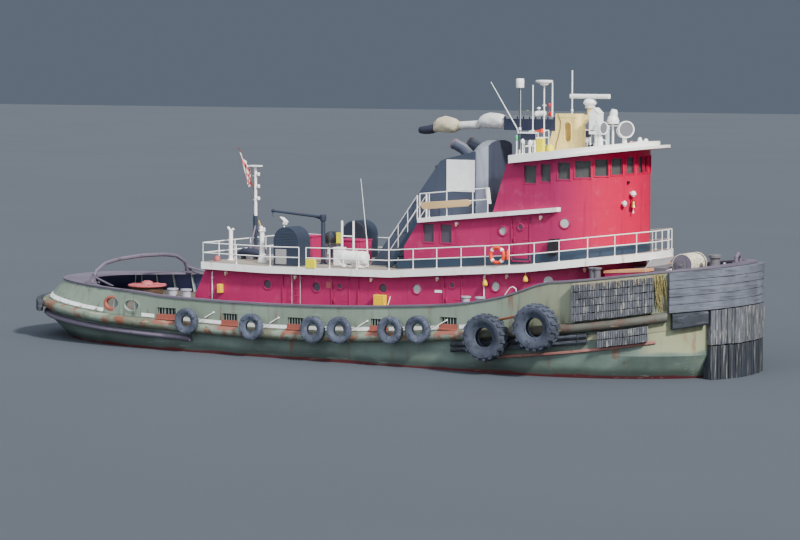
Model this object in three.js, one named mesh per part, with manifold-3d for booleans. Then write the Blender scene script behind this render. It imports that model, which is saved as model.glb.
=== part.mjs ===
// Harbour tugboat with a rounded stern, a raked stack and a laminated bow fender.
// Millimetres. +X is the bow, +Y is port, +Z is up.
// The origin is on the waterline, amidships on the centreline.
import * as THREE from 'three';
import { mergeVertices } from 'three/addons/utils/BufferGeometryUtils.js';
import Module from 'manifold-3d';

const wasm = await Module();
wasm.setup();

// Driving dimensions
const GAP = 0.4;                 // between pieces that rest on each other
const HULL_AFT = -16850;         // deck edge at the stern
const HULL_FWD = 15150;          // deck edge at the stem
const HALF_BEAM = 4700;
const KEEL_Z = -3900;
const PLATE = 120;               // bulwark, plate and stiffeners together
const DECK_PLATE = 60;
const WALL = 80;                 // deckhouse walls and doors
const HOUSE_HALF = 3100;         // main deckhouse
const UPPER_HALF = 2600;         // upper house and wheelhouse
const UPPER_FRONT = 8270;        // where their sides start to round forward
const BOAT_DECK_HALF = 3400;
const BOAT_DECK_THICK = 280;
const BRIDGE_THICK = 160;
const ROOF_THICK = 300;
const STACK_HALF = 1250;
const RUNNING = 0.4;             // gap at shafts, hinges and pins
const FAR = 40000;               // beyond every piece

// Lines seen from the side, as [x, z]
const SHEER = [[-17800, 1700], [-16400, 1680], [-11700, 1370], [-9200, 1280], [-5900, 1180],
  [-2800, 1150], [1300, 1270], [5700, 1590], [10100, 2060], [13000, 2480], [16200, 3050]];
const BULWARK_TOP = [[-17800, 2430], [-16080, 2400], [-12090, 2320], [-9770, 2270], [-8200, 2150],
  [-4000, 2080], [0, 2150], [2970, 2310], [5190, 2480], [6630, 2710], [7720, 2960],
  [9120, 3450], [10100, 3560], [11200, 3690], [12880, 3900], [13640, 3990], [16200, 4230]];
const BOAT_DECK = [[-7900, 3545], [-4250, 3490], [1600, 3570], [7440, 4010], [10470, 4380],
  [12300, 4560]];
const BRIDGE_DECK = [[1800, 5505], [2540, 5580], [8610, 6180], [11600, 6475]];
const ROOF = [[5800, 8020], [8500, 8310], [12200, 8760]];

// Helpers for solids
function toSolid(geometry) {
  const bare = geometry.index ? geometry.clone() : geometry;
  bare.deleteAttribute('normal');
  bare.deleteAttribute('uv');
  const merged = mergeVertices(bare, 1e-3);
  const mesh = new wasm.Mesh({
    numProp: 3,
    vertProperties: new Float32Array(merged.attributes.position.array),
    triVerts: new Uint32Array(merged.index.array),
  });
  return new wasm.Manifold(mesh);
}

function toGeometry(solid) {
  const mesh = solid.getMesh();
  const geometry = new THREE.BufferGeometry();
  geometry.setAttribute('position', new THREE.BufferAttribute(mesh.vertProperties, mesh.numProp));
  geometry.setIndex(new THREE.BufferAttribute(mesh.triVerts, 1));
  return geometry;
}

function join(parts) {
  return parts.reduce((sum, part) => sum.add(part));
}

function cut(solid, tools) {
  return tools.reduce((rest, tool) => rest.subtract(tool), solid);
}

function box(x0, x1, y0, y1, z0, z1) {
  const geometry = new THREE.BoxGeometry(x1 - x0, y1 - y0, z1 - z0);
  geometry.translate((x0 + x1) / 2, (y0 + y1) / 2, (z0 + z1) / 2);
  return toSolid(geometry);
}

// A closed outline in plan, [x, y] points, raised from z0 to z1
function prism(outline, z0, z1) {
  const shape = new THREE.Shape(outline.map(([x, y]) => new THREE.Vector2(x, y)));
  const geometry = new THREE.ExtrudeGeometry(shape, { depth: z1 - z0, bevelEnabled: false });
  geometry.translate(0, 0, z0);
  return toSolid(geometry);
}

// A closed outline seen from the side, [x, z] points, from y0 to y1
function sidePrism(outline, y0, y1) {
  const shape = new THREE.Shape(outline.map(([x, z]) => new THREE.Vector2(x, z)));
  const geometry = new THREE.ExtrudeGeometry(shape, { depth: y1 - y0, bevelEnabled: false });
  geometry.rotateX(Math.PI / 2);
  geometry.translate(0, y1, 0);
  return toSolid(geometry);
}

// A closed outline seen from ahead, [y, z] points, from x0 to x1
function frontPrism(outline, x0, x1) {
  const shape = new THREE.Shape(outline.map(([y, z]) => new THREE.Vector2(y, z)));
  const geometry = new THREE.ExtrudeGeometry(shape, { depth: x1 - x0, bevelEnabled: false });
  geometry.rotateX(Math.PI / 2);
  geometry.rotateZ(Math.PI / 2);
  geometry.translate(x0, 0, 0);
  return toSolid(geometry);
}

// Rings of [x, y, z] with equal point counts, joined in order; ends are closed by fans
function loft(rings, closed = false) {
  const count = rings[0].length;
  const positions = rings.flat(2);
  const faces = [];
  const last = closed ? rings.length : rings.length - 1;
  for (let i = 0; i < last; i += 1) {
    const a = i * count;
    const b = ((i + 1) % rings.length) * count;
    for (let j = 0; j < count; j += 1) {
      const k = (j + 1) % count;
      faces.push(a + j, a + k, b + k, a + j, b + k, b + j);
    }
  }
  if (!closed) {
    const end = (rings.length - 1) * count;
    for (let j = 1; j < count - 1; j += 1) {
      faces.push(0, j + 1, j, end, end + j, end + j + 1);
    }
  }
  const geometry = new THREE.BufferGeometry();
  geometry.setAttribute('position', new THREE.Float32BufferAttribute(positions, 3));
  geometry.setIndex(faces);
  const solid = toSolid(geometry);
  if (solid.volume() > 0) return solid;
  const flipped = [];
  for (let i = 0; i < faces.length; i += 3) flipped.push(faces[i], faces[i + 2], faces[i + 1]);
  geometry.setIndex(flipped);
  return toSolid(geometry);
}

// A round rod through the points, with mitred bends
function rod(points, radius, sides = 6) {
  const path = points.map((p) => new THREE.Vector3(...p));
  const first = path[1].clone().sub(path[0]).normalize();
  const hint = Math.abs(first.z) < 0.9 ? new THREE.Vector3(0, 0, 1) : new THREE.Vector3(1, 0, 0);
  let side = new THREE.Vector3().crossVectors(first, hint).normalize();
  const rings = path.map((point, i) => {
    const into = path[i].clone().sub(path[Math.max(i - 1, 0)]).normalize();
    const out = path[Math.min(i + 1, path.length - 1)].clone().sub(path[i]).normalize();
    const ahead = into.clone().add(out).normalize();
    side = side.sub(ahead.clone().multiplyScalar(side.dot(ahead))).normalize();
    const up = new THREE.Vector3().crossVectors(ahead, side);
    const bend = into.lengthSq() && out.lengthSq() ? Math.max(0.6, ahead.dot(into)) : 1;
    return Array.from({ length: sides }, (_, k) => {
      const t = (2 * Math.PI * (k + 0.5)) / sides;
      const offset = side.clone().multiplyScalar((Math.cos(t) * radius) / bend);
      offset.add(up.clone().multiplyScalar(Math.sin(t) * radius));
      return point.clone().add(offset).toArray();
    });
  });
  return loft(rings);
}

// A cylinder from one point to another, with its own end radius when it tapers
function cylinder(from, to, radius, sides = 16, endRadius = radius) {
  const a = new THREE.Vector3(...from);
  const b = new THREE.Vector3(...to);
  const geometry = new THREE.CylinderGeometry(endRadius, radius, a.distanceTo(b), sides);
  const axis = b.clone().sub(a).normalize();
  const turn = new THREE.Quaternion().setFromUnitVectors(new THREE.Vector3(0, 1, 0), axis);
  geometry.applyQuaternion(turn);
  geometry.translate(...a.add(b).multiplyScalar(0.5).toArray());
  return toSolid(geometry);
}

// A closed profile of [radius, height] turned about an axis through a point
function turned(profile, point, axis, segments) {
  const points = profile.map(([r, h]) => new THREE.Vector2(r, h));
  const geometry = new THREE.LatheGeometry(points, segments);
  const turn = new THREE.Quaternion();
  turn.setFromUnitVectors(new THREE.Vector3(0, 1, 0), new THREE.Vector3(...axis).normalize());
  geometry.applyQuaternion(turn);
  geometry.translate(...point);
  const solid = toSolid(geometry);
  if (solid.volume() > 0) return solid;
  return toSolid(flip(geometry));
}

function flip(geometry) {
  const index = geometry.index.array;
  for (let i = 0; i < index.length; i += 3) {
    const second = index[i + 1];
    index[i + 1] = index[i + 2];
    index[i + 2] = second;
  }
  return geometry;
}

function mirrorY(solid) {
  return solid.mirror([0, 1, 0]);
}

// Smooth side lines
function smoothLine(knots, steps) {
  const curve = new THREE.SplineCurve(knots.map(([x, z]) => new THREE.Vector2(x, z)));
  return curve.getPoints(steps).map((p) => [p.x, p.y]);
}

function heightOn(line) {
  return (x) => {
    const next = line.findIndex(([px]) => px >= x);
    if (next <= 0) return line[next === 0 ? 0 : line.length - 1][1];
    const [x0, z0] = line[next - 1];
    const [x1, z1] = line[next];
    return z0 + ((z1 - z0) * (x - x0)) / (x1 - x0);
  };
}

function above(line, lift) {
  const edge = line.map(([x, z]) => [x, z + lift]);
  const [first, last] = [edge[0], edge[edge.length - 1]];
  const outline = [[first[0], FAR], ...edge, [last[0], FAR]];
  return sidePrism(outline, -FAR, FAR);
}

function below(line, lift) {
  const edge = line.map(([x, z]) => [x, z + lift]);
  const [first, last] = [edge[0], edge[edge.length - 1]];
  return sidePrism([[first[0], -FAR], ...edge, [last[0], -FAR]], -FAR, FAR);
}

const sheerLine = smoothLine(SHEER, 22);
const capLine = smoothLine(BULWARK_TOP, 34);
const sheerAt = heightOn(sheerLine);
const capAt = heightOn(capLine);
const boatDeckAt = heightOn(BOAT_DECK);
const bridgeAt = heightOn(BRIDGE_DECK);
const roofAt = heightOn(ROOF);
const deckAt = (x) => sheerAt(x) + DECK_PLATE;

// Plan of the hull at one level: rounded ends on straight sides, from the stern's centre
// along the starboard side to the stem's centre
const ARC_STEPS = 12;
const SIDE_STEPS = 6;
const DECK_PLAN = {
  aft: HULL_AFT, fwd: HULL_FWD, half: HALF_BEAM,
  aftLength: 8500, aftPower: 2.4, fwdLength: 6750, fwdPower: 2.2,
};

function planCurve(plan) {
  const points = [];
  const aftEnd = plan.aft + plan.aftLength;
  const fwdEnd = plan.fwd - plan.fwdLength;
  for (let i = 0; i <= ARC_STEPS; i += 1) {
    const t = (Math.PI / 2) * (i / ARC_STEPS);
    const along = plan.aftLength * Math.cos(t) ** (2 / plan.aftPower);
    points.push([aftEnd - along, -plan.half * Math.sin(t) ** (2 / plan.aftPower)]);
  }
  for (let i = 1; i < SIDE_STEPS; i += 1) {
    points.push([aftEnd + ((fwdEnd - aftEnd) * i) / SIDE_STEPS, -plan.half]);
  }
  for (let i = ARC_STEPS; i >= 0; i -= 1) {
    const t = (Math.PI / 2) * (i / ARC_STEPS);
    const along = plan.fwdLength * Math.cos(t) ** (2 / plan.fwdPower);
    points.push([fwdEnd + along, -plan.half * Math.sin(t) ** (2 / plan.fwdPower)]);
  }
  points[0][1] = 0;
  points[points.length - 1][1] = 0;
  return points;
}

// Points of the deck edge with their outward directions
const edge = planCurve(DECK_PLAN);
const edgeFrames = edge.map(([x, y], i) => {
  const before = i === 0 ? [edge[1][0], -edge[1][1]] : edge[i - 1];
  const n = edge.length - 1;
  const after = i === n ? [edge[n - 1][0], -edge[n - 1][1]] : edge[i + 1];
  const tangent = new THREE.Vector2(after[0] - before[0], after[1] - before[1]).normalize();
  return { x, y, nx: tangent.y, ny: -tangent.x };
});

// The point of the deck edge at one x, on the starboard side
function frameAt(x) {
  const next = edgeFrames.findIndex((frame) => frame.x >= x);
  if (next < 1) return edgeFrames[next < 0 ? edgeFrames.length - 1 : 0];
  const [a, b] = [edgeFrames[next - 1], edgeFrames[next]];
  const t = (x - a.x) / (b.x - a.x);
  const mix = (key) => a[key] + (b[key] - a[key]) * t;
  const length = Math.hypot(mix('nx'), mix('ny'));
  return { x, y: mix('y'), nx: mix('nx') / length, ny: mix('ny') / length };
}

// Starboard frames from x0 to x1, ends included
function framesBetween(x0, x1) {
  const start = x0 <= HULL_AFT ? edgeFrames[0] : frameAt(x0);
  const end = x1 >= HULL_FWD ? edgeFrames[edgeFrames.length - 1] : frameAt(x1);
  const inside = edgeFrames.filter((frame) => frame.x > start.x + 5 && frame.x < end.x - 5);
  return [start, ...inside, end];
}

const mirrored = (frame) => ({ x: frame.x, y: -frame.y, nx: frame.nx, ny: -frame.ny });

// A band that follows the deck edge: section(frame) gives [outward, z] points
function band(frames, section, closed = false) {
  return loft(frames.map((frame) => section(frame).map(([out, z]) => [
    frame.x + frame.nx * out, frame.y + frame.ny * out, z])), closed);
}

function aroundStern(x1) {
  const starboard = framesBetween(HULL_AFT, x1);
  return [...starboard.slice(1).reverse(), starboard[0], ...starboard.slice(1).map(mirrored)];
}

function aroundBow(x0) {
  const starboard = framesBetween(x0, HULL_FWD);
  const head = starboard.slice(0, -1);
  return [...starboard, ...head.map(mirrored).reverse()];
}

function insetPlan(inset) {
  const starboard = edgeFrames.map((f) => [f.x - f.nx * inset, f.y - f.ny * inset]);
  const port = starboard.slice(1, -1).map(([x, y]) => [x, -y]).reverse();
  return [...starboard, ...port];
}

// Hull: one table row is one level
const LEVELS = [
  // z, aft, fwd, half, aftLength, aftPower, fwdLength, fwdPower
  [KEEL_Z, -9000, 11500, 300, 3000, 2, 3000, 2],
  [-3500, -10500, 12500, 2300, 7500, 1.8, 9000, 1.7],
  [-2400, -12300, 13600, 3900, 8500, 2, 9500, 1.8],
  [-1100, -14500, 14300, 4500, 9000, 2.1, 8500, 1.9],
  [0, -15900, 14780, 4620, 9000, 2.2, 7800, 2],
  [900, HULL_AFT, HULL_FWD, HALF_BEAM, 8500, 2.4, 6750, 2.2],
  [3200, HULL_AFT, HULL_FWD, HALF_BEAM, 8500, 2.4, 6750, 2.2],
];

function hullBody() {
  const rings = LEVELS.map(([z, aft, fwd, half, aftLength, aftPower, fwdLength, fwdPower]) => {
    const starboard = planCurve({ aft, fwd, half, aftLength, aftPower, fwdLength, fwdPower });
    const port = starboard.slice(1, -1).map(([x, y]) => [x, -y]).reverse();
    return [...starboard, ...port].map(([x, y]) => [x, y, z]);
  });
  return loft(rings).intersect(below(sheerLine, 0));
}

// A hair larger, so that what is cut by it keeps the gap
function hullWithGap() {
  return hullBody().scale([1 + GAP / HULL_FWD, 1 + GAP / HALF_BEAM, 1]);
}

const SHAFT_Y = 1900;
const SHAFT_Z = -2850;
const PROPELLER_X = -12600;
const RUDDER_X = -14100;
const STOCK_TOP = -1080;

function skeg() {
  return sidePrism([[-13800, KEEL_Z], [-6000, KEEL_Z], [-6000, -2500], [-13200, -1700]], -90, 90);
}

function shaftLine(side) {
  const y = side * SHAFT_Y;
  const tube = cylinder([PROPELLER_X + 240 + RUNNING, y, SHAFT_Z], [-7600, y, SHAFT_Z], 170, 12);
  const strut = sidePrism([[-12200, SHAFT_Z], [-11800, SHAFT_Z], [-11500, -1300],
    [-12100, -1300]], y - 50, y + 50);
  return tube.add(strut);
}

function rudderTrunk(side) {
  const y = side * SHAFT_Y;
  return cylinder([RUDDER_X, y, STOCK_TOP + RUNNING], [RUDDER_X, y, -300], 190, 14);
}

function hull() {
  return join([hullBody(), skeg(), ...[-1, 1].flatMap((side) => [shaftLine(side), rudderTrunk(side)])]);
}

// Propeller of four blades on a boss
function propeller(side) {
  const y = side * SHAFT_Y;
  const boss = cylinder([PROPELLER_X + 240, y, SHAFT_Z], [PROPELLER_X - 330, y, SHAFT_Z], 190,
    16, 120);
  const blades = [0, 1, 2, 3].map((i) => {
    const shape = [[-130, 100], [-270, 420], [-230, 700], [0, 840], [230, 700], [270, 420],
      [130, 100]];
    const blade = frontPrism(shape, -35, 35);
    return blade.rotate([0, 0, 28 * side]).rotate([i * 90, 0, 0]).translate([PROPELLER_X, y, SHAFT_Z]);
  });
  return join([boss, ...blades]);
}

function rudder(side) {
  const y = side * SHAFT_Y;
  const blade = prism([[RUDDER_X - 1150, y], [RUDDER_X - 200, y - 130], [RUDDER_X + 350, y - 110],
    [RUDDER_X + 480, y], [RUDDER_X + 350, y + 110], [RUDDER_X - 200, y + 130]], -3700, -1550);
  const stock = cylinder([RUDDER_X, y, -1560], [RUDDER_X, y, STOCK_TOP], 110, 14);
  return blade.add(stock);
}

// Main deck with what is welded to it
const BITT_LIP = 45;

function bitts(x, y, r, height, spread) {
  const z = deckAt(x) - 30;
  const posts = [-1, 1].flatMap((side) => {
    const px = x + side * spread;
    const post = cylinder([px, y, z], [px, y, z + height], r, 12);
    const flange = cylinder([px, y, z + height - 60], [px, y, z + height], r + BITT_LIP, 12);
    return [post, flange];
  });
  const plate = box(x - spread - r - 90, x + spread + r + 90, y - r - 90, y + r + 90, z, z + 80);
  return join([...posts, plate]);
}

const BITTS = [
  // x, y, radius, height, spread
  [-8250, 3700, 190, 1150, 340],
  [5620, 3780, 150, 1150, 310],
  [10370, 2900, 130, 1880, 90],
];
const REEL_X = -12700;
const WINCH_X = 12850;
const WINCH_Z = 4050;
const WINCH_SHAFT = 60;
const WINCH_SIDES = 32;
const WINCH_BORE = (WINCH_SHAFT + RUNNING) / Math.cos(Math.PI / WINCH_SIDES);
const HATCH = { x0: 10950, x1: 12300, half: 900, top: 3930 };

function mainDeck() {
  const plate = prism(insetPlan(PLATE + 140), 500, 3400);
  const deck = plate.intersect(above(sheerLine, GAP)).intersect(below(sheerLine, DECK_PLATE));
  const fittings = BITTS.flatMap(([x, y, r, h, spread]) => [
    bitts(x, y, r, h, spread), bitts(x, -y, r, h, spread)]);
  const reelFoot = cylinder([REEL_X, 0, deckAt(REEL_X) - 30], [REEL_X, 0, deckAt(REEL_X) + 90],
    560, 20);
  const hatchBase = deckAt(HATCH.x0) - 30;
  const hatch = box(HATCH.x0, HATCH.x1, -HATCH.half, HATCH.half, hatchBase + 40, HATCH.top);
  const bollard = cylinder([13900, 0, deckAt(13900) - 40], [13900, 0, 4420], 190, 16);
  const bollardTop = cylinder([13900, 0, 4330], [13900, 0, 4430], 250, 16);
  const cheeks = [-1, 1].map((side) => {
    const y = side * 720;
    const foot = deckAt(WINCH_X) - 30;
    return sidePrism([[WINCH_X - 330, foot], [WINCH_X + 330, foot], [WINCH_X + 150, WINCH_Z + 200],
      [WINCH_X - 150, WINCH_Z + 200]], y - 40, y + 40);
  });
  const bar = cylinder([WINCH_X - 250, -720, 3050], [WINCH_X - 250, 720, 3050], 60, 8);
  const bore = cylinder([WINCH_X, -900, WINCH_Z], [WINCH_X, 900, WINCH_Z], WINCH_BORE,
    WINCH_SIDES);
  const all = join([deck, ...fittings, reelFoot, hatch, bollard, bollardTop, ...cheeks, bar]);
  return all.intersect(above(sheerLine, GAP)).subtract(bore);
}

// Bulwark: leans in at the stern, with freeing ports and two chocks a side
const OVER = 150;                // the wall is lofted this much too long, then trimmed
const LEAN_FROM = -9000;
const LEAN_TO = -15200;
const STERN_LEAN = 640;

function smoothStep(from, to, x) {
  const t = Math.min(1, Math.max(0, (x - from) / (to - from)));
  return t * t * (3 - 2 * t);
}

const leanAt = (x) => STERN_LEAN * smoothStep(LEAN_FROM, LEAN_TO, x);
// Freeing ports: [middle x, length]
const FREEING_PORTS = [[-8150, 960], [-5030, 760], [-1870, 760], [1970, 760], [5100, 760]];
const CHOCKS = [-11110, -9980];
const QUARTER_JOIN = -9450;      // the bulwark's stern length meets its side length here

function bulwarkHalf() {
  const frames = framesBetween(HULL_AFT, HULL_FWD);
  const wall = band(frames, ({ x }) => {
    const slope = leanAt(x) / (capAt(x) - sheerAt(x));
    const low = slope * OVER;
    const high = leanAt(x) + slope * OVER;
    const foot = sheerAt(x) - OVER;
    const top = capAt(x) + OVER;
    return [[low, foot], [-high, top], [-high - PLATE, top], [low - PLATE, foot]];
  });
  const trimmed = wall.intersect(above(sheerLine, GAP)).intersect(below(capLine, 0));
  const half = trimmed.intersect(box(-FAR, FAR, -FAR, -GAP / 2, -FAR, FAR));
  const ports = FREEING_PORTS.map(([x, length]) => {
    const z = sheerAt(x);
    return box(x - length / 2, x + length / 2, -5200, -3800, z + 70, z + 500);
  });
  const chocks = CHOCKS.map((x) => {
    const z = sheerAt(x) + 420;
    const hole = cylinder([0, -5400, 0], [0, -3000, 0], 230, 16);
    return hole.scale([1.7, 1, 1]).translate([x, 0, z]);
  });
  return cut(half, [...ports, ...chocks]);
}

function bulwarkLength(x0, x1) {
  return bulwarkHalf().intersect(box(x0, x1, -FAR, FAR, -FAR, FAR));
}

const CAP_THICK = 70;
const capWidthAt = (x) => 230 + 950 * smoothStep(-11900, -15600, x)
  + 520 * smoothStep(14100, 15050, x);

function capRail() {
  const section = ({ x }) => {
    const z = capAt(x);
    const out = 45 - leanAt(x);
    const inner = out - capWidthAt(x);
    return [[out, z - OVER], [out, z + OVER], [inner, z + OVER], [inner, z - OVER]];
  };
  const starboard = framesBetween(HULL_AFT, HULL_FWD);
  const ring = [...starboard, ...starboard.slice(1, -1).map(mirrored).reverse()];
  return band(ring, section, true).intersect(above(capLine, GAP))
    .intersect(below(capLine, CAP_THICK));
}

// Guard round the deck edge, with the tyres that hang against it
const GUARD_OUT = 330;
const GUARD_HALF = 190;
const guardMidAt = (x) => sheerAt(x) - 210;
const TYRE_RADIUS = 525;
const TRUCK_TYRES = [-6840, -3700, -790, 440, 2760, 4000];

function guardSection({ x }) {
  const z = guardMidAt(x);
  return [[GAP, z + GUARD_HALF], [GUARD_OUT - 110, z + GUARD_HALF], [GUARD_OUT, z + 80],
    [GUARD_OUT, z - 80], [GUARD_OUT - 110, z - GUARD_HALF], [GAP, z - GUARD_HALF]];
}

const BEAD_SHARE = 0.43;
const TYRE_WIDTH = 290;

function tyre(x, y, z, radius, width, segments) {
  const bead = radius * BEAD_SHARE;
  const half = width / 2;
  const profile = [[bead, -half * 0.55], [radius * 0.8, -half], [radius, -half * 0.55],
    [radius, half * 0.55], [radius * 0.8, half], [bead, half * 0.55], [bead, -half * 0.55]];
  return turned(profile, [x, y, z], [0, 1, 0], segments);
}

function guardRail() {
  const rail = band(aroundStern(13500), guardSection);
  const tyres = TRUCK_TYRES.flatMap((x) => {
    const frame = frameAt(x);
    const y = Math.abs(frame.y) + GUARD_OUT + 100;
    const z = sheerAt(x) + 90;
    return [tyre(x, -y, z, TYRE_RADIUS, TYRE_WIDTH, 12), tyre(x, y, z, TYRE_RADIUS, TYRE_WIDTH, 12)];
  });
  return join([rail, ...tyres]);
}

const PIPE_OUT = 230;

function lowerGuard() {
  return band(aroundStern(-6900), ({ x }) => {
    const z = sheerAt(x) - 640;
    const inside = -260;
    return [[inside, z + 115], [PIPE_OUT - 110, z + 115], [PIPE_OUT, z + 45], [PIPE_OUT, z - 45],
      [PIPE_OUT - 110, z - 115], [inside, z - 115]];
  }).subtract(hullWithGap());
}

// Two large tyres a side hang together on a bar
const LARGE_TYRES = [[7090, 1430], [9220, 1910]];
const LARGE_RADIUS = 900;
const LARGE_WIDTH = 620;
const LARGE_STANDOFF = 23;       // the forward one touches where the guard curves in
const LUGS = { count: 18, depth: 55, length: 150, width: 500 };

function luggedTyre(x, y, z) {
  const carcass = tyre(x, y, z, LARGE_RADIUS - LUGS.depth, LARGE_WIDTH, LUGS.count);
  const lug = box(-LUGS.length / 2, LUGS.length / 2, -LUGS.width / 2, LUGS.width / 2,
    LARGE_RADIUS - LUGS.depth - 60, LARGE_RADIUS);
  const lugs = Array.from({ length: LUGS.count }, (_, i) => lug
    .rotate([0, ((i + 0.5) * 360) / LUGS.count, 0]).translate([x, y, z]));
  return join([carcass, ...lugs]);
}

function largeTyres() {
  const mounted = LARGE_TYRES.map(([x, z]) => {
    const y = -(Math.abs(frameAt(x).y) + GUARD_OUT + LARGE_WIDTH / 2 + LARGE_STANDOFF);
    return luggedTyre(x, y, z);
  });
  const [a, b] = LARGE_TYRES.map(([x, z]) => [x, -(Math.abs(frameAt(x).y) + GUARD_OUT + 180), z + 560]);
  return join([...mounted, rod([a, b], 45)]);
}

// Fenders
const FENDER_THICK = 340;

function fenderBand(frames, inner, outer, bottomAt, topAt) {
  return band(frames, ({ x }) => [[inner, bottomAt(x)], [inner, topAt(x)], [outer, topAt(x)],
    [outer, bottomAt(x)]]);
}

function bowFenderUpper() {
  return fenderBand(aroundBow(13550), GAP, FENDER_THICK, (x) => capAt(x) - 1480,
    (x) => capAt(x) - 10);
}

function bowFenderMiddle() {
  return fenderBand(aroundBow(14580), GAP, FENDER_THICK, () => 1290, (x) => capAt(x) - 1500);
}

function bowFenderLower() {
  const block = fenderBand(aroundBow(14600), -500, FENDER_THICK - 40, () => -150, () => 1270);
  return block.subtract(hullWithGap());
}

function sidePad() {
  return fenderBand(framesBetween(10370, 13120), GAP, FENDER_THICK, (x) => sheerAt(x) + 40,
    (x) => capAt(x) - 60);
}

function sideBlocks() {
  const inner = GAP + 0.05;
  const low = fenderBand(framesBetween(11300, 12960), inner, 330, (x) => sheerAt(x) - 1010,
    (x) => sheerAt(x) - 430);
  const strip = fenderBand(framesBetween(5300, 10900), inner, 260, (x) => sheerAt(x) - 830,
    (x) => sheerAt(x) - 450);
  const block = fenderBand(framesBetween(13640, 14520), inner, FENDER_THICK,
    (x) => sheerAt(x) - 700, (x) => capAt(x) - 1510);
  const backing = fenderBand(framesBetween(5300, 14520), inner, 25, (x) => sheerAt(x) - 720,
    (x) => sheerAt(x) - 520);
  return join([low, strip, block, backing]);
}

function sternFender() {
  const frames = aroundStern(-15600);
  return fenderBand(frames, GUARD_OUT + GAP, GUARD_OUT + 240, (x) => guardMidAt(x) - 330,
    (x) => guardMidAt(x) + 150);
}

// Houses
function roundedPlan(half, xAft, xArc, frontLength = half, power = 2, steps = 12) {
  const starboard = [];
  for (let i = 0; i <= steps; i += 1) {
    const t = (Math.PI / 2) * (i / steps);
    starboard.push([xArc + frontLength * Math.sin(t) ** (2 / power),
      -half * Math.cos(t) ** (2 / power)]);
  }
  starboard[steps][1] = 0;
  const port = starboard.slice(0, -1).map(([x, y]) => [x, -y]).reverse();
  return [[xAft, -half], ...starboard, ...port, [xAft, half]];
}

// Walls between two lines, with a raked aft end given by its foot and its head
function walls({ half, xArc, frontLength, power, foot, head, floor, floorLift, ceiling, ceilingDrop }) {
  const rake = ([x, z], shift) => [x + shift, z];
  const extend = (a, b, t) => [a[0] + (b[0] - a[0]) * t, a[1] + (b[1] - a[1]) * t];
  const low = extend(foot, head, -1);
  const high = extend(foot, head, 2);
  const behind = (shift) => sidePrism([[-FAR, low[1]], rake(low, shift), rake(high, shift),
    [-FAR, high[1]]], -FAR, FAR);
  const outer = prism(roundedPlan(half, foot[0] - 3000, xArc, frontLength, power), 0, 9000);
  const innerLength = frontLength - WALL;
  const inner = prism(roundedPlan(half - WALL, foot[0] - 3000, xArc, innerLength, power), -100, 9100);
  const shell = outer.subtract(behind(0)).subtract(inner.subtract(behind(WALL + 40)));
  return shell.intersect(above(floor, floorLift)).intersect(below(ceiling, -ceilingDrop));
}

const HOUSE = { foot: [-8350, 1300], head: [-7350, 3260], xArc: 7400, frontLength: 3300 };
const UPPER = { foot: [1260, 3650], head: [2430, 5390], xArc: UPPER_FRONT, frontLength: 2600 };
const WHEEL = { foot: [5800, 5930], head: [6420, 7840], xArc: UPPER_FRONT, frontLength: 2600 };

// Doors: leaf in the wall, hinged at its forward edge
const DOOR_GAP = 5;
const DOORS = [
  // name, half width of wall, x aft, x forward, sill z, head z
  ['deckhouse_door_aft', HOUSE_HALF, -1190, -450, 1430, 3080],
  ['deckhouse_door_forward', HOUSE_HALF, 3960, 4690, 1700, 3370],
  ['upper_house_door', UPPER_HALF, 6670, 7380, 4130, 5680],
];

function doorHole([, half, x0, x1, z0, z1]) {
  return box(x0 - DOOR_GAP, x1 + RUNNING, -half - 200, -half + 300, z0 - DOOR_GAP, z1 + DOOR_GAP);
}

function doorLeaf([, half, x0, x1, z0, z1]) {
  const leaf = box(x0, x1, -half, -half + WALL - 20, z0, z1);
  const handle = box(x0 + 70, x0 + 110, -half - 60, -half + 10, (z0 + z1) / 2 - 90, (z0 + z1) / 2 + 90);
  return leaf.add(handle);
}

const PORTHOLES = [
  // half width of wall, x, z, radius
  [HOUSE_HALF, -4310, 2740, 190], [HOUSE_HALF, -1950, 2740, 190], [HOUSE_HALF, 1170, 2830, 190],
  [HOUSE_HALF, 2710, 2880, 190], [HOUSE_HALF, 6220, 3130, 190],
  [UPPER_HALF, 6240, 5220, 170],
];

function portholeHoles(half) {
  return PORTHOLES.filter((row) => row[0] === half).flatMap(([, x, z, r]) => {
    const hole = cylinder([x, -half - 200, z], [x, -half + 200, z], r, 12);
    return [hole, mirrorY(hole)];
  });
}

function deckhouse() {
  const shell = walls({ half: HOUSE_HALF, power: 2, ...HOUSE, floor: sheerLine,
    floorLift: DECK_PLATE + GAP, ceiling: BOAT_DECK, ceilingDrop: BOAT_DECK_THICK + GAP });
  const holes = DOORS.slice(0, 2).flatMap((row) => [doorHole(row), mirrorY(doorHole(row))]);
  return cut(shell, [...holes, ...portholeHoles(HOUSE_HALF)]);
}

const UPPER_WINDOWS = [[2700, 3160], [3480, 3960]];

function upperHouse() {
  const shell = walls({ half: UPPER_HALF, power: 2, ...UPPER, floor: BOAT_DECK, floorLift: GAP,
    ceiling: BRIDGE_DECK, ceilingDrop: BRIDGE_THICK + GAP });
  const row = DOORS[2];
  const windows = UPPER_WINDOWS.flatMap(([x0, x1]) => {
    const hole = box(x0, x1, -UPPER_HALF - 200, -UPPER_HALF + 200, 4670, 5370);
    return [hole, mirrorY(hole)];
  });
  return cut(shell, [doorHole(row), mirrorY(doorHole(row)), ...windows,
    ...portholeHoles(UPPER_HALF), stackBlock(5)]);
}

const SIDE_WINDOWS = [[7160, 7680], [7880, 8300]];
const FRONT_WINDOWS = [
  // middle angle from starboard in degrees, width
  [12.6, 480], [28.4, 600], [44, 520], [58, 480], [71.8, 400], [86.2, 420],
];
const sillAt = (x) => 7110 + (x - 7700) * 0.105;
const lintelAt = (x) => 7790 + (x - 7200) * 0.09;

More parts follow.
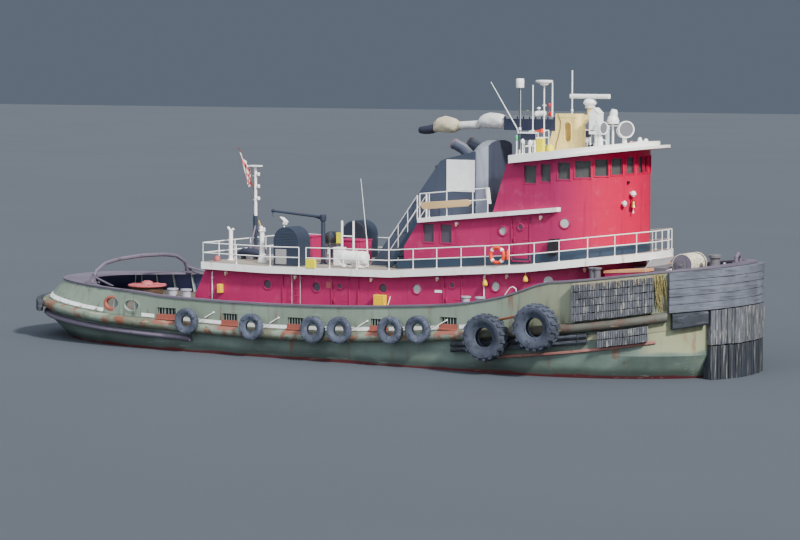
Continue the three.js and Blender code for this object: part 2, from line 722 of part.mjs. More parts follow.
function windowHoles() {
  const sides = SIDE_WINDOWS.map(([x0, x1]) => box(x0, x1, -UPPER_HALF - 200, -UPPER_HALF + 250,
    sillAt(x0), lintelAt(x0) - 60));
  const front = FRONT_WINDOWS.map(([angle, width]) => {
    const x = UPPER_FRONT + UPPER_HALF * Math.sin((angle * Math.PI) / 180);
    const hole = box(-width / 2, width / 2, -UPPER_HALF - 200, -UPPER_HALF + 350, sillAt(x),
      lintelAt(x) - 60);
    return hole.rotate([0, 0, angle]).translate([UPPER_FRONT, 0, 0]);
  });
  return [...sides, ...front].flatMap((hole) => [hole, mirrorY(hole)]);
}

function wheelhouse() {
  const shell = walls({ half: UPPER_HALF, power: 2, ...WHEEL, floor: BRIDGE_DECK, floorLift: GAP,
    ceiling: ROOF, ceilingDrop: ROOF_THICK + GAP });
  return cut(shell, windowHoles());
}

function wheelhouseGlass() {
  const outer = roundedPlan(UPPER_HALF - WALL - GAP, 7000, UPPER_FRONT, 2600 - WALL - GAP);
  const inner = roundedPlan(UPPER_HALF - WALL - 17, 6000, UPPER_FRONT, 2600 - WALL - 17);
  const ring = prism(outer, 6900, 8100).subtract(prism(inner, 6800, 8200));
  const lower = [[5000, sillAt(5000) - 60], [12000, sillAt(12000) - 60]];
  const upper = [[5000, lintelAt(5000) - 20], [12000, lintelAt(12000) - 20]];
  return ring.intersect(above(lower, 0)).intersect(below(upper, 0));
}

function plate(plan, line, thick) {
  return prism(plan, 0, 9500).intersect(above(line, -thick)).intersect(below(line, 0));
}

// Boat deck with the lockers, casings and posts that stand on it
const BOAT_DECK_AFT = -7380;

function onBoatDeck(x, y, halfX, halfY, height) {
  const z = boatDeckAt(x) - 60;
  return box(x - halfX, x + halfX, y - halfY, y + halfY, z, boatDeckAt(x) + height);
}

const LOCKERS = [
  // x, y, half length, half width, height
  [-4350, -1500, 330, 350, 900],
  [-2370, 300, 560, 400, 900],
  [-4950, 1000, 330, 400, 950],
  [-1820, -1650, 160, 180, 700],
];
const POSTS = [
  // x, y, radius, height
  [-6960, -1900, 80, 1250],
  [-5410, -1900, 90, 1280],
  [-2190, -900, 42, 1720],
  [-1640, -900, 42, 1720],
];

function boatDeck() {
  const plan = roundedPlan(BOAT_DECK_HALF, BOAT_DECK_AFT, 7600, 4150, 2.2, 14);
  const deck = plate(plan, BOAT_DECK, BOAT_DECK_THICK);
  const lockers = LOCKERS.map(([x, y, hx, hy, h]) => onBoatDeck(x, y, hx, hy, h));
  const posts = POSTS.map(([x, y, r, h]) => cylinder([x, y, boatDeckAt(x) - 60],
    [x, y, boatDeckAt(x) + h], r, 12));
  return join([deck, ...lockers, ...posts]);
}

// Rails follow a plan line of [x, y] points, with stanchions at each point
function railing(points, baseAt, heights, radius = 26) {
  const stanchions = points.map(([x, y]) => rod([[x, y, baseAt(x)], [x, y, baseAt(x) + heights[0]]],
    radius, 4));
  const rails = heights.map((h) => rod(points.map(([x, y]) => [x, y, baseAt(x) + h]), radius, 4));
  return join([...stanchions, ...rails]);
}

const RAIL_INSET = 60;

function boatDeckRail() {
  const half = BOAT_DECK_HALF - RAIL_INSET;
  const starboard = [];
  for (let x = -7320; x <= 7600; x += 2486) starboard.push([x, -half]);
  for (const degrees of [22, 45, 68, 90]) {
    const t = (degrees * Math.PI) / 180;
    starboard.push([7600 + (4150 - RAIL_INSET) * Math.sin(t) ** (2 / 2.2),
      -half * Math.cos(t) ** (2 / 2.2)]);
  }
  starboard[starboard.length - 1][1] = 0;
  const port = starboard.slice(0, -1).map(([x, y]) => [x, -y]).reverse();
  const aft = [[-7320, half * 0.5], [-7320, 0], [-7320, -half * 0.5]];
  const loop = [...starboard, ...port, ...aft, starboard[0]];
  return railing(loop, boatDeckAt, [800, 400]).intersect(above(BOAT_DECK, GAP));
}

const BRIDGE_EDGE = 2760;

function bridgeRail() {
  const points = [5600, 4900, 4150, 3400, 2620].map((x) => [x, -BRIDGE_EDGE]);
  points.push([2620, -2280]);
  const rails = railing(points, bridgeAt, [950, 520]).intersect(above(BRIDGE_DECK, GAP));
  const board = sidePrism([[2750, 5960], [2900, 5860], [4750, 6020], [4900, 6120], [4900, 6200],
    [4750, 6300], [2900, 6130], [2750, 6040]], -BRIDGE_EDGE - 50, -BRIDGE_EDGE + 10);
  return rails.add(board);
}

function bridgeDeck() {
  const wide = prism([[2540, -2820], [8610, -2820], [8610, 2820], [2540, 2820]], 4000, 8000);
  const round = prism(roundedPlan(UPPER_HALF, 2540, UPPER_FRONT, 2600), 4000, 8000);
  const deck = wide.add(round).intersect(above(BRIDGE_DECK, -BRIDGE_THICK))
    .intersect(below(BRIDGE_DECK, 0));
  return deck.subtract(stackBlock(5));
}

// Stack: raked aft side, crowned top, exhaust elbows that face aft
const STACK_SIDE = [[-600, 3560], [2640, 7760], [2900, 7860], [3500, 7990], [4140, 8150],
  [4260, 8700], [4640, 8700], [4640, 3500], [-600, 3500]];
const STACK_CROWN = [[-1400, 3000], [-1400, 7900], [-1250, 8160], [-1050, 8330], [-700, 8490],
  [-300, 8570], [300, 8570], [700, 8490], [1050, 8330], [1250, 8160], [1400, 7900], [1400, 3000]];

function stackBlock(grow) {
  const plan = [[-900, -STACK_HALF - grow], [4300, -STACK_HALF - grow], [4640 + grow, -STACK_HALF + 340],
    [4640 + grow, STACK_HALF - 340], [4300, STACK_HALF + grow], [-900, STACK_HALF + grow]];
  const side = STACK_SIDE.map(([x, z], i) => [i < 2 ? x - grow * 2 : x + (i > 5 && i < 8 ? 500 : 0), z]);
  return prism(plan, 3000, 9000).intersect(sidePrism(side, -FAR, FAR))
    .intersect(frontPrism(STACK_CROWN, -FAR, FAR));
}

function stack() {
  const block = stackBlock(0).intersect(above(BOAT_DECK, GAP));
  const pipes = [-600, 600].map((y) => rod([[3750, y, 7700], [3560, y, 8000], [3300, y, 8230],
    [2880, y, 8430]], 215, 12));
  return join([block, ...pipes]);
}

// Stairs beside the stack
function stairs() {
  const foot = [700, boatDeckAt(700) + GAP];
  const head = [2200, 5500];
  const strings = [-2150, -1450].map((y) => sidePrism([[foot[0], foot[1]], [foot[0] + 260, foot[1]],
    [head[0] + 90, head[1]], [head[0] - 130, head[1]]], y - 25, y + 25));
  const treads = Array.from({ length: 7 }, (_, i) => {
    const t = (i + 0.7) / 7.6;
    const x = foot[0] + (head[0] - foot[0]) * t + 100;
    const z = foot[1] + (head[1] - foot[1]) * t;
    return box(x - 110, x + 110, -2150, -1450, z - 20, z + 20);
  });
  const hands = [-2150, -1450].map((y) => rod([[foot[0] + 120, y, foot[1] + 60],
    [foot[0] + 120, y, foot[1] + 1150], [head[0] - 60, y, head[1] + 930],
    [head[0] - 60, y, head[1] - 60]], 24));
  return join([...strings, ...treads, ...hands]).intersect(above(BOAT_DECK, GAP));
}

const WHIPS = [
  // x, y, top, radius
  [6760, -2230, 10700, 34],
  [6900, -1480, 10750, 24],
  [7000, -770, 10880, 26],
];

// Roof with a visor round its front, rail, aerials and lamp posts
const ROOF_LENGTH = 2700;
const VISOR = { length: 3200, thick: 110 };
const LAMP_BOARD = { x0: 6700, x1: 7450, low: 8680, top: 8960 };
const GABLE_BOX = { x: 9110, y: -500, half: 200, low: 8890, eaves: 9680, ridge: 9870 };

function gableBox() {
  const { x, y, half, low, eaves, ridge } = GABLE_BOX;
  return sidePrism([[x - half, low], [x + half, low], [x + half, eaves], [x, ridge],
    [x - half, eaves]], y - half, y + half);
}

function wheelhouseRoof() {
  const deck = plate(roundedPlan(2950, 6660, 8500, ROOF_LENGTH, 2, 12), ROOF, ROOF_THICK);
  const under = ROOF.map(([x, z]) => [x, z - ROOF_THICK + VISOR.thick]);
  const visor = plate(roundedPlan(2950, 8400, 8500, VISOR.length, 2, 12), under, VISOR.thick);
  const z = (x) => roofAt(x) - 60;
  const whips = WHIPS.map(([x, y, top, r]) => cylinder([x, y, z(x)], [x, y, top], r, 8));
  const lampPosts = [[9650, -1200, 8750, 110], [10070, 0, 8680, 80], [9590, -500, 9230, 75]]
    .map(([x, y, top, r]) => cylinder([x, y, z(x)], [x, y, top], r, 10));
  const rail = railing([[6760, -1900], [6760, -1100], [6760, 0], [6760, 1100], [6760, 1900]],
    (x) => roofAt(x) - 30, [620, 330]);
  const gablePost = cylinder([GABLE_BOX.x, GABLE_BOX.y, z(GABLE_BOX.x)],
    [GABLE_BOX.x, GABLE_BOX.y, GABLE_BOX.low + 50], 60, 8);
  const [hornX, hornY] = [9150, 800];
  const bulb = join([cylinder([hornX, hornY, z(hornX)], [hornX, hornY, 9320], 45, 8),
    cylinder([hornX, hornY, 9260], [hornX, hornY, 9300], 240, 12),
    cylinder([hornX, hornY, 9280], [hornX, hornY, 9560], 240, 12, 170),
    cylinder([hornX, hornY, 9540], [hornX + 60, hornY, 9800], 150, 12, 110)]);
  const board = box(LAMP_BOARD.x0, LAMP_BOARD.x1, -2240, -2200, LAMP_BOARD.low, LAMP_BOARD.top);
  const boardPosts = [LAMP_BOARD.x0 + 40, LAMP_BOARD.x1 - 40].map((x) => cylinder([x, -2220, z(x)],
    [x, -2220, LAMP_BOARD.low + 30], 30, 6));
  const boards = [board, ...boardPosts];
  return join([deck, visor, ...whips, ...lampPosts, rail, bulb, gablePost, gableBox(), ...boards,
    ...boards.map(mirrorY)]);
}

// Housing of the mast with the radar post
const RADAR = { x: 8580, z: 9900 };
const HOUSING_HALF = 300;
const BOOM_JOIN = 4950;          // aft end of the housing's beam
const BOOM_Z = 9250;
const HOUSING_HOLE = { x0: 7610, x1: 7930, z0: 8540, z1: 9340 };

function mastHousing() {
  const foot = (x) => roofAt(x) + GAP;
  const block = prism(roundedPlan(HOUSING_HALF, 7230, 8060, 280), 8000, 9640)
    .intersect(above(ROOF, GAP));
  const arm = sidePrism([[8000, 9200], [8320, 9240], [8450, 9410], [8760, 9470], [8760, 9590],
    [7900, 9630]], -170, 170);
  const { x0, x1, z0, z1 } = HOUSING_HOLE;
  const round = (x1 - x0) / 2;
  const middle = x0 + round;
  const opening = join([box(x0, x1, -800, 800, z0 + round, z1 - round),
    cylinder([middle, -800, z0 + round], [middle, 800, z0 + round], round, 12),
    cylinder([middle, -800, z1 - round], [middle, 800, z1 - round], round, 12)]);
  const post = cylinder([RADAR.x, 0, 9500], [RADAR.x, 0, RADAR.z], 110, 12);
  const yard = box(7260, 7420, 0, 1000, 9480, 9560);
  const beam = box(BOOM_JOIN, 7300, -HOUSING_HALF, HOUSING_HALF, BOOM_Z - 270, BOOM_Z + 270);
  const knees = [-HOUSING_HALF, HOUSING_HALF - 60].map((y) => sidePrism([[6860, foot(6860)],
    [7250, foot(7250)], [7250, 9000], [7100, 8980]], y, y + 60)).map((knee) => knee
    .intersect(above(ROOF, GAP)));
  const whip = cylinder([7340, 850, 9500], [7340, 850, 11300], 26, 8);
  return join([block.subtract(opening), arm, post, yard, whip, beam, ...knees]);
}

// Boom under its covers, lying aft over the stack from the end of the beam
const BOOM_RINGS = [
  // x, middle z, half width, half height
  [BOOM_JOIN - GAP, 9270, 290, 260],
  [4700, 9290, 330, 310],
  [4150, 9340, 330, 340],
  [3800, 9290, 280, 250],
  [3640, 9170, 180, 180],
  [2760, 9120, 170, 170],
  [2550, 9110, 280, 300],
  [2150, 9160, 320, 350],
  [1800, 9130, 270, 290],
  [1640, 9000, 190, 200],
  [1250, 8920, 170, 180],
  [920, 8910, 130, 140],
];
const BOOM_SIDES = 12;

function coveredBoom() {
  return loft(BOOM_RINGS.map(([x, z, wide, high]) => Array.from({ length: BOOM_SIDES }, (_, k) => {
    const t = (2 * Math.PI * k) / BOOM_SIDES;
    return [x, wide * Math.cos(t), z + high * Math.sin(t)];
  })));
}

function radarScanner() {
  const motor = cylinder([RADAR.x, 0, RADAR.z + RUNNING], [RADAR.x, 0, RADAR.z + 330], 230, 16);
  const bar = box(RADAR.x - 840, RADAR.x + 840, -120, 120, RADAR.z + 320, RADAR.z + 510);
  return motor.add(bar);
}

const SEARCHLIGHTS = [
  // x, y, foot z, direction of the beam in degrees from the bow to starboard, radius, length aft
  [9650, -1200, 8750 + RUNNING, 13, 245, 300],
  [10070, 0, 8680 + RUNNING, 42, 325, 150],
];

function searchlight([x, y, z, degrees, radius, aft]) {
  const foot = cylinder([x, y, z], [x, y, z + 120], 90, 12);
  const turn = (degrees * Math.PI) / 180;
  const along = (reach) => [x + reach * Math.cos(turn), y - reach * Math.sin(turn), z + 390];
  const drum = cylinder(along(-80), along(190), radius, 18);
  const bell = cylinder(along(-aft), along(-70), radius * 0.45, 18, radius);
  return join([foot, drum, bell, box(x - 60, x + 60, y - 60, y + 60, z + 60, z + 200)]);
}

// Aft mast: tripod, pole and crosspiece; the staff carries the flag
const MAST = { x: -7050, top: 7340 };
const STAFF_FLAT = 22.6;         // from the staff's axis to its flats

function aftMast() {
  const z = boatDeckAt(MAST.x) + GAP;
  const pole = cylinder([MAST.x, 0, z], [MAST.x, 0, MAST.top], 75, 10, 55);
  const legs = [-700, 700].map((y) => rod([[MAST.x + 100, y, z], [MAST.x, 0, 4900]], 45));
  const cross = box(MAST.x - 250, MAST.x + 250, -150, 150, MAST.top - 60, MAST.top);
  const staff = rod([[MAST.x, 0, 6150], [-7900, 0, 8070]], 26);
  const knees = box(MAST.x - 180, MAST.x + 180, -330, 330, z, z + 420);
  return join([pole, ...legs, cross, staff, knees]).intersect(above(BOAT_DECK, GAP));
}

function flag() {
  const hoist = [[-7825, 7900], [-7448, 7050]];
  return sidePrism([hoist[0], [-7280, 7150], [-7160, 6450], [-7420, 6480], hoist[1]], -15, 15)
    .translate([0, -STAFF_FLAT - 15 - GAP, 0]);
}

// Davit: fixed post, arm that slews on its head
const DAVIT = { x: -2700, y: -1500, top: 5250, radius: 85 };

function davitPost() {
  const z = boatDeckAt(DAVIT.x) + GAP;
  const foot = cylinder([DAVIT.x, DAVIT.y, z], [DAVIT.x, DAVIT.y, z + 60], 170, 16);
  const post = foot.add(cylinder([DAVIT.x, DAVIT.y, z], [DAVIT.x, DAVIT.y, DAVIT.top], DAVIT.radius, 14));
  return post.intersect(above(BOAT_DECK, GAP));
}

function davitArm() {
  const { x, y, top } = DAVIT;
  const head = cylinder([x, y, top + RUNNING], [x, y, top + 260], 125, 14);
  const arm = rod([[x, y, top + 150], [x - 2470, y, top + 330]], 60, 8);
  const gusset = sidePrism([[x, top + 20], [x, top + 150], [x - 700, top + 190]], y - 15, y + 15);
  return join([head, arm, gusset]);
}

// Ventilator hoods: flat face towards the side, curved top
function hood(y, faceSide) {
  const x = -3530;
  const z = boatDeckAt(x) + GAP;
  const outline = [[x - 600, z - 90], [x + 600, z - 90]];
  for (let i = 0; i <= 10; i += 1) {
    const t = (Math.PI * i) / 10;
    outline.push([x + 600 * Math.cos(t), z + 980 + 570 * Math.sin(t)]);
  }
  const y0 = faceSide < 0 ? y : y - 920;
  return sidePrism(outline, y0, y0 + 920).intersect(above(BOAT_DECK, GAP));
}

function lifeRaft() {
  const [x, y] = [-500, -2600];
  const z = boatDeckAt(x) + GAP;
  const drum = cylinder([x - 600, y, z + 390], [x + 600, y, z + 390], 265, 16);
  const saddles = [-360, 360].map((dx) => box(x + dx - 50, x + dx + 50, y - 270, y + 270, z + 20, z + 280));
  const base = box(x - 440, x + 440, y - 40, y + 40, z - 60, z + 80);
  return join([drum, ...saddles, base]).intersect(above(BOAT_DECK, GAP));
}

function deckWinch() {
  const [x, y] = [-2900, -500];
  const z = boatDeckAt(x) + GAP;
  const stand = box(x - 300, x + 300, y - 300, y + 300, z - 60, z + 750);
  const drum = cylinder([x, y - 330, z + 950], [x, y + 330, z + 950], 330, 18);
  return stand.add(drum).intersect(above(BOAT_DECK, GAP));
}

// Towing arch over the aft deck, standing on the cap
function towingArch() {
  const foot = -13000;
  const y = 3370;
  const z = capAt(foot) + CAP_THICK + 2 * GAP;
  const starboard = [[-y, z], [-3110, 2900], [-2500, 3190], [-1600, 3310]];
  const port = [...starboard].reverse().map(([py, pz]) => [-py, pz]);
  const path = [...starboard, [0, 3360], ...port].map(([py, pz]) => [foot, py, pz]);
  const arch = rod(path, 80, 7);
  const braces = [-1, 1].map((side) => rod([[foot, side * 3240, 2680],
    [foot + 1300, side * (y + 230), z - 60]], 45, 6));
  const pads = [-1, 1].map((side) => box(foot - 230, foot + 230, side * y - 230, side * y + 230, z, z + 60));
  return join([arch, ...pads, ...braces]).intersect(above(capLine, CAP_THICK + 2 * GAP));
}

function hawserReel() {
  const z = deckAt(REEL_X) + 90 + RUNNING;
  const low = cylinder([REEL_X, 0, z], [REEL_X, 0, z + 60], 760, 24);
  const core = cylinder([REEL_X, 0, z], [REEL_X, 0, z + 520], 560, 24);
  const high = cylinder([REEL_X, 0, z + 480], [REEL_X, 0, z + 560], 820, 24);
  const cap = cylinder([REEL_X, 0, z + 540], [REEL_X, 0, z + 720], 260, 16, 120);
  return join([low, core, high, cap]);
}

function bowWinchDrum() {
  const z = WINCH_Z;
  const shaft = cylinder([WINCH_X, -800, z], [WINCH_X, 800, z], WINCH_SHAFT, WINCH_SIDES);
  const barrel = cylinder([WINCH_X, -640, z], [WINCH_X, 640, z], 300, 18);
  const rims = [-640, 600].map((y) => cylinder([WINCH_X, y, z], [WINCH_X, y + 40, z], 420, 22));
  return join([shaft, barrel, ...rims]);
}

function bullnose() {
  const x = HULL_FWD - 300;
  const z = capAt(x) + CAP_THICK + 2 * GAP;
  const staple = rod([[x, -180, z - 40], [x, -180, z + 220], [x, 0, z + 330], [x, 180, z + 220],
    [x, 180, z - 40]], 75, 10);
  const foot = box(x - 110, x + 110, -280, 280, z - 40, z + 40);
  return staple.add(foot).intersect(above(capLine, CAP_THICK + 2 * GAP));
}

// Materials: colour, roughness, metalness
const paint = (color, roughness = 0.6, metalness = 0.1) => new THREE.MeshStandardMaterial({
  color, roughness, metalness });
const GREEN = paint(0x4c5a44, 0.75);
const GREEN_GREY = paint(0x6a7566, 0.7);
const MAROON = paint(0x8a1238, 0.4);
const WHITE = paint(0xe6e6e2, 0.5);
const DECK_TAN = paint(0x9a9082, 0.85);
const STACK_GREY = paint(0x3b454c, 0.6);
const MAUVE = paint(0x6b6470, 0.6);
const RUBBER = paint(0x24272c, 0.9, 0);
const BUFF = paint(0xd9b45c, 0.55);
const RED = paint(0xb8443c, 0.6);
const GLASS = paint(0x18242c, 0.1, 0);
const BRONZE = paint(0x9c7a3c, 0.35, 0.9);
const STEEL = paint(0x8f9396, 0.45, 0.6);
const CLOTH = paint(0xc9505a, 0.9, 0);

const tug = new THREE.Group();

function add(name, solid, material) {
  const mesh = new THREE.Mesh(toGeometry(solid), material);
  mesh.name = name;
  tug.add(mesh);
}

function addPair(name, solid, material) {
  add(`${name}_starboard`, solid, material);
  add(`${name}_port`, mirrorY(solid), material);
}

add('hull', hull(), GREEN);
add('main_deck', mainDeck(), DECK_TAN);
addPair('bulwark', bulwarkLength(QUARTER_JOIN, FAR), GREEN_GREY);
addPair('bulwark_quarter', bulwarkLength(-FAR, QUARTER_JOIN - GAP), GREEN_GREY);
add('cap_rail', capRail(), MAUVE);
add('guard_rail', guardRail(), GREEN_GREY);
add('lower_guard', lowerGuard(), MAUVE);
add('stern_fender', sternFender(), RUBBER);
add('bow_fender_upper', bowFenderUpper(), RUBBER);
add('bow_fender_middle', bowFenderMiddle(), RUBBER);
add('bow_fender_lower', bowFenderLower(), RUBBER);
addPair('side_pad', sidePad(), RUBBER);
addPair('side_blocks', sideBlocks(), RUBBER);
addPair('large_tyres', largeTyres(), RUBBER);
add('deckhouse', deckhouse(), MAROON);
add('boat_deck', boatDeck(), WHITE);
add('upper_house', upperHouse(), MAROON);
add('bridge_deck', bridgeDeck(), WHITE);
add('wheelhouse', wheelhouse(), MAROON);
add('wheelhouse_glass', wheelhouseGlass(), GLASS);
add('wheelhouse_roof', wheelhouseRoof(), WHITE);
add('stack', stack(), STACK_GREY);
add('mast_housing', mastHousing(), BUFF);
add('covered_boom', coveredBoom(), WHITE);
add('radar_scanner', radarScanner(), WHITE);
SEARCHLIGHTS.forEach((row, i) => add(`searchlight_${i + 1}`, searchlight(row), STEEL));
add('aft_mast', aftMast(), WHITE);
add('flag', flag(), CLOTH);
add('davit_post', davitPost(), STACK_GREY);
add('davit_arm', davitArm(), STACK_GREY);
add('vent_hood_starboard', hood(-2950, -1), STACK_GREY);
add('vent_hood_port', hood(2950, 1), STACK_GREY);
add('life_raft', lifeRaft(), WHITE);
add('deck_winch', deckWinch(), STACK_GREY);
add('boat_deck_rail', boatDeckRail(), WHITE);
addPair('bridge_rail', bridgeRail(), WHITE);
add('stairs', stairs(), WHITE);
add('towing_arch', towingArch(), MAUVE);
add('hawser_reel', hawserReel(), RED);
add('bow_winch_drum', bowWinchDrum(), STEEL);
add('bullnose', bullnose(), WHITE);
DOORS.forEach((row) => addPair(row[0], doorLeaf(row), MAROON));
add('propeller_starboard', propeller(-1), BRONZE);
add('propeller_port', propeller(1), BRONZE);
add('rudder_starboard', rudder(-1), RED);
add('rudder_port', rudder(1), RED);

export default tug;
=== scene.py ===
# Harbour tugboat, dressed for the picture. Metres, +X is the bow, +Y is port, +Z is up.
# The waterline is at z = 0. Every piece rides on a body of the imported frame.
import math
import random

import bmesh
import bpy
from mathutils import Matrix, Vector
from mathutils.bvhtree import BVHTree


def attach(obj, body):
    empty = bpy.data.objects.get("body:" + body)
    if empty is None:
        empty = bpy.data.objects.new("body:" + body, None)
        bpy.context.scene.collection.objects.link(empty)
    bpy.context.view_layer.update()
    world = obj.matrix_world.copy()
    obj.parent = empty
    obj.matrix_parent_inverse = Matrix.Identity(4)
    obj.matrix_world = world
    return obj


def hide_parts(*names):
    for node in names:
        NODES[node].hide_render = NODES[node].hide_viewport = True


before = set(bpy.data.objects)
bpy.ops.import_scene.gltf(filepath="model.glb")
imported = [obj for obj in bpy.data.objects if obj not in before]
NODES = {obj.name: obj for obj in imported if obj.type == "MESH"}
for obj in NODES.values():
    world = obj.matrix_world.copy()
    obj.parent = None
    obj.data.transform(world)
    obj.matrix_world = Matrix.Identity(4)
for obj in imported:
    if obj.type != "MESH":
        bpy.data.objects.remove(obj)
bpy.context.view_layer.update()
STARBOARD = -1
SIDES = {"starboard": -1, "port": 1}
SEED = 11
HAIR = 0.006                     # how far thin plates stand off what carries them

# Camera
CAMERA_AZIMUTH = 32.0
CAMERA_PITCH = 4.53
CAMERA_PLACE = (58.29, -93.29, 12.0)
CAMERA_LENS = 123.75
SENSOR_WIDTH = 36.0


def make_camera():
    data = bpy.data.cameras.new("camera")
    data.sensor_width = SENSOR_WIDTH
    data.lens = CAMERA_LENS
    data.clip_end = 1000
    camera = bpy.data.objects.new("camera", data)
    camera.location = CAMERA_PLACE
    camera.rotation_euler = (math.radians(90 - CAMERA_PITCH), 0, math.radians(CAMERA_AZIMUTH))
    bpy.context.scene.collection.objects.link(camera)
    bpy.context.scene.camera = camera


# Lights and floor
LAMPS = [
    # name, strength, softness in degrees, tilt from straight down, turn from the stern to starboard, colour
    ("sun", 5.9, 6.0, 52, 68, (1.0, 0.97, 0.93)),
    ("fill", 2.6, 90.0, 68, 15, (0.84, 0.90, 1.0)),
    ("overhead", 1.7, 120.0, 8, 0, (0.86, 0.92, 1.0)),
]
SKY_STRENGTH = 0.28
SKY_COLOUR = (0.42, 0.52, 0.68)


def make_light():
    for name, strength, softness, tilt, turn, colour in LAMPS:
        data = bpy.data.lights.new(name, "SUN")
        data.energy = strength
        data.angle = math.radians(softness)
        data.color = colour
        lamp = bpy.data.objects.new(name, data)
        lamp.rotation_euler = (math.radians(tilt), 0, math.radians(turn))
        bpy.context.scene.collection.objects.link(lamp)
    world = bpy.data.worlds.new("sky")
    world.use_nodes = True
    background = world.node_tree.nodes["Background"]
    background.inputs["Color"].default_value = (*SKY_COLOUR, 1)
    background.inputs["Strength"].default_value = SKY_STRENGTH
    bpy.context.scene.world = world


def srgb(red, green, blue):
    """A colour of 0 to 255 steps as the linear colour that a shader takes."""
    linear = []
    for step in (red, green, blue):
        value = step / 255
        linear.append(value / 12.92 if value <= 0.04045 else ((value + 0.055) / 1.055) ** 2.4)
    return tuple(linear)


def scaled(colour, factor):
    return tuple(min(1.0, channel * factor) for channel in colour)


# Colours
HULL_GREEN = srgb(96, 112, 102)
HULL_LIGHT = srgb(140, 144, 112)
GREEN_GREY = srgb(124, 138, 122)
GUARD_GREEN = srgb(98, 102, 84)
BOOT_RED = srgb(84, 34, 38)
BOTTOM_RED = srgb(112, 46, 38)
MAROON = srgb(166, 38, 88)
# Painted sunlight: a brighter, redder maroon for the sunlit round front of the upper house.
MAROON_PAINTED_SUNLIT = srgb(198, 0, 64)
WHITE = srgb(248, 246, 242)
DECK_TAN = srgb(156, 146, 132)
STACK_BLUE = srgb(60, 68, 84)
# Painted highlight on the stack's rounded forward corner.
STACK_PAINTED_HIGHLIGHT = srgb(136, 142, 156)
MAUVE = srgb(100, 92, 106)
BUFF = srgb(240, 214, 134)
RED = srgb(172, 84, 88)
RUST = srgb(122, 62, 38)
SALMON = srgb(146, 80, 66)
DIRT = srgb(58, 52, 46)
YELLOW = srgb(238, 190, 0)
ORANGE = srgb(232, 74, 34)
NAVY = srgb(34, 38, 56)
BULWARK_INSIDE = srgb(60, 66, 108)
TAN = srgb(206, 184, 140)
OLIVE = srgb(132, 132, 104)
RUBBER_GREY = srgb(118, 122, 132)
RUBBER_DARK = srgb(46, 50, 58)
TYRE_BLUE = srgb(72, 79, 94)
ROPE_TAN = srgb(176, 158, 124)
ROPE_BROWN = srgb(88, 66, 52)
BRONZE = srgb(176, 136, 74)
STEEL = srgb(160, 164, 168)
TARP = srgb(52, 58, 66)
GLASS_DARK = srgb(88, 90, 88)
# Dark brown: partly bare steel, partly painted shade behind the large tyres.
BROWN_STEEL_AND_SHADE = srgb(72, 66, 60)
SALT_PALE = srgb(170, 160, 128)
CHALK = srgb(186, 92, 118)
FITTING_STEEL = (srgb(138, 138, 146), srgb(176, 176, 184), srgb(96, 92, 98))
# Painted light on the stack's upward faces.
CROWN_PAINTED_TOPLIGHT = srgb(124, 126, 132)


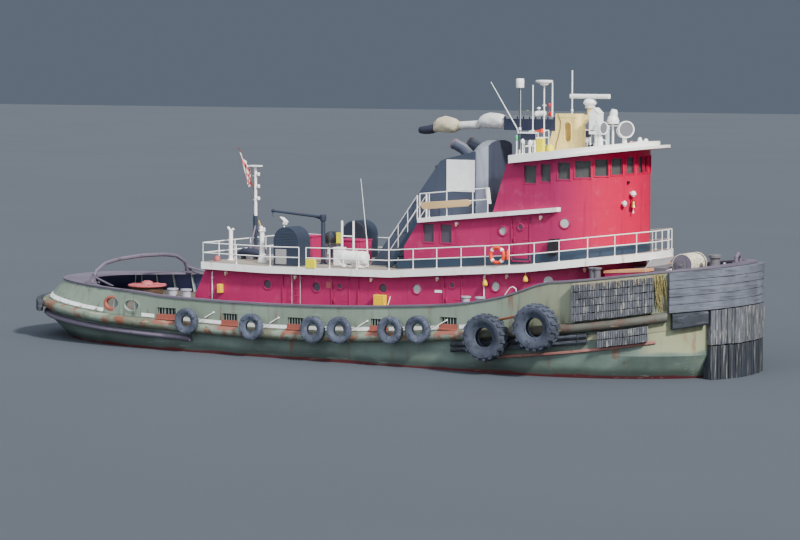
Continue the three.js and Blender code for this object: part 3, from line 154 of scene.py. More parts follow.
class Look:
    """One material under construction. Places are the rest frame's own, in metres."""

    def __init__(self, name):
        self.material = bpy.data.materials.new(name)
        self.material.use_nodes = True
        self.tree = self.material.node_tree
        self.tree.nodes.clear()
        self.shader = self.add("ShaderNodeBsdfPrincipled")
        out = self.add("ShaderNodeOutputMaterial")
        self.link(self.shader.outputs["BSDF"], out.inputs["Surface"])
        self.place = self.add("ShaderNodeTexCoord").outputs["Object"]

    def add(self, kind, **settings):
        node = self.tree.nodes.new(kind)
        for key, value in settings.items():
            setattr(node, key, value)
        return node

    def link(self, source, target):
        self.tree.links.new(source, target)

    def put(self, value, target):
        """A socket is linked, and anything else becomes the target's own value."""
        if isinstance(value, bpy.types.NodeSocket):
            self.link(value, target)
        elif isinstance(value, tuple) and len(value) == 3 and target.type == "RGBA":
            target.default_value = (*value, 1)
        else:
            target.default_value = value

    def stretched(self, stretch):
        mapping = self.add("ShaderNodeMapping")
        mapping.inputs["Scale"].default_value = stretch
        self.link(self.place, mapping.inputs["Vector"])
        return mapping.outputs["Vector"]

    def noise(self, scale, detail=4, stretch=(1, 1, 1), roughness=0.55):
        node = self.add("ShaderNodeTexNoise")
        node.inputs["Scale"].default_value = scale
        node.inputs["Detail"].default_value = detail
        node.inputs["Roughness"].default_value = roughness
        self.link(self.stretched(stretch), node.inputs["Vector"])
        return node.outputs["Fac"]

    def axis(self, letter):
        node = self.add("ShaderNodeSeparateXYZ")
        self.link(self.place, node.inputs["Vector"])
        return node.outputs[letter]

    def facing(self, letter):
        normal = self.add("ShaderNodeNewGeometry").outputs["Normal"]
        node = self.add("ShaderNodeSeparateXYZ")
        self.link(normal, node.inputs["Vector"])
        return node.outputs[letter]

    def math(self, operation, *values):
        node = self.add("ShaderNodeMath", operation=operation)
        for index, value in enumerate(values):
            self.put(value, node.inputs[index])
        return node.outputs["Value"]

    def times(self, first, second):
        return self.math("MULTIPLY", first, second)

    def times_plus(self, value, factor, more):
        return self.math("MULTIPLY_ADD", value, factor, more)

    def between(self, value, low, high):
        """0 below low and 1 above high, smooth between."""
        node = self.add("ShaderNodeMapRange", interpolation_type="SMOOTHSTEP")
        self.put(value, node.inputs["Value"])
        node.inputs["From Min"].default_value = low
        node.inputs["From Max"].default_value = high
        return node.outputs["Result"]

    def band(self, value, low, high, soft):
        return self.times(self.between(value, low - soft, low + soft),
                          self.between(value, high + soft, high - soft))

    def line(self, knots):
        """The height on a side line of (x, z) points, at the surface's own x."""
        low, high = knots[0][0], knots[-1][0]
        bottom = min(z for _, z in knots)
        top = max(z for _, z in knots)
        along = self.add("ShaderNodeMapRange")
        self.link(self.axis("X"), along.inputs["Value"])
        along.inputs["From Min"].default_value = low
        along.inputs["From Max"].default_value = high
        curve = self.add("ShaderNodeFloatCurve")
        points = curve.mapping.curves[0].points
        for index, (x, z) in enumerate(knots):
            place = ((x - low) / (high - low), (z - bottom) / (top - bottom))
            if index < 2:
                points[index].location = place
            else:
                points.new(*place)
        curve.mapping.update()
        self.link(along.outputs["Result"], curve.inputs["Value"])
        return self.times_plus(curve.outputs["Value"], top - bottom, bottom)

    def mix(self, under, over, share):
        node = self.add("ShaderNodeMix", data_type="RGBA")
        self.put(share, node.inputs["Factor"])
        self.put(under, node.inputs[6])
        self.put(over, node.inputs[7])
        return node.outputs[2]

    def clouded(self, colour, low, high, scale, detail=4, stretch=(1, 1, 1)):
        """The colour between two of its own strengths, in soft clouds."""
        cloud = self.between(self.noise(scale, detail, stretch), 0.3, 0.7)
        return self.mix(scaled(colour, low), scaled(colour, high), cloud)

    def marked(self, under, over, noise, low, high, share):
        """One colour over another where a noise is high, in part."""
        return self.mix(under, over, self.times(self.between(noise, low, high), share))

    def ripple(self, scale, fine, share):
        """Height of wide dents with some of a finer height."""
        return self.math("ADD", self.times(self.noise(scale, 2), 0.8), self.times(fine, share))

    def done(self, colour, roughness, metallic, height, depth):
        """Ends the material: a roughness, a metallic share and a height map of some depth."""
        self.put(colour, self.shader.inputs["Base Color"])
        self.put(roughness, self.shader.inputs["Roughness"])
        self.shader.inputs["Metallic"].default_value = metallic
        bump = self.add("ShaderNodeBump")
        bump.inputs["Strength"].default_value = 1.0
        bump.inputs["Distance"].default_value = depth
        self.link(height, bump.inputs["Height"])
        self.link(bump.outputs["Normal"], self.shader.inputs["Normal"])
        return self.material


# Materials
RUNS_DOWN = (1, 1, 0.14)         # stretch of a noise into marks that run down a wall


def weathered(name, colour, dirt=0.25, rust=0.12, roughness=0.5, fade=0.14, runs_from=0.55):
    """Painted plate: clouded fading, dirt that runs down, rust where the runs are thickest."""
    look = Look(name)
    runs = look.noise(3.2, 5, RUNS_DOWN)
    chips = look.noise(7.0, 6)
    tone = look.clouded(colour, 1 - fade, 1 + fade, 0.45)
    tone = look.marked(tone, DIRT, runs, runs_from, runs_from + 0.2, dirt)
    patches = look.between(look.noise(1.1, 5), 0.54, 0.66)
    spots = look.times(look.between(chips, 0.6, 0.68), patches)
    streaks = look.times(look.between(runs, 0.6, 0.72), patches)
    tone = look.mix(tone, RUST, look.times(look.math("MAXIMUM", spots, streaks), rust))
    rough = look.times_plus(chips, 0.25, roughness - 0.12)
    return look.done(tone, rough, 0.0, look.ripple(0.9, chips, 0.12), 0.02)


SHEER_KNOTS = [(-17.8, 1.70), (-16.4, 1.68), (-11.7, 1.37), (-9.2, 1.28), (-5.9, 1.18), (-2.8, 1.15),
               (1.3, 1.27), (5.7, 1.59), (10.1, 2.06), (13.0, 2.48), (16.2, 3.05)]


def hull_look():
    """Dark green plate, pale by the stem, with a wet edge and a red boot line at the water."""
    look = Look("hull_plate")
    height = look.axis("Z")
    tone = look.clouded(HULL_GREEN, 0.7, 1.25, 0.5, 5)
    edge = look.math("ADD", height, look.times(look.noise(0.5, 4), 0.5))
    light = look.times(look.between(look.axis("X"), 12.5, 13.1), look.between(edge, 1.22, 1.36))
    tone = look.mix(tone, HULL_LIGHT, light)
    patches = look.noise(0.7, 4, (1, 1, 2))
    tone = look.marked(tone, scaled(GREEN_GREY, 0.75), patches, 0.55, 0.62, 0.3)
    runs = look.between(look.noise(2.6, 5, (1, 1, 0.12)), 0.52, 0.66)
    rusty = look.times(runs, look.between(look.noise(0.9, 4), 0.44, 0.6))
    tone = look.mix(tone, scaled(RUST, 0.8), look.times(rusty, 0.6))
    wavy = look.math("ADD", height, look.times(look.noise(0.6, 3), 0.25))
    wet = look.between(wavy, 0.62, 0.30)
    tone = look.mix(tone, scaled(HULL_GREEN, 0.35), look.times(wet, 0.8))
    tone = look.mix(tone, BOOT_RED, look.between(wavy, 0.27, 0.20))
    tone = look.mix(tone, BOTTOM_RED, look.between(height, -0.05, -0.15))
    scrapes = look.noise(3.0, 5, (0.25, 1, 3))
    tone = look.marked(tone, scaled(GREEN_GREY, 1.2), scrapes, 0.62, 0.68, 0.4)
    rough = look.math("SUBTRACT", 0.72, look.times(wet, 0.35))
    dents = look.math("ADD", look.noise(0.7, 2), look.times(look.noise(6.0, 6), 0.15))
    return look.done(tone, rough, 0.0, dents, 0.03)


def bulwark_look():
    """Grey-green plate with worn edges, olive near the bow, navy inside."""
    look = Look("bulwark_plate")
    along = look.axis("X")
    runs = look.noise(3.4, 5, (1, 1, 0.15))
    tone = look.clouded(GREEN_GREY, 0.86, 1.1, 0.4, 5)
    tone = look.mix(tone, OLIVE, look.times(look.between(along, 6.5, 9.5), 0.6))
    over_deck = look.math("SUBTRACT", look.axis("Z"), look.line(SHEER_KNOTS))
    foot = look.between(over_deck, 0.5, 0.05)
    grime = look.times(look.between(runs, 0.48, 0.66), look.times_plus(foot, 0.5, 0.15))
    tone = look.mix(tone, DIRT, grime)
    rusty = look.times(look.between(runs, 0.55, 0.7), look.between(look.noise(1.2, 5), 0.46, 0.62))
    tone = look.mix(tone, RUST, look.times(rusty, 0.7))
    scrapes = look.noise(2.0, 5, (0.3, 1, 2.5))
    tone = look.marked(tone, scaled(GREEN_GREY, 1.3), scrapes, 0.62, 0.70, 0.35)
    stern_way = look.math("MINIMUM", look.math("ADD", along, 10.0), 0.0)
    bow_way = look.math("MAXIMUM", look.math("SUBTRACT", along, 8.0), 0.0)
    lengthwise = look.times(look.facing("X"), look.math("ADD", stern_way, bow_way))
    outward = look.math("ADD", look.times(look.facing("Y"), look.axis("Y")), lengthwise)
    tone = look.mix(tone, BULWARK_INSIDE, look.between(outward, -0.2, -0.6))
    return look.done(tone, 0.62, 0.0, look.ripple(1.0, look.noise(8.0, 6), 0.12), 0.025)


def guard_look():
    """Half-round guard: worn green over rust, darker brown forward (partly bare steel, partly painted shade
    behind the large tyres), primer under the freeing ports.
    """
    look = Look("guard_plate")
    along = look.axis("X")
    patches = look.between(look.noise(0.9, 5, (1, 1, 2)), 0.42, 0.58)
    tone = look.mix(GUARD_GREEN, scaled(GREEN_GREY, 0.9), patches)
    tone = look.marked(tone, RUST, look.noise(1.6, 5, (1, 1, 0.6)), 0.50, 0.60, 0.8)
    # Darker brown from x 4.5 to 9: partly bare steel, partly painted shade behind the large tyres.
    tone = look.mix(tone, BROWN_STEEL_AND_SHADE, look.times(look.between(along, 4.5, 9.0), 0.8))
    up = look.between(look.facing("Z"), 0.1, 0.5)
    for x, half in FREEING_PORTS:
        reach = look.math("ABSOLUTE", look.math("SUBTRACT", along, x))
        patch = look.times(look.between(reach, half + 0.12, half), up)
        tone = look.mix(tone, scaled(SALMON, 0.9), look.times(patch, 0.85))
    tone = look.marked(tone, SALT_PALE, look.noise(2.4, 5, (0.4, 1, 2)), 0.60, 0.66, 0.6)
    tone = look.marked(tone, DIRT, look.noise(3.5, 5), 0.60, 0.70, 0.6)
    return look.done(tone, 0.72, 0.0, look.noise(5.0, 6), 0.02)


def rubber_look(name, colour, streak, streak_share, stretch, roughness=0.85):
    """Scuffed rubber with pale streaks that follow its strips."""
    look = Look(name)
    tone = look.clouded(colour, 0.7, 1.25, 1.2, 5)
    pale = look.between(look.noise(5.0, 5, stretch), 0.52, 0.68)
    tone = look.mix(tone, streak, look.times(pale, streak_share))
    tone = look.marked(tone, scaled(colour, 0.3), look.noise(6.5, 5, stretch), 0.56, 0.66, 0.8)
    height = look.math("ADD", look.times(look.noise(30.0, 4), 0.4), look.times(pale, 0.3))
    return look.done(tone, roughness, 0.0, height, 0.012)


def walked_tone(look, colour, grit):
    """A colour with rusty stains and dirt in its grit."""
    tone = look.clouded(colour, 0.78, 1.1, 0.8, 5)
    tone = look.marked(tone, scaled(RUST, 0.9), look.noise(1.7, 5), 0.58, 0.72, 0.45)
    return look.marked(tone, DIRT, grit, 0.55, 0.7, 0.35)


def main_deck_look():
    """Worn tan plate; what stands on it, such as bitts and winch cheeks, is pale steel with rusty feet."""
    look = Look("worn_deck")
    grit = look.noise(60.0, 3)
    tone = walked_tone(look, scaled(DECK_TAN, 0.4), grit)
    over_deck = look.math("SUBTRACT", look.axis("Z"), look.line(SHEER_KNOTS))
    dull, bright, forward = FITTING_STEEL
    steel = look.mix(dull, bright, look.noise(5.0, 4))
    steel = look.marked(steel, scaled(RUST, 1.1), look.noise(6.0, 5), 0.60, 0.70, 0.5)
    steel = look.mix(steel, forward, look.between(look.axis("X"), 8.0, 10.0))
    steel = look.mix(scaled(RUST, 0.9), steel, look.between(over_deck, 0.30, 0.62))
    tone = look.mix(tone, steel, look.between(over_deck, 0.13, 0.16))
    return look.done(tone, 0.7, 0.0, grit, 0.004)


def tarpaulin_look():
    look = Look("tarpaulin")
    grit = look.noise(60.0, 3)
    return look.done(walked_tone(look, TARP, grit), 0.88, 0.0, grit, 0.004)


def boat_deck_look():
    """White fascia with dirty runs, and a tan-grey walked top."""
    look = Look("boat_deck_plate")
    runs = look.noise(4.0, 5, (1, 1, 0.2))
    white = look.clouded(WHITE, 0.92, 1.0, 0.8)
    white = look.marked(white, TAN, runs, 0.52, 0.7, 0.30)
    white = look.marked(white, RUST, runs, 0.64, 0.72, 0.45)
    grit = look.noise(50.0, 3)
    top = look.mix(scaled(DECK_TAN, 0.85), scaled(DECK_TAN, 1.1), look.noise(0.9, 5))
    top = look.marked(top, DIRT, grit, 0.55, 0.7, 0.3)
    up = look.between(look.facing("Z"), 0.9, 0.96)
    return look.done(look.mix(white, top, up), 0.6, 0.0, grit, 0.002)


PLATE_WIDTH = 1.22


def house_look(name, painted_sunlit_front):
    """Maroon house paint with faint plate seams, salt runs and some chalking; when asked, the round front
    from x 8.4 forward blends into a redder maroon of painted sunlight.
    """
    look = Look(name)
    tone = look.clouded(MAROON, 0.92, 1.1, 0.35)
    if painted_sunlit_front:
        # Painted sunlight: from x 8.4 to 10.4 the maroon blends to the brighter, redder one.
        tone = look.mix(tone, MAROON_PAINTED_SUNLIT, look.between(look.axis("X"), 8.4, 10.4))
    runs = look.noise(3.6, 5, (1, 1, 0.1))
    tone = look.marked(tone, scaled(MAROON, 0.55), runs, 0.54, 0.7, 0.35)
    tone = look.marked(tone, CHALK, look.noise(2.2, 6), 0.56, 0.7, 0.22)
    seam = look.between(look.math("PINGPONG", look.axis("X"), PLATE_WIDTH), 0.010, 0.0)
    tone = look.mix(tone, scaled(MAROON, 0.7), look.times(seam, 0.3))
    look.shader.inputs["Specular IOR Level"].default_value = 0.25
    return look.done(tone, 0.5, 0.0, look.ripple(1.1, seam, -0.2), 0.02)


def stack_look():
    """Blue-black casing with a pale band of painted highlight on its rounded forward corner, painted shade on
    the upright faces of its forward part and painted light on the crown's upward faces.
    """
    look = Look("stack_plate")
    along = look.axis("X")
    tone = look.mix(scaled(STACK_BLUE, 0.8), scaled(STACK_BLUE, 1.2), look.noise(0.7, 5))
    # Painted highlight: a pale band over the rounded forward corner, from x 4.24 to 4.62.
    tone = look.mix(tone, STACK_PAINTED_HIGHLIGHT, look.band(along, 4.24, 4.62, 0.01))
    upright = look.between(look.facing("Z"), 0.75, 0.55)
    # Painted shade: upright faces forward of x 4.64 are darkened almost to black.
    forward = look.times(look.between(along, 4.64, 4.70), upright)
    tone = look.mix(tone, scaled(STACK_BLUE, 0.22), forward)
    # Painted light from above: faces that turn upward blend to a lighter grey.
    tone = look.marked(tone, CROWN_PAINTED_TOPLIGHT, look.facing("Z"), 0.55, 0.8, 0.7)
    tone = look.marked(tone, DIRT, look.noise(3.0, 5, (1, 1, 0.12)), 0.54, 0.7, 0.4)
    return look.done(tone, 0.55, 0.0, look.noise(1.2, 3), 0.02)


def housing_look():
    """Buff housing with painted shade on its inner faces, a navy beam behind it and a white whip."""
    look = Look("mast_housing_paint")
    height = look.axis("Z")
    across = look.axis("Y")
    tone = look.clouded(BUFF, 0.94, 1.05, 0.8)
    tone = look.marked(tone, scaled(RUST, 1.2), look.noise(4.0, 5, (1, 1, 0.15)), 0.56, 0.70, 0.25)
    # Painted shade: faces that look in towards the middle line, as inside the opening, are darkened to navy.
    inward = look.between(look.times(look.facing("Y"), across), -0.05, -0.15)
    tone = look.mix(tone, scaled(NAVY, 0.6), inward)
    beam = look.times(look.between(look.axis("X"), 7.235, 7.225), look.between(height, 8.96, 8.98))
    tone = look.mix(tone, scaled(NAVY, 1.4), beam)
    whip = look.times(look.between(across, 0.31, 0.33), look.between(height, 9.44, 9.46))
    tone = look.mix(tone, WHITE, whip)
    return look.done(tone, 0.5, 0.0, look.noise(9.0, 4), 0.004)


def roof_look():
    """White roof and fittings with dirty runs; the after pole to starboard is blue-grey."""
    look = Look("roof_paint")
    tone = look.clouded(WHITE, 0.95, 1.0, 0.8)
    tone = look.marked(tone, RUST, look.noise(4.0, 5, (1, 1, 0.2)), 0.64, 0.74, 0.3)
    tone = look.marked(tone, DIRT, look.noise(5.0, 5), 0.60, 0.72, 0.15)
    poles = look.times(look.between(look.axis("Z"), 8.28, 8.32), look.between(look.axis("X"), 6.80, 6.78))
    poles = look.times(poles, look.between(look.axis("Y"), -2.15, -2.17))
    tone = look.mix(tone, scaled(STACK_BLUE, 1.1), poles)
    return look.done(tone, 0.45, 0.0, look.noise(9.0, 4), 0.003)


def canvas_look(name, colour):
    """Canvas: weave, soft blotches and darker streaks."""
    look = Look(name)
    tone = look.clouded(colour, 0.82, 1.08, 2.2, 5)
    # Darker streaks of the cloth's own colour, from stretched noise.
    dark_streaks = look.noise(5.0, 5, (1, 0.4, 0.4))
    tone = look.marked(tone, scaled(colour, 0.5), dark_streaks, 0.60, 0.68, 0.5)
    return look.done(tone, 0.9, 0.0, look.noise(90.0, 2), 0.003)


def glass_look():
    look = Look("tinted_glass")
    tone = look.mix(scaled(GLASS_DARK, 0.6), scaled(GLASS_DARK, 1.4), look.noise(1.4, 3))
    look.done(tone, 0.06, 0.0, look.noise(2.0, 2), 0.002)
    look.shader.inputs["Alpha"].default_value = 0.72
    return look.material


def plain_gloss(name, colour, roughness=0.3, metallic=0.0):
    """Small fittings: slight clouding and fine pitting."""
    look = Look(name)
    tone = look.mix(scaled(colour, 0.85), scaled(colour, 1.1), look.noise(3.0, 4))
    tone = look.marked(tone, scaled(colour, 0.45), look.noise(14.0, 5), 0.58, 0.7, 0.5)
    return look.done(tone, roughness, metallic, look.noise(20.0, 3), 0.003)


def rope_look(name, colour):
    look = Look(name)
    strands = look.noise(26.0, 4, (1, 0.35, 1))
    tone = look.mix(scaled(colour, 0.5), scaled(colour, 1.25), look.between(strands, 0.35, 0.65))
    return look.done(tone, 0.92, 0.0, strands, 0.02)


FLAG_WHITE, FLAG_RED, FLAG_BLUE = srgb(226, 222, 220), srgb(196, 70, 82), srgb(60, 66, 104)


def flag_look():
    """Stripes along the cloth's own length and a dark corner by the hoist."""
    look = Look("flag_stripes")
    height = look.axis("Z")
    drop = look.math("ADD", look.axis("X"), look.times(height, 0.42))
    stripe = look.between(look.math("PINGPONG", drop, 0.05), 0.022, 0.028)
    cloth = look.mix(FLAG_WHITE, FLAG_RED, stripe)
    canton = look.times(look.between(height, 7.46, 7.5), look.between(drop, -4.50, -4.52))
    cloth = look.mix(cloth, FLAG_BLUE, canton)
    cloth = look.mix(cloth, scaled(TAN, 0.7), look.times(look.noise(4.0, 4), 0.25))
    return look.done(cloth, 0.9, 0.0, look.noise(120.0, 2), 0.002)


def floor_look():
    look = Look("studio_floor")
    tone = look.mix(srgb(66, 72, 80), srgb(74, 80, 88), look.noise(0.05, 3))
    return look.done(tone, 0.9, 0.0, look.noise(0.6, 2), 0.002)


def make_looks():
    return {
        "hull": hull_look(),
        "bulwark": bulwark_look(),
        "guard": guard_look(),
        "deck": main_deck_look(),
        "boat_deck": boat_deck_look(),
        "house": house_look("maroon_house", False),
        # Maroon with painted sunlight on the round front.
        "sunny_house": house_look("maroon_front_painted_sunlit", True),
        "white": weathered("white_paint_worn", WHITE, 0.22, 0.35, 0.45, 0.05, 0.56),
        "clean_white": plain_gloss("white_moulding", WHITE, 0.35),
        "stack": stack_look(),
        "dark_blue": weathered("dark_blue_paint", srgb(40, 50, 66), 0.3, 0.25, 0.55),
        "navy": weathered("navy_paint", NAVY, 0.3, 0.25, 0.6),
        "olive_plate": weathered("olive_plate", OLIVE, 0.4, 0.6, 0.65),
        "pink_rust": weathered("pink_rust_bar", srgb(146, 100, 92), 0.5, 0.5, 0.75),
        "mauve": weathered("mauve_paint_worn", MAUVE, 0.4, 0.4, 0.6),
        "buff": weathered("buff_paint_worn", BUFF, 0.25, 0.4, 0.5, 0.08),
        "red": weathered("red_paint_worn", RED, 0.35, 0.3, 0.6),
        "salmon": weathered("primer_patches", SALMON, 0.4, 0.8, 0.8),
        "rusty": weathered("rusty_steel", scaled(RUST, 0.9), 0.5, 0.6, 0.85, 0.3),
        "stripe": weathered("white_stripe", WHITE, 0.25, 0.5, 0.55, 0.05, 0.5),
        "green": weathered("green_fittings", GREEN_GREY, 0.35, 0.4, 0.6),
        "yellow": plain_gloss("yellow_paint", YELLOW, 0.45),
        "orange": plain_gloss("orange_ring", ORANGE, 0.5),
        "green_lamp": plain_gloss("green_lamp", srgb(60, 190, 120), 0.25),
        "red_lamp": plain_gloss("red_lamp", srgb(210, 40, 40), 0.25),
        "tan": plain_gloss("tan_paint", TAN, 0.5),
        "ash": plain_gloss("pale_grey_paint", srgb(156, 152, 150), 0.5),
        "lime": plain_gloss("lime_box", srgb(236, 222, 0), 0.5),
        "steel": plain_gloss("bright_steel", STEEL, 0.35, 0.7),
        "soot": weathered("sooty_steel", srgb(100, 84, 92), 0.5, 0.4, 0.8),
        "black": plain_gloss("black_fittings", srgb(30, 30, 34), 0.5),
        "glass": glass_look(),
        "pane": plain_gloss("dark_pane", srgb(84, 76, 86), 0.1),
        "straw": rope_look("straw_rope", srgb(142, 130, 82)),
        "salmon_top": weathered("orange_tan_lid", srgb(214, 150, 104), 0.3, 0.3, 0.6),
        "bead": plain_gloss("window_bead", srgb(96, 62, 76), 0.4),
        "pale_pane": plain_gloss("pale_pane", srgb(176, 182, 178), 0.25),
        "warm_lens": plain_gloss("warm_lamp_lens", srgb(236, 196, 150), 0.2),
        "kick": weathered("kick_band", srgb(40, 58, 76), 0.35, 0.2, 0.55),
        "rail": weathered("rail_paint", WHITE, 0.25, 0.35, 0.45, 0.04),
        "board": weathered("blank_board", srgb(212, 176, 124), 0.3, 0.2, 0.6),
        "lens": plain_gloss("lamp_lens", srgb(116, 116, 120), 0.12),
        "tyre": rubber_look("tyre_rubber_worn", TYRE_BLUE, RUBBER_GREY, 0.4, (1, 1, 1)),
        "big_tyre": rubber_look("large_tyre_rubber", scaled(TYRE_BLUE, 0.7), TYRE_BLUE, 0.5, (1, 1, 1)),
        "layers": rubber_look("laminated_rubber", srgb(90, 94, 104), srgb(122, 124, 132), 0.4,
                              (0.15, 0.15, 3)),
        "strips": rubber_look("strip_rubber", srgb(80, 82, 88), srgb(168, 166, 156), 0.6, (3, 3, 0.4)),
        "wet_strips": rubber_look("wet_rubber", scaled(RUBBER_DARK, 0.8), srgb(146, 146, 142), 0.6,
                                  (2, 2, 0.12), 0.5),
        "dark_rubber": rubber_look("dark_rubber", RUBBER_DARK, RUBBER_GREY, 0.3, (0.3, 0.3, 2)),
        "rope": rope_look("pale_rope", ROPE_TAN),
        "cream_rope": rope_look("cream_rope", srgb(214, 206, 184)),
        "brown_rope": rope_look("brown_rope", ROPE_BROWN),
        "tarp": tarpaulin_look(),
        "housing": housing_look(),
        "roof": roof_look(),
        "pale_canvas": canvas_look("pale_canvas", srgb(212, 210, 206)),
        "tan_canvas": canvas_look("tan_canvas", srgb(192, 182, 154)),
        "pale_green": plain_gloss("pale_green_paint", srgb(186, 202, 198), 0.4),
        "bronze": plain_gloss("cast_bronze", BRONZE, 0.3, 0.9),
        "flag": flag_look(),
        "floor": floor_look(),
    }


# Shapes
UP = (0, 0, 1)
AHEAD = (1, 0, 0)
ASTERN = (-1, 0, 0)
TO_PORT = (0, 1, 0)
BOX_LOOPS = [(0, 1, 3, 2), (4, 6, 7, 5), (0, 4, 5, 1), (2, 3, 7, 6), (0, 2, 6, 4), (1, 5, 7, 3)]


def mirrored(half):
    """A profile of (out, rise) with its upper half's mirror image below."""
    return half + [(out, -rise) for out, rise in reversed(half) if rise]


def half_turn(count, start=0.0):
    """The angles of half a turn in even steps, both ends included."""
    return [start + math.pi * index / count for index in range(count + 1)]


def circle(centre, radius, count):
    """Points of a level circle in even steps."""
    x, y, z = centre
    return [(x + radius * math.cos(t), y + radius * math.sin(t), z) for t in full_turn(count)]


def full_turn(count):
    """The angles of a full turn in even steps."""
    return [2 * math.pi * index / count for index in range(count)]


def lifted(height):
    return Vector((0, 0, height))


class Shape:
    """Mesh parts of one piece, in place."""

    def __init__(self):
        self.mesh = bmesh.new()

    def faces(self, points, loops):
        corners = [self.mesh.verts.new(point) for point in points]
        for loop in loops:
            self.mesh.faces.new([corners[index] for index in loop])

    def skin(self, rings):
        """Rings of equal length joined in order, with open ends; gives their corners."""
        rows = [[self.mesh.verts.new(point) for point in ring] for ring in rings]
        for near, far in zip(rows, rows[1:]):
            self.join(near, far)
        return rows

    def join(self, near, far):
        count = len(near)
        for index in range(count):
            after = (index + 1) % count
            self.mesh.faces.new((near[index], near[after], far[after], far[index]))

    def loft(self, rings, closed=False):
        """Rings joined in order; the last meets the first or both ends are capped."""
        rows = self.skin(rings)
        if closed:
            self.join(rows[-1], rows[0])
        else:
            self.mesh.faces.new(list(reversed(rows[0])))
            self.mesh.faces.new(rows[-1])

    def tube(self, path, radius, sides=8, closed=False):
        """A round bar along the path; radius may be a list, one value a point."""
        points = [Vector(point) for point in path]
        count = len(points)
        radii = radius if isinstance(radius, list) else [radius] * count
        first = (points[1] - points[0]).normalized()
        hint = Vector(UP) if abs(first.z) < 0.9 else Vector(AHEAD)
        side = first.cross(hint).normalized()
        rings = []
        for index, point in enumerate(points):
            before = points[index - 1] if index or closed else point
            after = points[(index + 1) % count] if index < count - 1 or closed else point
            into = (point - before).normalized()
            out = (after - point).normalized()
            ahead = (into + out).normalized()
            side = (side - ahead * side.dot(ahead)).normalized()
            up = ahead.cross(side)
            stretch = 1 / max(0.5, ahead.dot(into)) if into.length and out.length else 1
            ring = []
            for step in range(sides):
                turn = 2 * math.pi * step / sides
                offset = side * math.cos(turn) * radii[index] * stretch
                ring.append(point + offset + up * math.sin(turn) * radii[index])
            rings.append(ring)
        self.loft(rings, closed)

    def box(self, low, high, turn=None, about=None):
        """A box between two corners, turned by a matrix about a point."""
        points = [Vector((x, y, z)) for x in (low[0], high[0]) for y in (low[1], high[1])
                  for z in (low[2], high[2])]
        if turn is not None:
            centre = Vector(about)
            points = [centre + turn @ (point - centre) for point in points]
        self.faces(points, BOX_LOOPS)

    def side_box(self, side, along, out, up):
        """A box on one side of the boat: two x, two distances from the middle and two z."""
        near, far = sorted((side * out[0], side * out[1]))
        self.box((along[0], near, up[0]), (along[1], far, up[1]))

    def turned(self, profile, centre, axis=UP, steps=32):
        """An open profile of (radius, height) turned about an axis, closed at its ends."""
        spin = Vector(UP).rotation_difference(Vector(axis)).to_matrix()
        centre = Vector(centre)
        rings = []
        for radius, height in profile:
            rings.append([centre + spin @ Vector((radius * math.cos(t), radius * math.sin(t), height))
                          for t in full_turn(steps)])
        self.loft(rings)

    def ring(self, profile, centre, axis=UP, steps=32):
        """A closed profile of (radius, height) turned about an axis."""
        spin = Vector(UP).rotation_difference(Vector(axis)).to_matrix()
        centre = Vector(centre)
        rings = []
        for t in full_turn(steps):
            around = Vector((math.cos(t), math.sin(t), 0))
            rings.append([centre + spin @ (around * r + Vector((0, 0, h))) for r, h in profile])
        self.loft(rings, closed=True)

    def eye(self, place, radius, wire, steps):
        """A round eye of bar that faces along the boat."""
        self.ring([(radius + wire * math.cos(t), wire * math.sin(t)) for t in full_turn(4)],
                  place, AHEAD, steps)

    def slab(self, outline, offset):
        """A flat outline raised by an offset vector."""
        near = [Vector(point) for point in outline]
        far = [point + Vector(offset) for point in near]
        self.loft([near, far])

    def piece(self, name, material, body="vessel", bevel=0.0, sharp=38, slot=None, thick=0.0):
        """Ends the piece: normals out, edges sharp past the angle, riding on its body."""
        bmesh.ops.recalc_face_normals(self.mesh, faces=self.mesh.faces)
        limit = math.radians(sharp)
        for face in self.mesh.faces:
            face.smooth = True
        for edge in self.mesh.edges:
            edge.smooth = edge.is_manifold and edge.calc_face_angle(0) < limit
        data = bpy.data.meshes.new(name)
        self.mesh.to_mesh(data)
        self.mesh.free()
        thing = bpy.data.objects.new(name, data)
        bpy.context.scene.collection.objects.link(thing)
        data.materials.append(material)
        if thick:
            skin = thing.modifiers.new("thickness", "SOLIDIFY")
            skin.thickness = thick
            skin.offset = 0
        if bevel:
            soft = thing.modifiers.new("soft_edges", "BEVEL")
            soft.width = bevel
            soft.segments = 2
            soft.limit_method = "ANGLE"
            soft.angle_limit = limit
        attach(thing, body)
        return thing


# Side lines and the deck edge, as the frame has them
CAP_KNOTS = [(-17.8, 2.43), (-16.08, 2.40), (-12.09, 2.32), (-9.77, 2.27), (-8.2, 2.15), (-4.0, 2.08),
             (0, 2.15), (2.97, 2.31), (5.19, 2.48), (6.63, 2.71), (7.72, 2.96), (9.12, 3.45),
             (10.1, 3.56), (11.2, 3.69), (12.88, 3.90), (13.64, 3.99), (16.2, 4.23)]
BOAT_DECK_LINE = [(-7.9, 3.545), (-4.25, 3.49), (1.6, 3.57), (7.44, 4.01), (10.47, 4.38), (12.3, 4.56)]
BRIDGE_LINE = [(1.8, 5.505), (2.54, 5.58), (8.61, 6.18), (11.6, 6.475)]
ROOF_LINE = [(5.8, 8.02), (8.5, 8.31), (12.2, 8.76)]
HULL_AFT = -16.85
HULL_FWD = 15.15
HALF_BEAM = 4.7
AFT_LENGTH, AFT_POWER = 8.5, 2.4
FWD_LENGTH, FWD_POWER = 6.75, 2.2
ARC_STEPS = 12
SIDE_STEPS = 6
HOUSE_HALF = 3.1
UPPER_HALF = 2.6
UPPER_FRONT = 8.27


def on_line(knots, x):
    for (x0, z0), (x1, z1) in zip(knots, knots[1:]):
        if x <= x1:
            return z0 + (z1 - z0) * (x - x0) / (x1 - x0)
    return knots[-1][1]


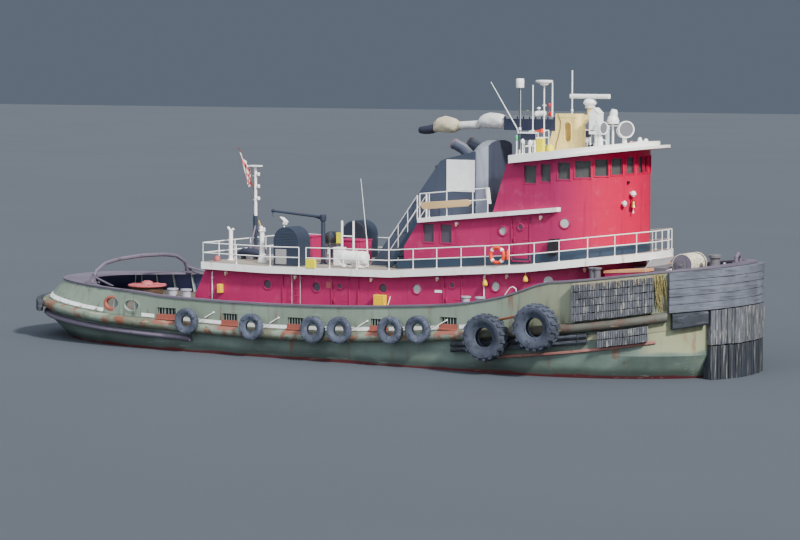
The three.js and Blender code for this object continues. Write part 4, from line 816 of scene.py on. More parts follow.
def spline(knots, steps):
    """Catmull-Rom through the knots, uniform in their index."""
    line = []
    last = len(knots) - 1
    for step in range(steps + 1):
        place = last * step / steps
        index = min(int(place), last - 1)
        share = place - index
        picks = [knots[max(0, min(last, index + shift))] for shift in (-1, 0, 1, 2)]
        point = []
        for axis in (0, 1):
            before, start, end, after = (pick[axis] for pick in picks)
            lean_in = (end - before) * 0.5
            lean_out = (after - start) * 0.5
            value = (2 * start - 2 * end + lean_in + lean_out) * share ** 3
            value += (-3 * start + 3 * end - 2 * lean_in - lean_out) * share ** 2
            point.append(value + lean_in * share + start)
        line.append(tuple(point))
    return line


SHEER_LINE = spline(SHEER_KNOTS, 22)
CAP_LINE = spline(CAP_KNOTS, 34)


def sheer(x):
    return on_line(SHEER_LINE, x)


def cap(x):
    return on_line(CAP_LINE, x)


def boat_deck(x):
    return on_line(BOAT_DECK_LINE, x)


def bridge(x):
    return on_line(BRIDGE_LINE, x)


def roof(x):
    return on_line(ROOF_LINE, x)


def deck_edge():
    """Starboard deck edge from the stern's centre to the stem: (x, y, outward x, outward y)."""
    points = []
    aft_end = HULL_AFT + AFT_LENGTH
    fwd_end = HULL_FWD - FWD_LENGTH
    for step in range(ARC_STEPS + 1):
        turn = math.pi / 2 * step / ARC_STEPS
        points.append((aft_end - AFT_LENGTH * abs(math.cos(turn)) ** (2 / AFT_POWER),
                       -HALF_BEAM * math.sin(turn) ** (2 / AFT_POWER)))
    for step in range(1, SIDE_STEPS):
        points.append((aft_end + (fwd_end - aft_end) * step / SIDE_STEPS, -HALF_BEAM))
    for step in range(ARC_STEPS, -1, -1):
        turn = math.pi / 2 * step / ARC_STEPS
        points.append((fwd_end + FWD_LENGTH * abs(math.cos(turn)) ** (2 / FWD_POWER),
                       -HALF_BEAM * math.sin(turn) ** (2 / FWD_POWER)))
    edge = []
    last = len(points) - 1
    for index, (x, y) in enumerate(points):
        before = (points[1][0], -points[1][1]) if index == 0 else points[index - 1]
        after = (points[last - 1][0], -points[last - 1][1]) if index == last else points[index + 1]
        along = Vector((after[0] - before[0], after[1] - before[1])).normalized()
        edge.append((x, y, along.y, -along.x))
    return edge


EDGE = deck_edge()


def edge_at(x):
    """The deck edge at one x, on the starboard side."""
    for first, second in zip(EDGE, EDGE[1:]):
        if x <= second[0]:
            share = (x - first[0]) / (second[0] - first[0])
            mixed = [a + (b - a) * share for a, b in zip(first, second)]
            length = math.hypot(mixed[2], mixed[3])
            return (x, mixed[1], mixed[2] / length, mixed[3] / length)
    return EDGE[-1]


def edge_between(start, end, step=None):
    """Edge points from start to end, ends and corners included, or evenly spaced."""
    first = EDGE[0] if start <= HULL_AFT else edge_at(start)
    last = EDGE[-1] if end >= HULL_FWD else edge_at(end)
    inside = [point for point in EDGE if first[0] + 0.005 < point[0] < last[0] - 0.005]
    corners = [first, *inside, last]
    if step is None:
        return corners
    points = []
    for near, far in zip(corners, corners[1:]):
        length = math.hypot(far[0] - near[0], far[1] - near[1])
        count = max(1, round(length / step))
        for index in range(count):
            share = index / count
            points.append(tuple(a + (b - a) * share for a, b in zip(near, far)))
    points.append(corners[-1])
    return points


def other_side(point):
    return (point[0], -point[1], point[2], -point[3])


def around_stern(end, step=None):
    starboard = edge_between(HULL_AFT, end, step)
    port = [other_side(point) for point in starboard[1:]]
    return [*reversed(starboard[1:]), starboard[0], *port]


def around_bow(start, step=None):
    starboard = edge_between(start, HULL_FWD, step)
    return [*starboard, *reversed([other_side(point) for point in starboard[:-1]])]


def pushed(point, out, z):
    return (point[0] + point[2] * out, point[1] + point[3] * out, z)


def on_side(points, side):
    """Starboard edge points on the asked side."""
    return points if side < 0 else [other_side(point) for point in points]


class Skin:
    """The outside of some frame nodes, to set details on."""

    def __init__(self, *names):
        points = []
        faces = []
        for name in names:
            data = NODES[name].data
            start = len(points)
            points += [vertex.co.copy() for vertex in data.vertices]
            faces += [[start + index for index in face.vertices] for face in data.polygons]
        self.tree = BVHTree.FromPolygons(points, faces)

    def hit(self, origin, direction):
        place, normal, _, _ = self.tree.ray_cast(Vector(origin), Vector(direction))
        return place, normal

    def side(self, x, z, side=STARBOARD):
        """The point of the side at this x and z."""
        return self.hit((x, side * 12, z), (0, -side, 0))

    def outside(self, x, z, side):
        """The same point, with its normal turned away from the boat."""
        place, normal = self.side(x, z, side)
        if normal is not None and normal.y * side < 0:
            normal = -normal
        return place, normal

    def edge(self, point, z):
        """The point of the skin beside a deck edge point, from outside."""
        origin = (point[0] + point[2] * 2, point[1] + point[3] * 2, z)
        return self.hit(origin, (-point[2], -point[3], 0))


# Frame nodes that stay, and the look of each; the second table's names end in a side
SINGLE_LOOKS = {
    "hull": "hull", "main_deck": "deck", "cap_rail": "mauve", "guard_rail": "guard", "lower_guard": "mauve",
    "stern_fender": "dark_rubber", "bow_fender_upper": "layers", "bow_fender_middle": "strips",
    "bow_fender_lower": "wet_strips", "deckhouse": "house", "boat_deck": "boat_deck",
    # The upper house and the wheelhouse take the maroon with painted sunlight on the round front.
    "upper_house": "sunny_house", "bridge_deck": "white", "wheelhouse": "sunny_house",
    "wheelhouse_glass": "glass", "wheelhouse_roof": "roof", "stack": "stack", "mast_housing": "housing",
    "radar_scanner": "white", "searchlight_1": "steel", "searchlight_2": "steel", "aft_mast": "white",
    "flag": "flag", "davit_post": "dark_blue", "davit_arm": "dark_blue", "life_raft": "clean_white",
    "deck_winch": "tarp", "boat_deck_rail": "white", "covered_boom": "pale_canvas", "stairs": "white",
    "towing_arch": "mauve", "hawser_reel": "red", "bow_winch_drum": "steel", "bullnose": "mauve",
}
PAIRED_LOOKS = {
    "bulwark": "bulwark", "bulwark_quarter": "bulwark", "side_pad": "strips", "side_blocks": "dark_rubber",
    "large_tyres": "big_tyre", "vent_hood": "dark_blue", "bridge_rail": "white", "propeller": "bronze",
    "rudder": "red", "deckhouse_door_aft": "house", "deckhouse_door_forward": "house",
    "upper_house_door": "house",
}
SMOOTH_ANGLE = 32
WELD = 0.0004


def smooth_modifier_tree():
    """Joins split corners and smooths all but sharp edges."""
    tree = bpy.data.node_groups.new("smooth_by_angle", "GeometryNodeTree")
    tree.is_modifier = True
    tree.interface.new_socket("Geometry", in_out="INPUT", socket_type="NodeSocketGeometry")
    tree.interface.new_socket("Geometry", in_out="OUTPUT", socket_type="NodeSocketGeometry")
    entry = tree.nodes.new("NodeGroupInput")
    leave = tree.nodes.new("NodeGroupOutput")
    clean = tree.nodes.new("GeometryNodeRemoveAttribute")
    clean.inputs["Name"].default_value = "custom_normal"
    weld = tree.nodes.new("GeometryNodeMergeByDistance")
    weld.inputs["Distance"].default_value = WELD
    soft = tree.nodes.new("GeometryNodeSetShadeSmooth")
    crisp = tree.nodes.new("GeometryNodeSetShadeSmooth")
    crisp.domain = "EDGE"
    crisp.inputs["Shade Smooth"].default_value = False
    angle = tree.nodes.new("GeometryNodeInputMeshEdgeAngle")
    wide = tree.nodes.new("FunctionNodeCompare")
    wide.operation = "GREATER_THAN"
    wide.inputs["B"].default_value = math.radians(SMOOTH_ANGLE)
    tree.links.new(angle.outputs["Unsigned Angle"], wide.inputs["A"])
    tree.links.new(wide.outputs["Result"], crisp.inputs["Selection"])
    chain = [entry, clean, weld, soft, crisp, leave]
    for near, far in zip(chain, chain[1:]):
        tree.links.new(near.outputs[0], far.inputs[0])
    return tree


def dress_nodes(looks):
    """Gives each node that stays its look and smooth faces."""
    tree = smooth_modifier_tree()
    paired = {f"{name}_{side}": look for name, look in PAIRED_LOOKS.items() for side in SIDES}
    for name, look in (SINGLE_LOOKS | paired).items():
        node = NODES[name]
        node.data.materials.clear()
        node.data.materials.append(looks[look])
        smooth = node.modifiers.new("smooth_by_angle", "NODES")
        smooth.node_group = tree


FLOOR_HALF = 400.0


def make_floor(looks):
    """A plain floor at the waterline."""
    shape = Shape()
    shape.faces([(x * FLOOR_HALF, y * FLOOR_HALF, 0) for x, y in ((-1, -1), (1, -1), (1, 1), (-1, 1))],
                [(0, 1, 2, 3)])
    data = bpy.data.meshes.new("floor")
    shape.mesh.to_mesh(data)
    shape.mesh.free()
    data.materials.append(looks["floor"])
    floor = bpy.data.objects.new("floor", data)
    bpy.context.scene.collection.objects.link(floor)


# Hull side
SIDE_SKIN = ("bulwark_starboard", "bulwark_port", "bulwark_quarter_starboard", "bulwark_quarter_port")
STRIPE_LOW, STRIPE_HIGH = 0.04, 0.18
STRIPE_STEP = 0.25
STRIPE_RUNS = [
    # x aft, x forward; the gaps between are the freeing ports' and chocks' blocks
    (-16.85, -11.56), (-9.46, -8.79), (-7.62, -5.46), (-4.58, -2.3), (-1.42, 1.54), (2.42, 4.66),
    (5.56, 6.5),
]
FREEING_PORTS = [
    # middle x, half length
    (-8.15, 0.48), (-5.03, 0.38), (-1.87, 0.38), (1.97, 0.38), (5.10, 0.38),
]
PORT_LOW, PORT_HIGH = 0.07, 0.50
PORT_BARS = 6
CHOCKS = [
    # x, height over the sheer, half length, half height, look
    (-11.11, 0.42, 0.391, 0.23, "salmon"), (-9.98, 0.42, 0.391, 0.23, "bulwark"),
]
GUARD_OUT = 0.33
GUARD_DROP = 0.21


def strip_on(shape, skin, points, low, high, proud=HAIR, thick=0.012):
    """A thin plate on the skin between two heights over the sheer, along edge points."""
    rings = []
    for point in points:
        base = sheer(point[0])
        ring = []
        for rise, out in ((low, -thick), (low, proud), (high, proud), (high, -thick)):
            place, _ = skin.edge(point, base + rise)
            if place is None:
                break
            ring.append(place + Vector((point[2], point[3], 0)) * out)
        if len(ring) == 4:
            rings.append(ring)
    if len(rings) > 1:
        shape.loft(rings)


def hull_stripes(looks):
    """White stripe low on the bulwark, between the ports and chocks."""
    skin = Skin(*SIDE_SKIN)
    shape = Shape()
    for start, end in STRIPE_RUNS:
        for side in SIDES.values():
            points = on_side(edge_between(start + 0.01, end, STRIPE_STEP), side)
            strip_on(shape, skin, points, STRIPE_LOW, STRIPE_HIGH)
    shape.piece("side_stripes", looks["stripe"], slot="white_paint")


def freeing_ports(looks):
    """A block under each port, bars in a thin frame, a low flap, and dark plates behind them that paint the
    shade seen through the openings.
    """
    blocks, bars, flaps, painted_shadow_plates = Shape(), Shape(), Shape(), Shape()
    for x, half in FREEING_PORTS:
        base = sheer(x)
        wall = abs(edge_at(x)[1])
        block = (x - half - 0.06, x + half + 0.02)
        opening = (x - half - 0.02, x + half + 0.02)
        behind = (x - half - 0.05, x + half + 0.05)
        for side in SIDES.values():
            blocks.side_box(side, block, (wall - 0.13, wall + 0.012), (base + 0.005, base + 0.075))
            blocks.side_box(side, block, (wall - 0.02, wall + 0.10), (base + 0.005, base + 0.05))
            flaps.side_box(side, opening, (wall - 0.012, wall + 0.014), (base + 0.06, base + 0.23))
            # Painted shade: dark navy plates inside the bulwark, behind each opening.
            for low, high in ((0.06, 0.295), (0.295, 0.56)):
                painted_shadow_plates.side_box(side, behind, (wall - 0.16, wall - 0.145), (base + low, base + high))
            for index in range(PORT_BARS):
                place = x - half + 2 * half * (index + 0.5) / PORT_BARS
                bars.tube([(place, side * (wall - 0.03), base + PORT_LOW - 0.02),
                           (place, side * (wall - 0.03), base + PORT_HIGH + 0.02)], 0.014, 6)
            frame_out = (wall - 0.01, wall + 0.01)
            for rise in (PORT_LOW, PORT_HIGH):
                bars.side_box(side, (x - half - 0.03, x + half + 0.03), frame_out,
                              (base + rise - 0.012, base + rise + 0.012))
            for end in (-half, half):
                bars.side_box(side, (x + end - 0.012, x + end + 0.012), frame_out,
                              (base + PORT_LOW, base + PORT_HIGH))
    blocks.piece("port_blocks", looks["salmon"], bevel=0.008, slot="red_paint")
    bars.piece("port_bars", looks["green"], slot="green_grey_paint")
    flaps.piece("port_flaps", looks["salmon"], bevel=0.004, slot="red_paint")
    # Navy plates that stand for the shade behind the ports.
    painted_shadow_plates.piece("port_painted_shadow_plates", looks["navy"], bevel=0.004, slot="stack_paint")


STERN_LEAN = 0.64                # how far in the bulwark's top leans at the stern
LEAN_FROM = -9.0
LEAN_TO = -15.2
CHOCK_LIP = [
    # growth of the oval, distance out from the plate
    (0.09, 0.002), (0.085, 0.016), (0.025, 0.018), (0.0, 0.03), (-0.03, 0.01), (-0.03, -0.12),
]


def smooth_step(start, end, x):
    share = min(1.0, max(0.0, (x - start) / (end - start)))
    return share * share * (3 - 2 * share)


def bulwark_lean(x):
    return STERN_LEAN * smooth_step(LEAN_FROM, LEAN_TO, x)


def chock_rings(looks):
    """An oval doubler round each mooring chock, with a rolled lip."""
    for number, (x, lift, long, high, look) in enumerate(CHOCKS, 1):
        slope = bulwark_lean(x) / (cap(x) - sheer(x))
        for side_name, side in SIDES.items():
            shape = Shape()
            rings = []
            for turn in full_turn(28):
                ring = []
                for grow, out in CHOCK_LIP:
                    along = (long + grow) * math.cos(turn)
                    z = sheer(x) + lift + (high + grow) * math.sin(turn)
                    near = on_side([edge_at(x + along)], side)[0]
                    ring.append(Vector(pushed(near, out - slope * (z - sheer(x + along)), z)))
                rings.append(ring)
            shape.loft(rings, closed=True)
            shape.piece(f"chock_ring_{number}_{side_name}", looks[look], sharp=60)


STAY_STEP = 1.35
PLATE = 0.12
STAY_DEEP = 0.16
STAY_THICK = 0.03


def bulwark_stays(looks):
    """Upright stiffeners inside the bulwark."""
    stays = Shape()
    for side in SIDES.values():
        for point in on_side(edge_between(-15.6, 13.4, STAY_STEP), side):
            x = point[0]
            foot, head = sheer(x) + 0.07, cap(x) - 0.02
            skin = -PLATE - 0.005
            lean = PLATE + bulwark_lean(x)
            outline = [pushed(point, skin, foot), pushed(point, -PLATE - STAY_DEEP * 2, foot),
                       pushed(point, -lean - STAY_DEEP, head), pushed(point, -lean - 0.005, head)]
            along = Vector((-point[3], point[2], 0)) * STAY_THICK
            stays.slab([Vector(corner) - along / 2 for corner in outline], along)
    stays.piece("bulwark_stays", looks["pale_green"], slot="green_grey_paint")


GUARD_PROFILE = mirrored([(0.004, 0.19), (0.13, 0.188), (0.235, 0.155), (0.30, 0.095), (0.328, 0.0)])


def half_round(shape, points, profile, middle):
    rings = []
    for point in points:
        z = middle(point[0])
        rings.append([pushed(point, out, z + rise) for out, rise in profile])
    shape.loft(rings)


def guard(looks):
    """The half-round guard bar from forward round the stern."""
    shape = Shape()
    half_round(shape, around_stern(13.5), GUARD_PROFILE, lambda x: sheer(x) - GUARD_DROP)
    piece = shape.piece("guard_bar", looks["guard"], sharp=50, slot="green_grey_paint")
    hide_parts("guard_rail")


TRUCK_TYRES = [-6.84, -3.70, -0.79, 0.44, 2.76, 4.00]
TYRE_RADIUS = 0.525
TYRE_OUTSIDE = [
    # share of the radius, share of half the width, from the bead over the shoulder to the tread's groove
    (0.43, 0.40), (0.455, 0.52), (0.52, 0.56), (0.60, 0.74), (0.70, 0.90), (0.80, 0.985), (0.86, 0.96),
    (0.87, 0.99), (0.93, 0.92), (0.975, 0.72), (1.0, 0.55), (1.0, 0.26), (0.965, 0.24), (0.965, 0.16),
    (1.0, 0.14),
]
TYRE_INSIDE = [(0.47, -0.34), (0.60, -0.50), (0.80, -0.70), (0.90, -0.48)]
TYRE_PROFILE = mirrored(TYRE_OUTSIDE) + mirrored(TYRE_INSIDE)
TYRE_WIDTH = 0.29


def tyre_rings(shape, x, y, z, radius, width, steps):
    profile = [(share * radius, half * width / 2) for share, half in TYRE_PROFILE]
    shape.ring(profile, (x, y, z), TO_PORT, steps)


def tread_blocks(shape, x, y, z, radius, width, count):
    """Shoulder blocks round both edges of the tread."""
    for index in range(count):
        angle = 360 * index / count
        turn = Matrix.Rotation(math.radians(angle), 3, "Y")
        for edge in (-1, 1):
            near, far = sorted((edge * width * 0.20, edge * width * 0.43))
            shape.box((x - 0.022, y + near, z + radius * 0.94), (x + 0.022, y + far, z + radius),
                      turn, (x, y, z))


def truck_tyres(looks):
    """Tyres that hang against the guard, each on a strap from the cap."""
    straps, chains = Shape(), Shape()
    for side_name, side in SIDES.items():
        for number, x in enumerate(TRUCK_TYRES, 1):
            edge = edge_at(x)
            y = side * (abs(edge[1]) + GUARD_OUT + 0.10)
            z = sheer(x) + 0.09
            shape = Shape()
            tyre_rings(shape, x, y, z, TYRE_RADIUS, TYRE_WIDTH, 40)
            tread_blocks(shape, x, y, z, TYRE_RADIUS, TYRE_WIDTH, 26)
            piece = shape.piece(f"truck_tyre_{number}_{side_name}", looks["tyre"], slot="tyre_rubber")
            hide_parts("guard_rail")
            wall = side * (abs(edge[1]) + 0.02)
            top = (x + 1.02, wall, z + 0.37)
            foot = (x + 0.66, wall + side * 0.10, z + 0.15)
            straps.tube([top, foot], 0.017, 6)
            straps.turned([(0.035, -0.02), (0.035, 0.012), (0.016, 0.02)], top, (0, side, 0), 12)
            chains.tube([foot, (x + 0.40, side * (abs(y) - 0.02), z + 0.02)], 0.010, 6)
    straps.piece("tyre_straps", looks["clean_white"], slot="white_paint")
    chains.piece("tyre_chains", looks["black"])


LARGE_TYRES = [(7.09, 1.43), (9.22, 1.91)]
LARGE_RADIUS = 0.9
LARGE_WIDTH = 0.62
LARGE_STANDOFF = 0.023
LUG_COUNT = 18
LUG_DEPTH = 0.055


def lug(shape, x, y, z, angle, edge):
    """A slanted bar from the tyre's shoulder to the middle of its tread."""
    turn = Matrix.Rotation(math.radians(angle), 3, "Y")
    outer, inner = LARGE_RADIUS, LARGE_RADIUS - LUG_DEPTH - 0.05
    near, far = edge * 0.29, edge * 0.02
    outline = [(-0.075, near), (0.055, near), (0.115, far), (0.0, far)]
    points = []
    for height, trim in ((inner, 0.0), (outer, 0.012)):
        for along, across in outline:
            reach = height - (0.05 if abs(across) > 0.2 else 0.0)
            points.append(Vector((x, y, z)) + turn @ Vector((along * (1 - trim), across, reach)))
    loops = [(0, 1, 2, 3), (7, 6, 5, 4), (0, 4, 5, 1), (1, 5, 6, 2), (2, 6, 7, 3), (3, 7, 4, 0)]
    shape.faces(points, loops)


def large_tyres(looks):
    """Two lugged tyres a side, and the rusty bar with an eye that each hangs from."""
    for side_name, side in SIDES.items():
        node = f"large_tyres_{side_name}"
        bar = Shape()
        hooks = []
        for number, (x, z) in enumerate(LARGE_TYRES, 1):
            wall = abs(edge_at(x)[1]) + GUARD_OUT
            y = side * (wall + LARGE_WIDTH / 2 + LARGE_STANDOFF)
            shape = Shape()
            tyre_rings(shape, x, y, z, LARGE_RADIUS - LUG_DEPTH, LARGE_WIDTH, 56)
            for index in range(LUG_COUNT):
                for edge in (-1, 1):
                    lug(shape, x, y, z, 360 * (index + 0.5 - 0.25 * edge) / LUG_COUNT, edge)
            piece = shape.piece(f"large_tyre_{number}_{side_name}", looks["big_tyre"], slot="tyre_rubber")
            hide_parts(node)
            hooks.append((x, side * (wall + 0.18), z + 0.56))
        bar.tube(hooks, 0.045, 10)
        for x, y, z in hooks:
            bar.eye((x, y, z + 0.04), 0.075, 0.025, 14)
        piece = bar.piece(f"tyre_bar_{side_name}", looks["rusty"], slot="lamp_steel")
        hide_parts(node)


PIPE_PROFILE = mirrored([(-0.26, 0.115), (0.06, 0.114), (0.15, 0.095), (0.205, 0.055), (0.228, 0.0)])


def lower_pipe(looks):
    shape = Shape()
    half_round(shape, around_stern(-6.9), PIPE_PROFILE, lambda x: sheer(x) - 0.64)
    piece = shape.piece("lower_pipe", looks["mauve"], sharp=50, slot="mauve_paint")
    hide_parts("lower_guard")


# Fenders
FENDER_THICK = 0.34


def layered_fender(shape, points, layers, bottom, top, rng):
    """Flat rubber layers on each other round the bow, each a little in or out."""
    for layer in range(layers):
        out = FENDER_THICK - rng.uniform(0.0, 0.035)
        rings = []
        for point in points:
            low, high = bottom(point[0]), top(point[0])
            step = (high - low) / layers
            z0 = low + step * layer + 0.006
            z1 = low + step * (layer + 1) - 0.006
            rings.append([pushed(point, 0.004, z0), pushed(point, out, z0), pushed(point, out, z1),
                          pushed(point, 0.004, z1)])
        shape.loft(rings)


def strip_fender(shape, points, rows, bottom, top, inner, outer, width, rng):
    """Upright rubber strips side by side along the edge, in rows."""
    for near, far in zip(points, points[1:]):
        length = math.hypot(far[0] - near[0], far[1] - near[1])
        gap = min(0.008, length * 0.1) / length
        for row in range(rows):
            out = outer - rng.uniform(0.0, width * 0.45)
            drop = rng.uniform(-0.012, 0.012)
            rings = []
            for share in (gap, 1 - gap):
                point = tuple(a + (b - a) * share for a, b in zip(near, far))
                low, high = bottom(point[0]), top(point[0])
                step = (high - low) / rows
                z0 = max(low, low + step * row + 0.012 + drop)
                z1 = min(high, low + step * (row + 1) - 0.012 + drop)
                rings.append([pushed(point, inner, z0), pushed(point, out, z0), pushed(point, out, z1),
                              pushed(point, inner, z1)])
            shape.loft(rings)


def bow_fenders(looks):
    """Three tiers round the bow: flat layers, upright strips, and wet strips down to the water."""
    rng = random.Random(SEED)
    upper, middle, lower = Shape(), Shape(), Shape()
    layered_fender(upper, around_bow(13.55), 5, lambda x: cap(x) - 1.48, lambda x: cap(x) - 0.01, rng)
    strip_fender(middle, around_bow(14.58, 0.13), 1, lambda x: 1.29, lambda x: cap(x) - 1.50, 0.004,
                 FENDER_THICK, 0.13, rng)
    strip_fender(lower, around_bow(14.60, 0.13), 1, lambda x: -0.15, lambda x: 1.27, -0.25,
                 FENDER_THICK - 0.04, 0.12, rng)
    rows = ((upper, "bow_fender_layers", "layers", 0.012, "bow_fender_upper"),
            (middle, "bow_fender_strips", "strips", 0.008, "bow_fender_middle"),
            (lower, "bow_fender_wet_strips", "wet_strips", 0.008, "bow_fender_lower"))
    for shape, name, look, bevel, node in rows:
        piece = shape.piece(name, looks[look], bevel=bevel, slot="fender_rubber")
        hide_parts(node)


PAD = {"x0": 10.37, "x1": 13.12, "rows": 5, "strip": 0.085}


def side_pads(looks):
    """Pads of upright strips at the bow's sides, with a fringe of rope ends over each."""
    rng = random.Random(SEED + 1)
    for side_name, side in SIDES.items():
        shape = Shape()
        points = on_side(edge_between(PAD["x0"], PAD["x1"], PAD["strip"]), side)
        strip_fender(shape, points, PAD["rows"], lambda x: sheer(x) + 0.04, lambda x: cap(x) - 0.10, 0.004,
                     FENDER_THICK, 0.06, rng)
        piece = shape.piece(f"side_pad_strips_{side_name}", looks["strips"], bevel=0.004,
                            slot="fender_rubber")
        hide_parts(f"side_pad_{side_name}")
        fringe = Shape()
        for point in on_side(edge_between(PAD["x0"] + 0.05, PAD["x1"] - 0.05, 0.05), side):
            out = rng.uniform(0.22, 0.33)
            top = cap(point[0]) - 0.065
            low = top - rng.uniform(0.10, 0.30)
            fringe.tube([pushed(point, out - 0.08, top), pushed(point, out + 0.006, top - 0.02),
                         pushed(point, min(out + 0.012, 0.335), low)], 0.011, 5)
        fringe.piece(f"pad_rope_fringe_{side_name}", looks["rope"], slot="flag_cloth")


LOW_BAR_PROFILE = mirrored([(-0.04, 0.065), (0.04, 0.06), (0.08, 0.03)])


def low_pad(shape, side, rng):
    points = on_side(edge_between(11.3, 12.96, PAD["strip"]), side)
    strip_fender(shape, points, 2, lambda x: sheer(x) - 1.01, lambda x: sheer(x) - 0.43,
                 0.004, 0.33, 0.06, rng)


STRIP_CHAIN = [(0.24, 0.40), (0.262, 0.64), (0.24, 0.86)]


def double_strips(shape, side, _):
    """Two pointed rubber strips one over the other, with four chains across them."""
    for foot, head in ((-0.83, -0.66), (-0.63, -0.45)):
        profile = [(0.004, head), (0.20, head), (0.255, (foot + head) / 2), (0.20, foot), (0.004, foot)]
        half_round(shape, on_side(edge_between(5.3, 10.9), side), profile, sheer)
    for x in (6.35, 7.9, 9.4, 10.6):
        point = on_side([edge_at(x)], side)[0]
        shape.tube([pushed(point, out, sheer(x) - drop) for out, drop in STRIP_CHAIN], 0.02, 6)


def end_block(shape, side, _):
    """A rubber block with eased edges under the forward end of the bow fender."""
    rings = []
    for point in on_side(edge_between(13.64, 14.52, 0.11), side):
        foot, head = sheer(point[0]) - 0.70, cap(point[0]) - 1.51
        profile = [(0.004, foot), (FENDER_THICK - 0.05, foot), (FENDER_THICK, foot + 0.06),
                   (FENDER_THICK, head - 0.06), (FENDER_THICK - 0.05, head), (0.004, head)]
        rings.append([pushed(point, out, z) for out, z in profile])
    shape.loft(rings)


def backing_plate(shape, side, _):
    profile = [(0.002, -0.52), (0.025, -0.52), (0.025, -0.72), (0.002, -0.72)]
    half_round(shape, on_side(edge_between(5.3, 14.52), side), profile, sheer)


LOW_RUBBER = [
    # maker, name, look, bevel, slot
    (low_pad, "low_pad", "strips", 0.004, "fender_rubber"),
    (double_strips, "rubber_strips", "dark_rubber", 0.01, "fender_rubber"),
    (end_block, "end_block", "dark_rubber", 0.012, "fender_rubber"),
    (backing_plate, "backing_plate", "olive_plate", 0.0, "hull_paint"),
]


def side_blocks(looks):
    """Low strip pad, double rubber strip, end block, the plate behind them and a rubbing bar."""
    rng = random.Random(SEED + 2)
    for side_name, side in SIDES.items():
        for maker, name, look, bevel, slot in LOW_RUBBER:
            shape = Shape()
            maker(shape, side, rng)
            piece = shape.piece(f"{name}_{side_name}", looks[look], bevel=bevel, slot=slot)
            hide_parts(f"side_blocks_{side_name}")
        bar = Shape()
        half_round(bar, on_side(edge_between(7.0, 13.2), side), LOW_BAR_PROFILE, lambda x: sheer(x) - 1.09)
        bar.piece(f"low_rubbing_bar_{side_name}", looks["pink_rust"], sharp=50)


def stern_rubber(looks):
    """Rubber blocks side by side round the stern, outside the guard."""
    rng = random.Random(SEED + 3)
    shape = Shape()
    points = around_stern(-15.6, 0.45)
    strip_fender(shape, points, 1, lambda x: sheer(x) - GUARD_DROP - 0.33,
                 lambda x: sheer(x) - GUARD_DROP + 0.15,
                 GUARD_OUT + 0.002, GUARD_OUT + 0.24, 0.06, rng)
    piece = shape.piece("stern_rubber", looks["dark_rubber"], bevel=0.03, slot="fender_rubber")
    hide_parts("stern_fender")


# Houses
HOUSE_PORTHOLES = [
    # x, z, radius, pane
    (-4.31, 2.74, 0.19, "glass"), (-1.95, 2.74, 0.19, "glass"), (1.17, 2.83, 0.19, "glass"),
    (2.71, 2.88, 0.19, "pale"), (6.22, 3.13, 0.19, "pale"),
]
FORWARD_PORTHOLE = (8.42, 3.42, 0.19)
UPPER_PORTHOLES = [(6.24, 5.22, 0.17, "pale")]
UPPER_FRONT_PORTHOLE = (8.88, 5.59, 0.18)
DOORS = [
    # node, half width of wall, x aft, x forward, sill z, head z, porthole z
    ("deckhouse_door_aft", 3.1, -1.19, -0.45, 1.43, 3.08, 2.82),
    ("deckhouse_door_forward", 3.1, 3.96, 4.69, 1.70, 3.37, 3.09),
    ("upper_house_door", 2.6, 6.67, 7.38, 4.13, 5.68, 5.39),
]


def round_frame(shape, place, axis, radius):
    shape.ring([(radius - 0.012, -0.03), (radius + 0.045, -0.004), (radius + 0.045, 0.02),
                (radius + 0.01, 0.035), (radius - 0.012, 0.03)], place, axis, 28)


def pane(shape, place, axis, radius):
    shape.turned([(radius, -0.012), (radius, 0.004), (radius * 0.6, 0.009)], place, axis, 24)


def portholes(looks):
    """Frames, dark panes and pale covers along both houses, and one each on their rounded parts."""
    frames, dark, pale = Shape(), Shape(), Shape()
    rows = [(HOUSE_HALF, *row) for row in HOUSE_PORTHOLES] + [(UPPER_HALF, *row) for row in UPPER_PORTHOLES]
    for half, x, z, radius, glass in rows:
        for side in SIDES.values():
            round_frame(frames, (x, side * half, z), (0, side, 0), radius)
            target = pale if glass == "pale" else dark
            pane(target, (x, side * (half - 0.03), z), (0, side, 0), radius + 0.004)
    skins = [(Skin("deckhouse"), FORWARD_PORTHOLE), (Skin("upper_house"), UPPER_FRONT_PORTHOLE)]
    for skin, (x, z, radius) in skins:
        for side in SIDES.values():
            place, normal = skin.outside(x, z, side)
            round_frame(frames, place + normal * 0.01, normal, radius)
            pane(pale, place + normal * 0.02, normal, radius)
    frames.piece("porthole_frames", looks["house"], slot="maroon_paint")
    dark.piece("porthole_panes", looks["pane"], slot="window_glass")
    pale.piece("porthole_covers", looks["pale_pane"], slot="window_glass")


def door_frame(shape, side, half, x0, x1, low, high):
    """Four bars on the wall round a door."""
    out = (half - 0.01, half + 0.03)
    for along, up in (((x0 - 0.07, x0 - 0.015), (low - 0.06, high + 0.06)),
                      ((x1 + 0.015, x1 + 0.07), (low - 0.06, high + 0.06)),
                      ((x0 - 0.07, x1 + 0.07), (high + 0.015, high + 0.07)),
                      ((x0 - 0.07, x1 + 0.07), (low - 0.07, low - 0.015))):
        shape.side_box(side, along, out, up)


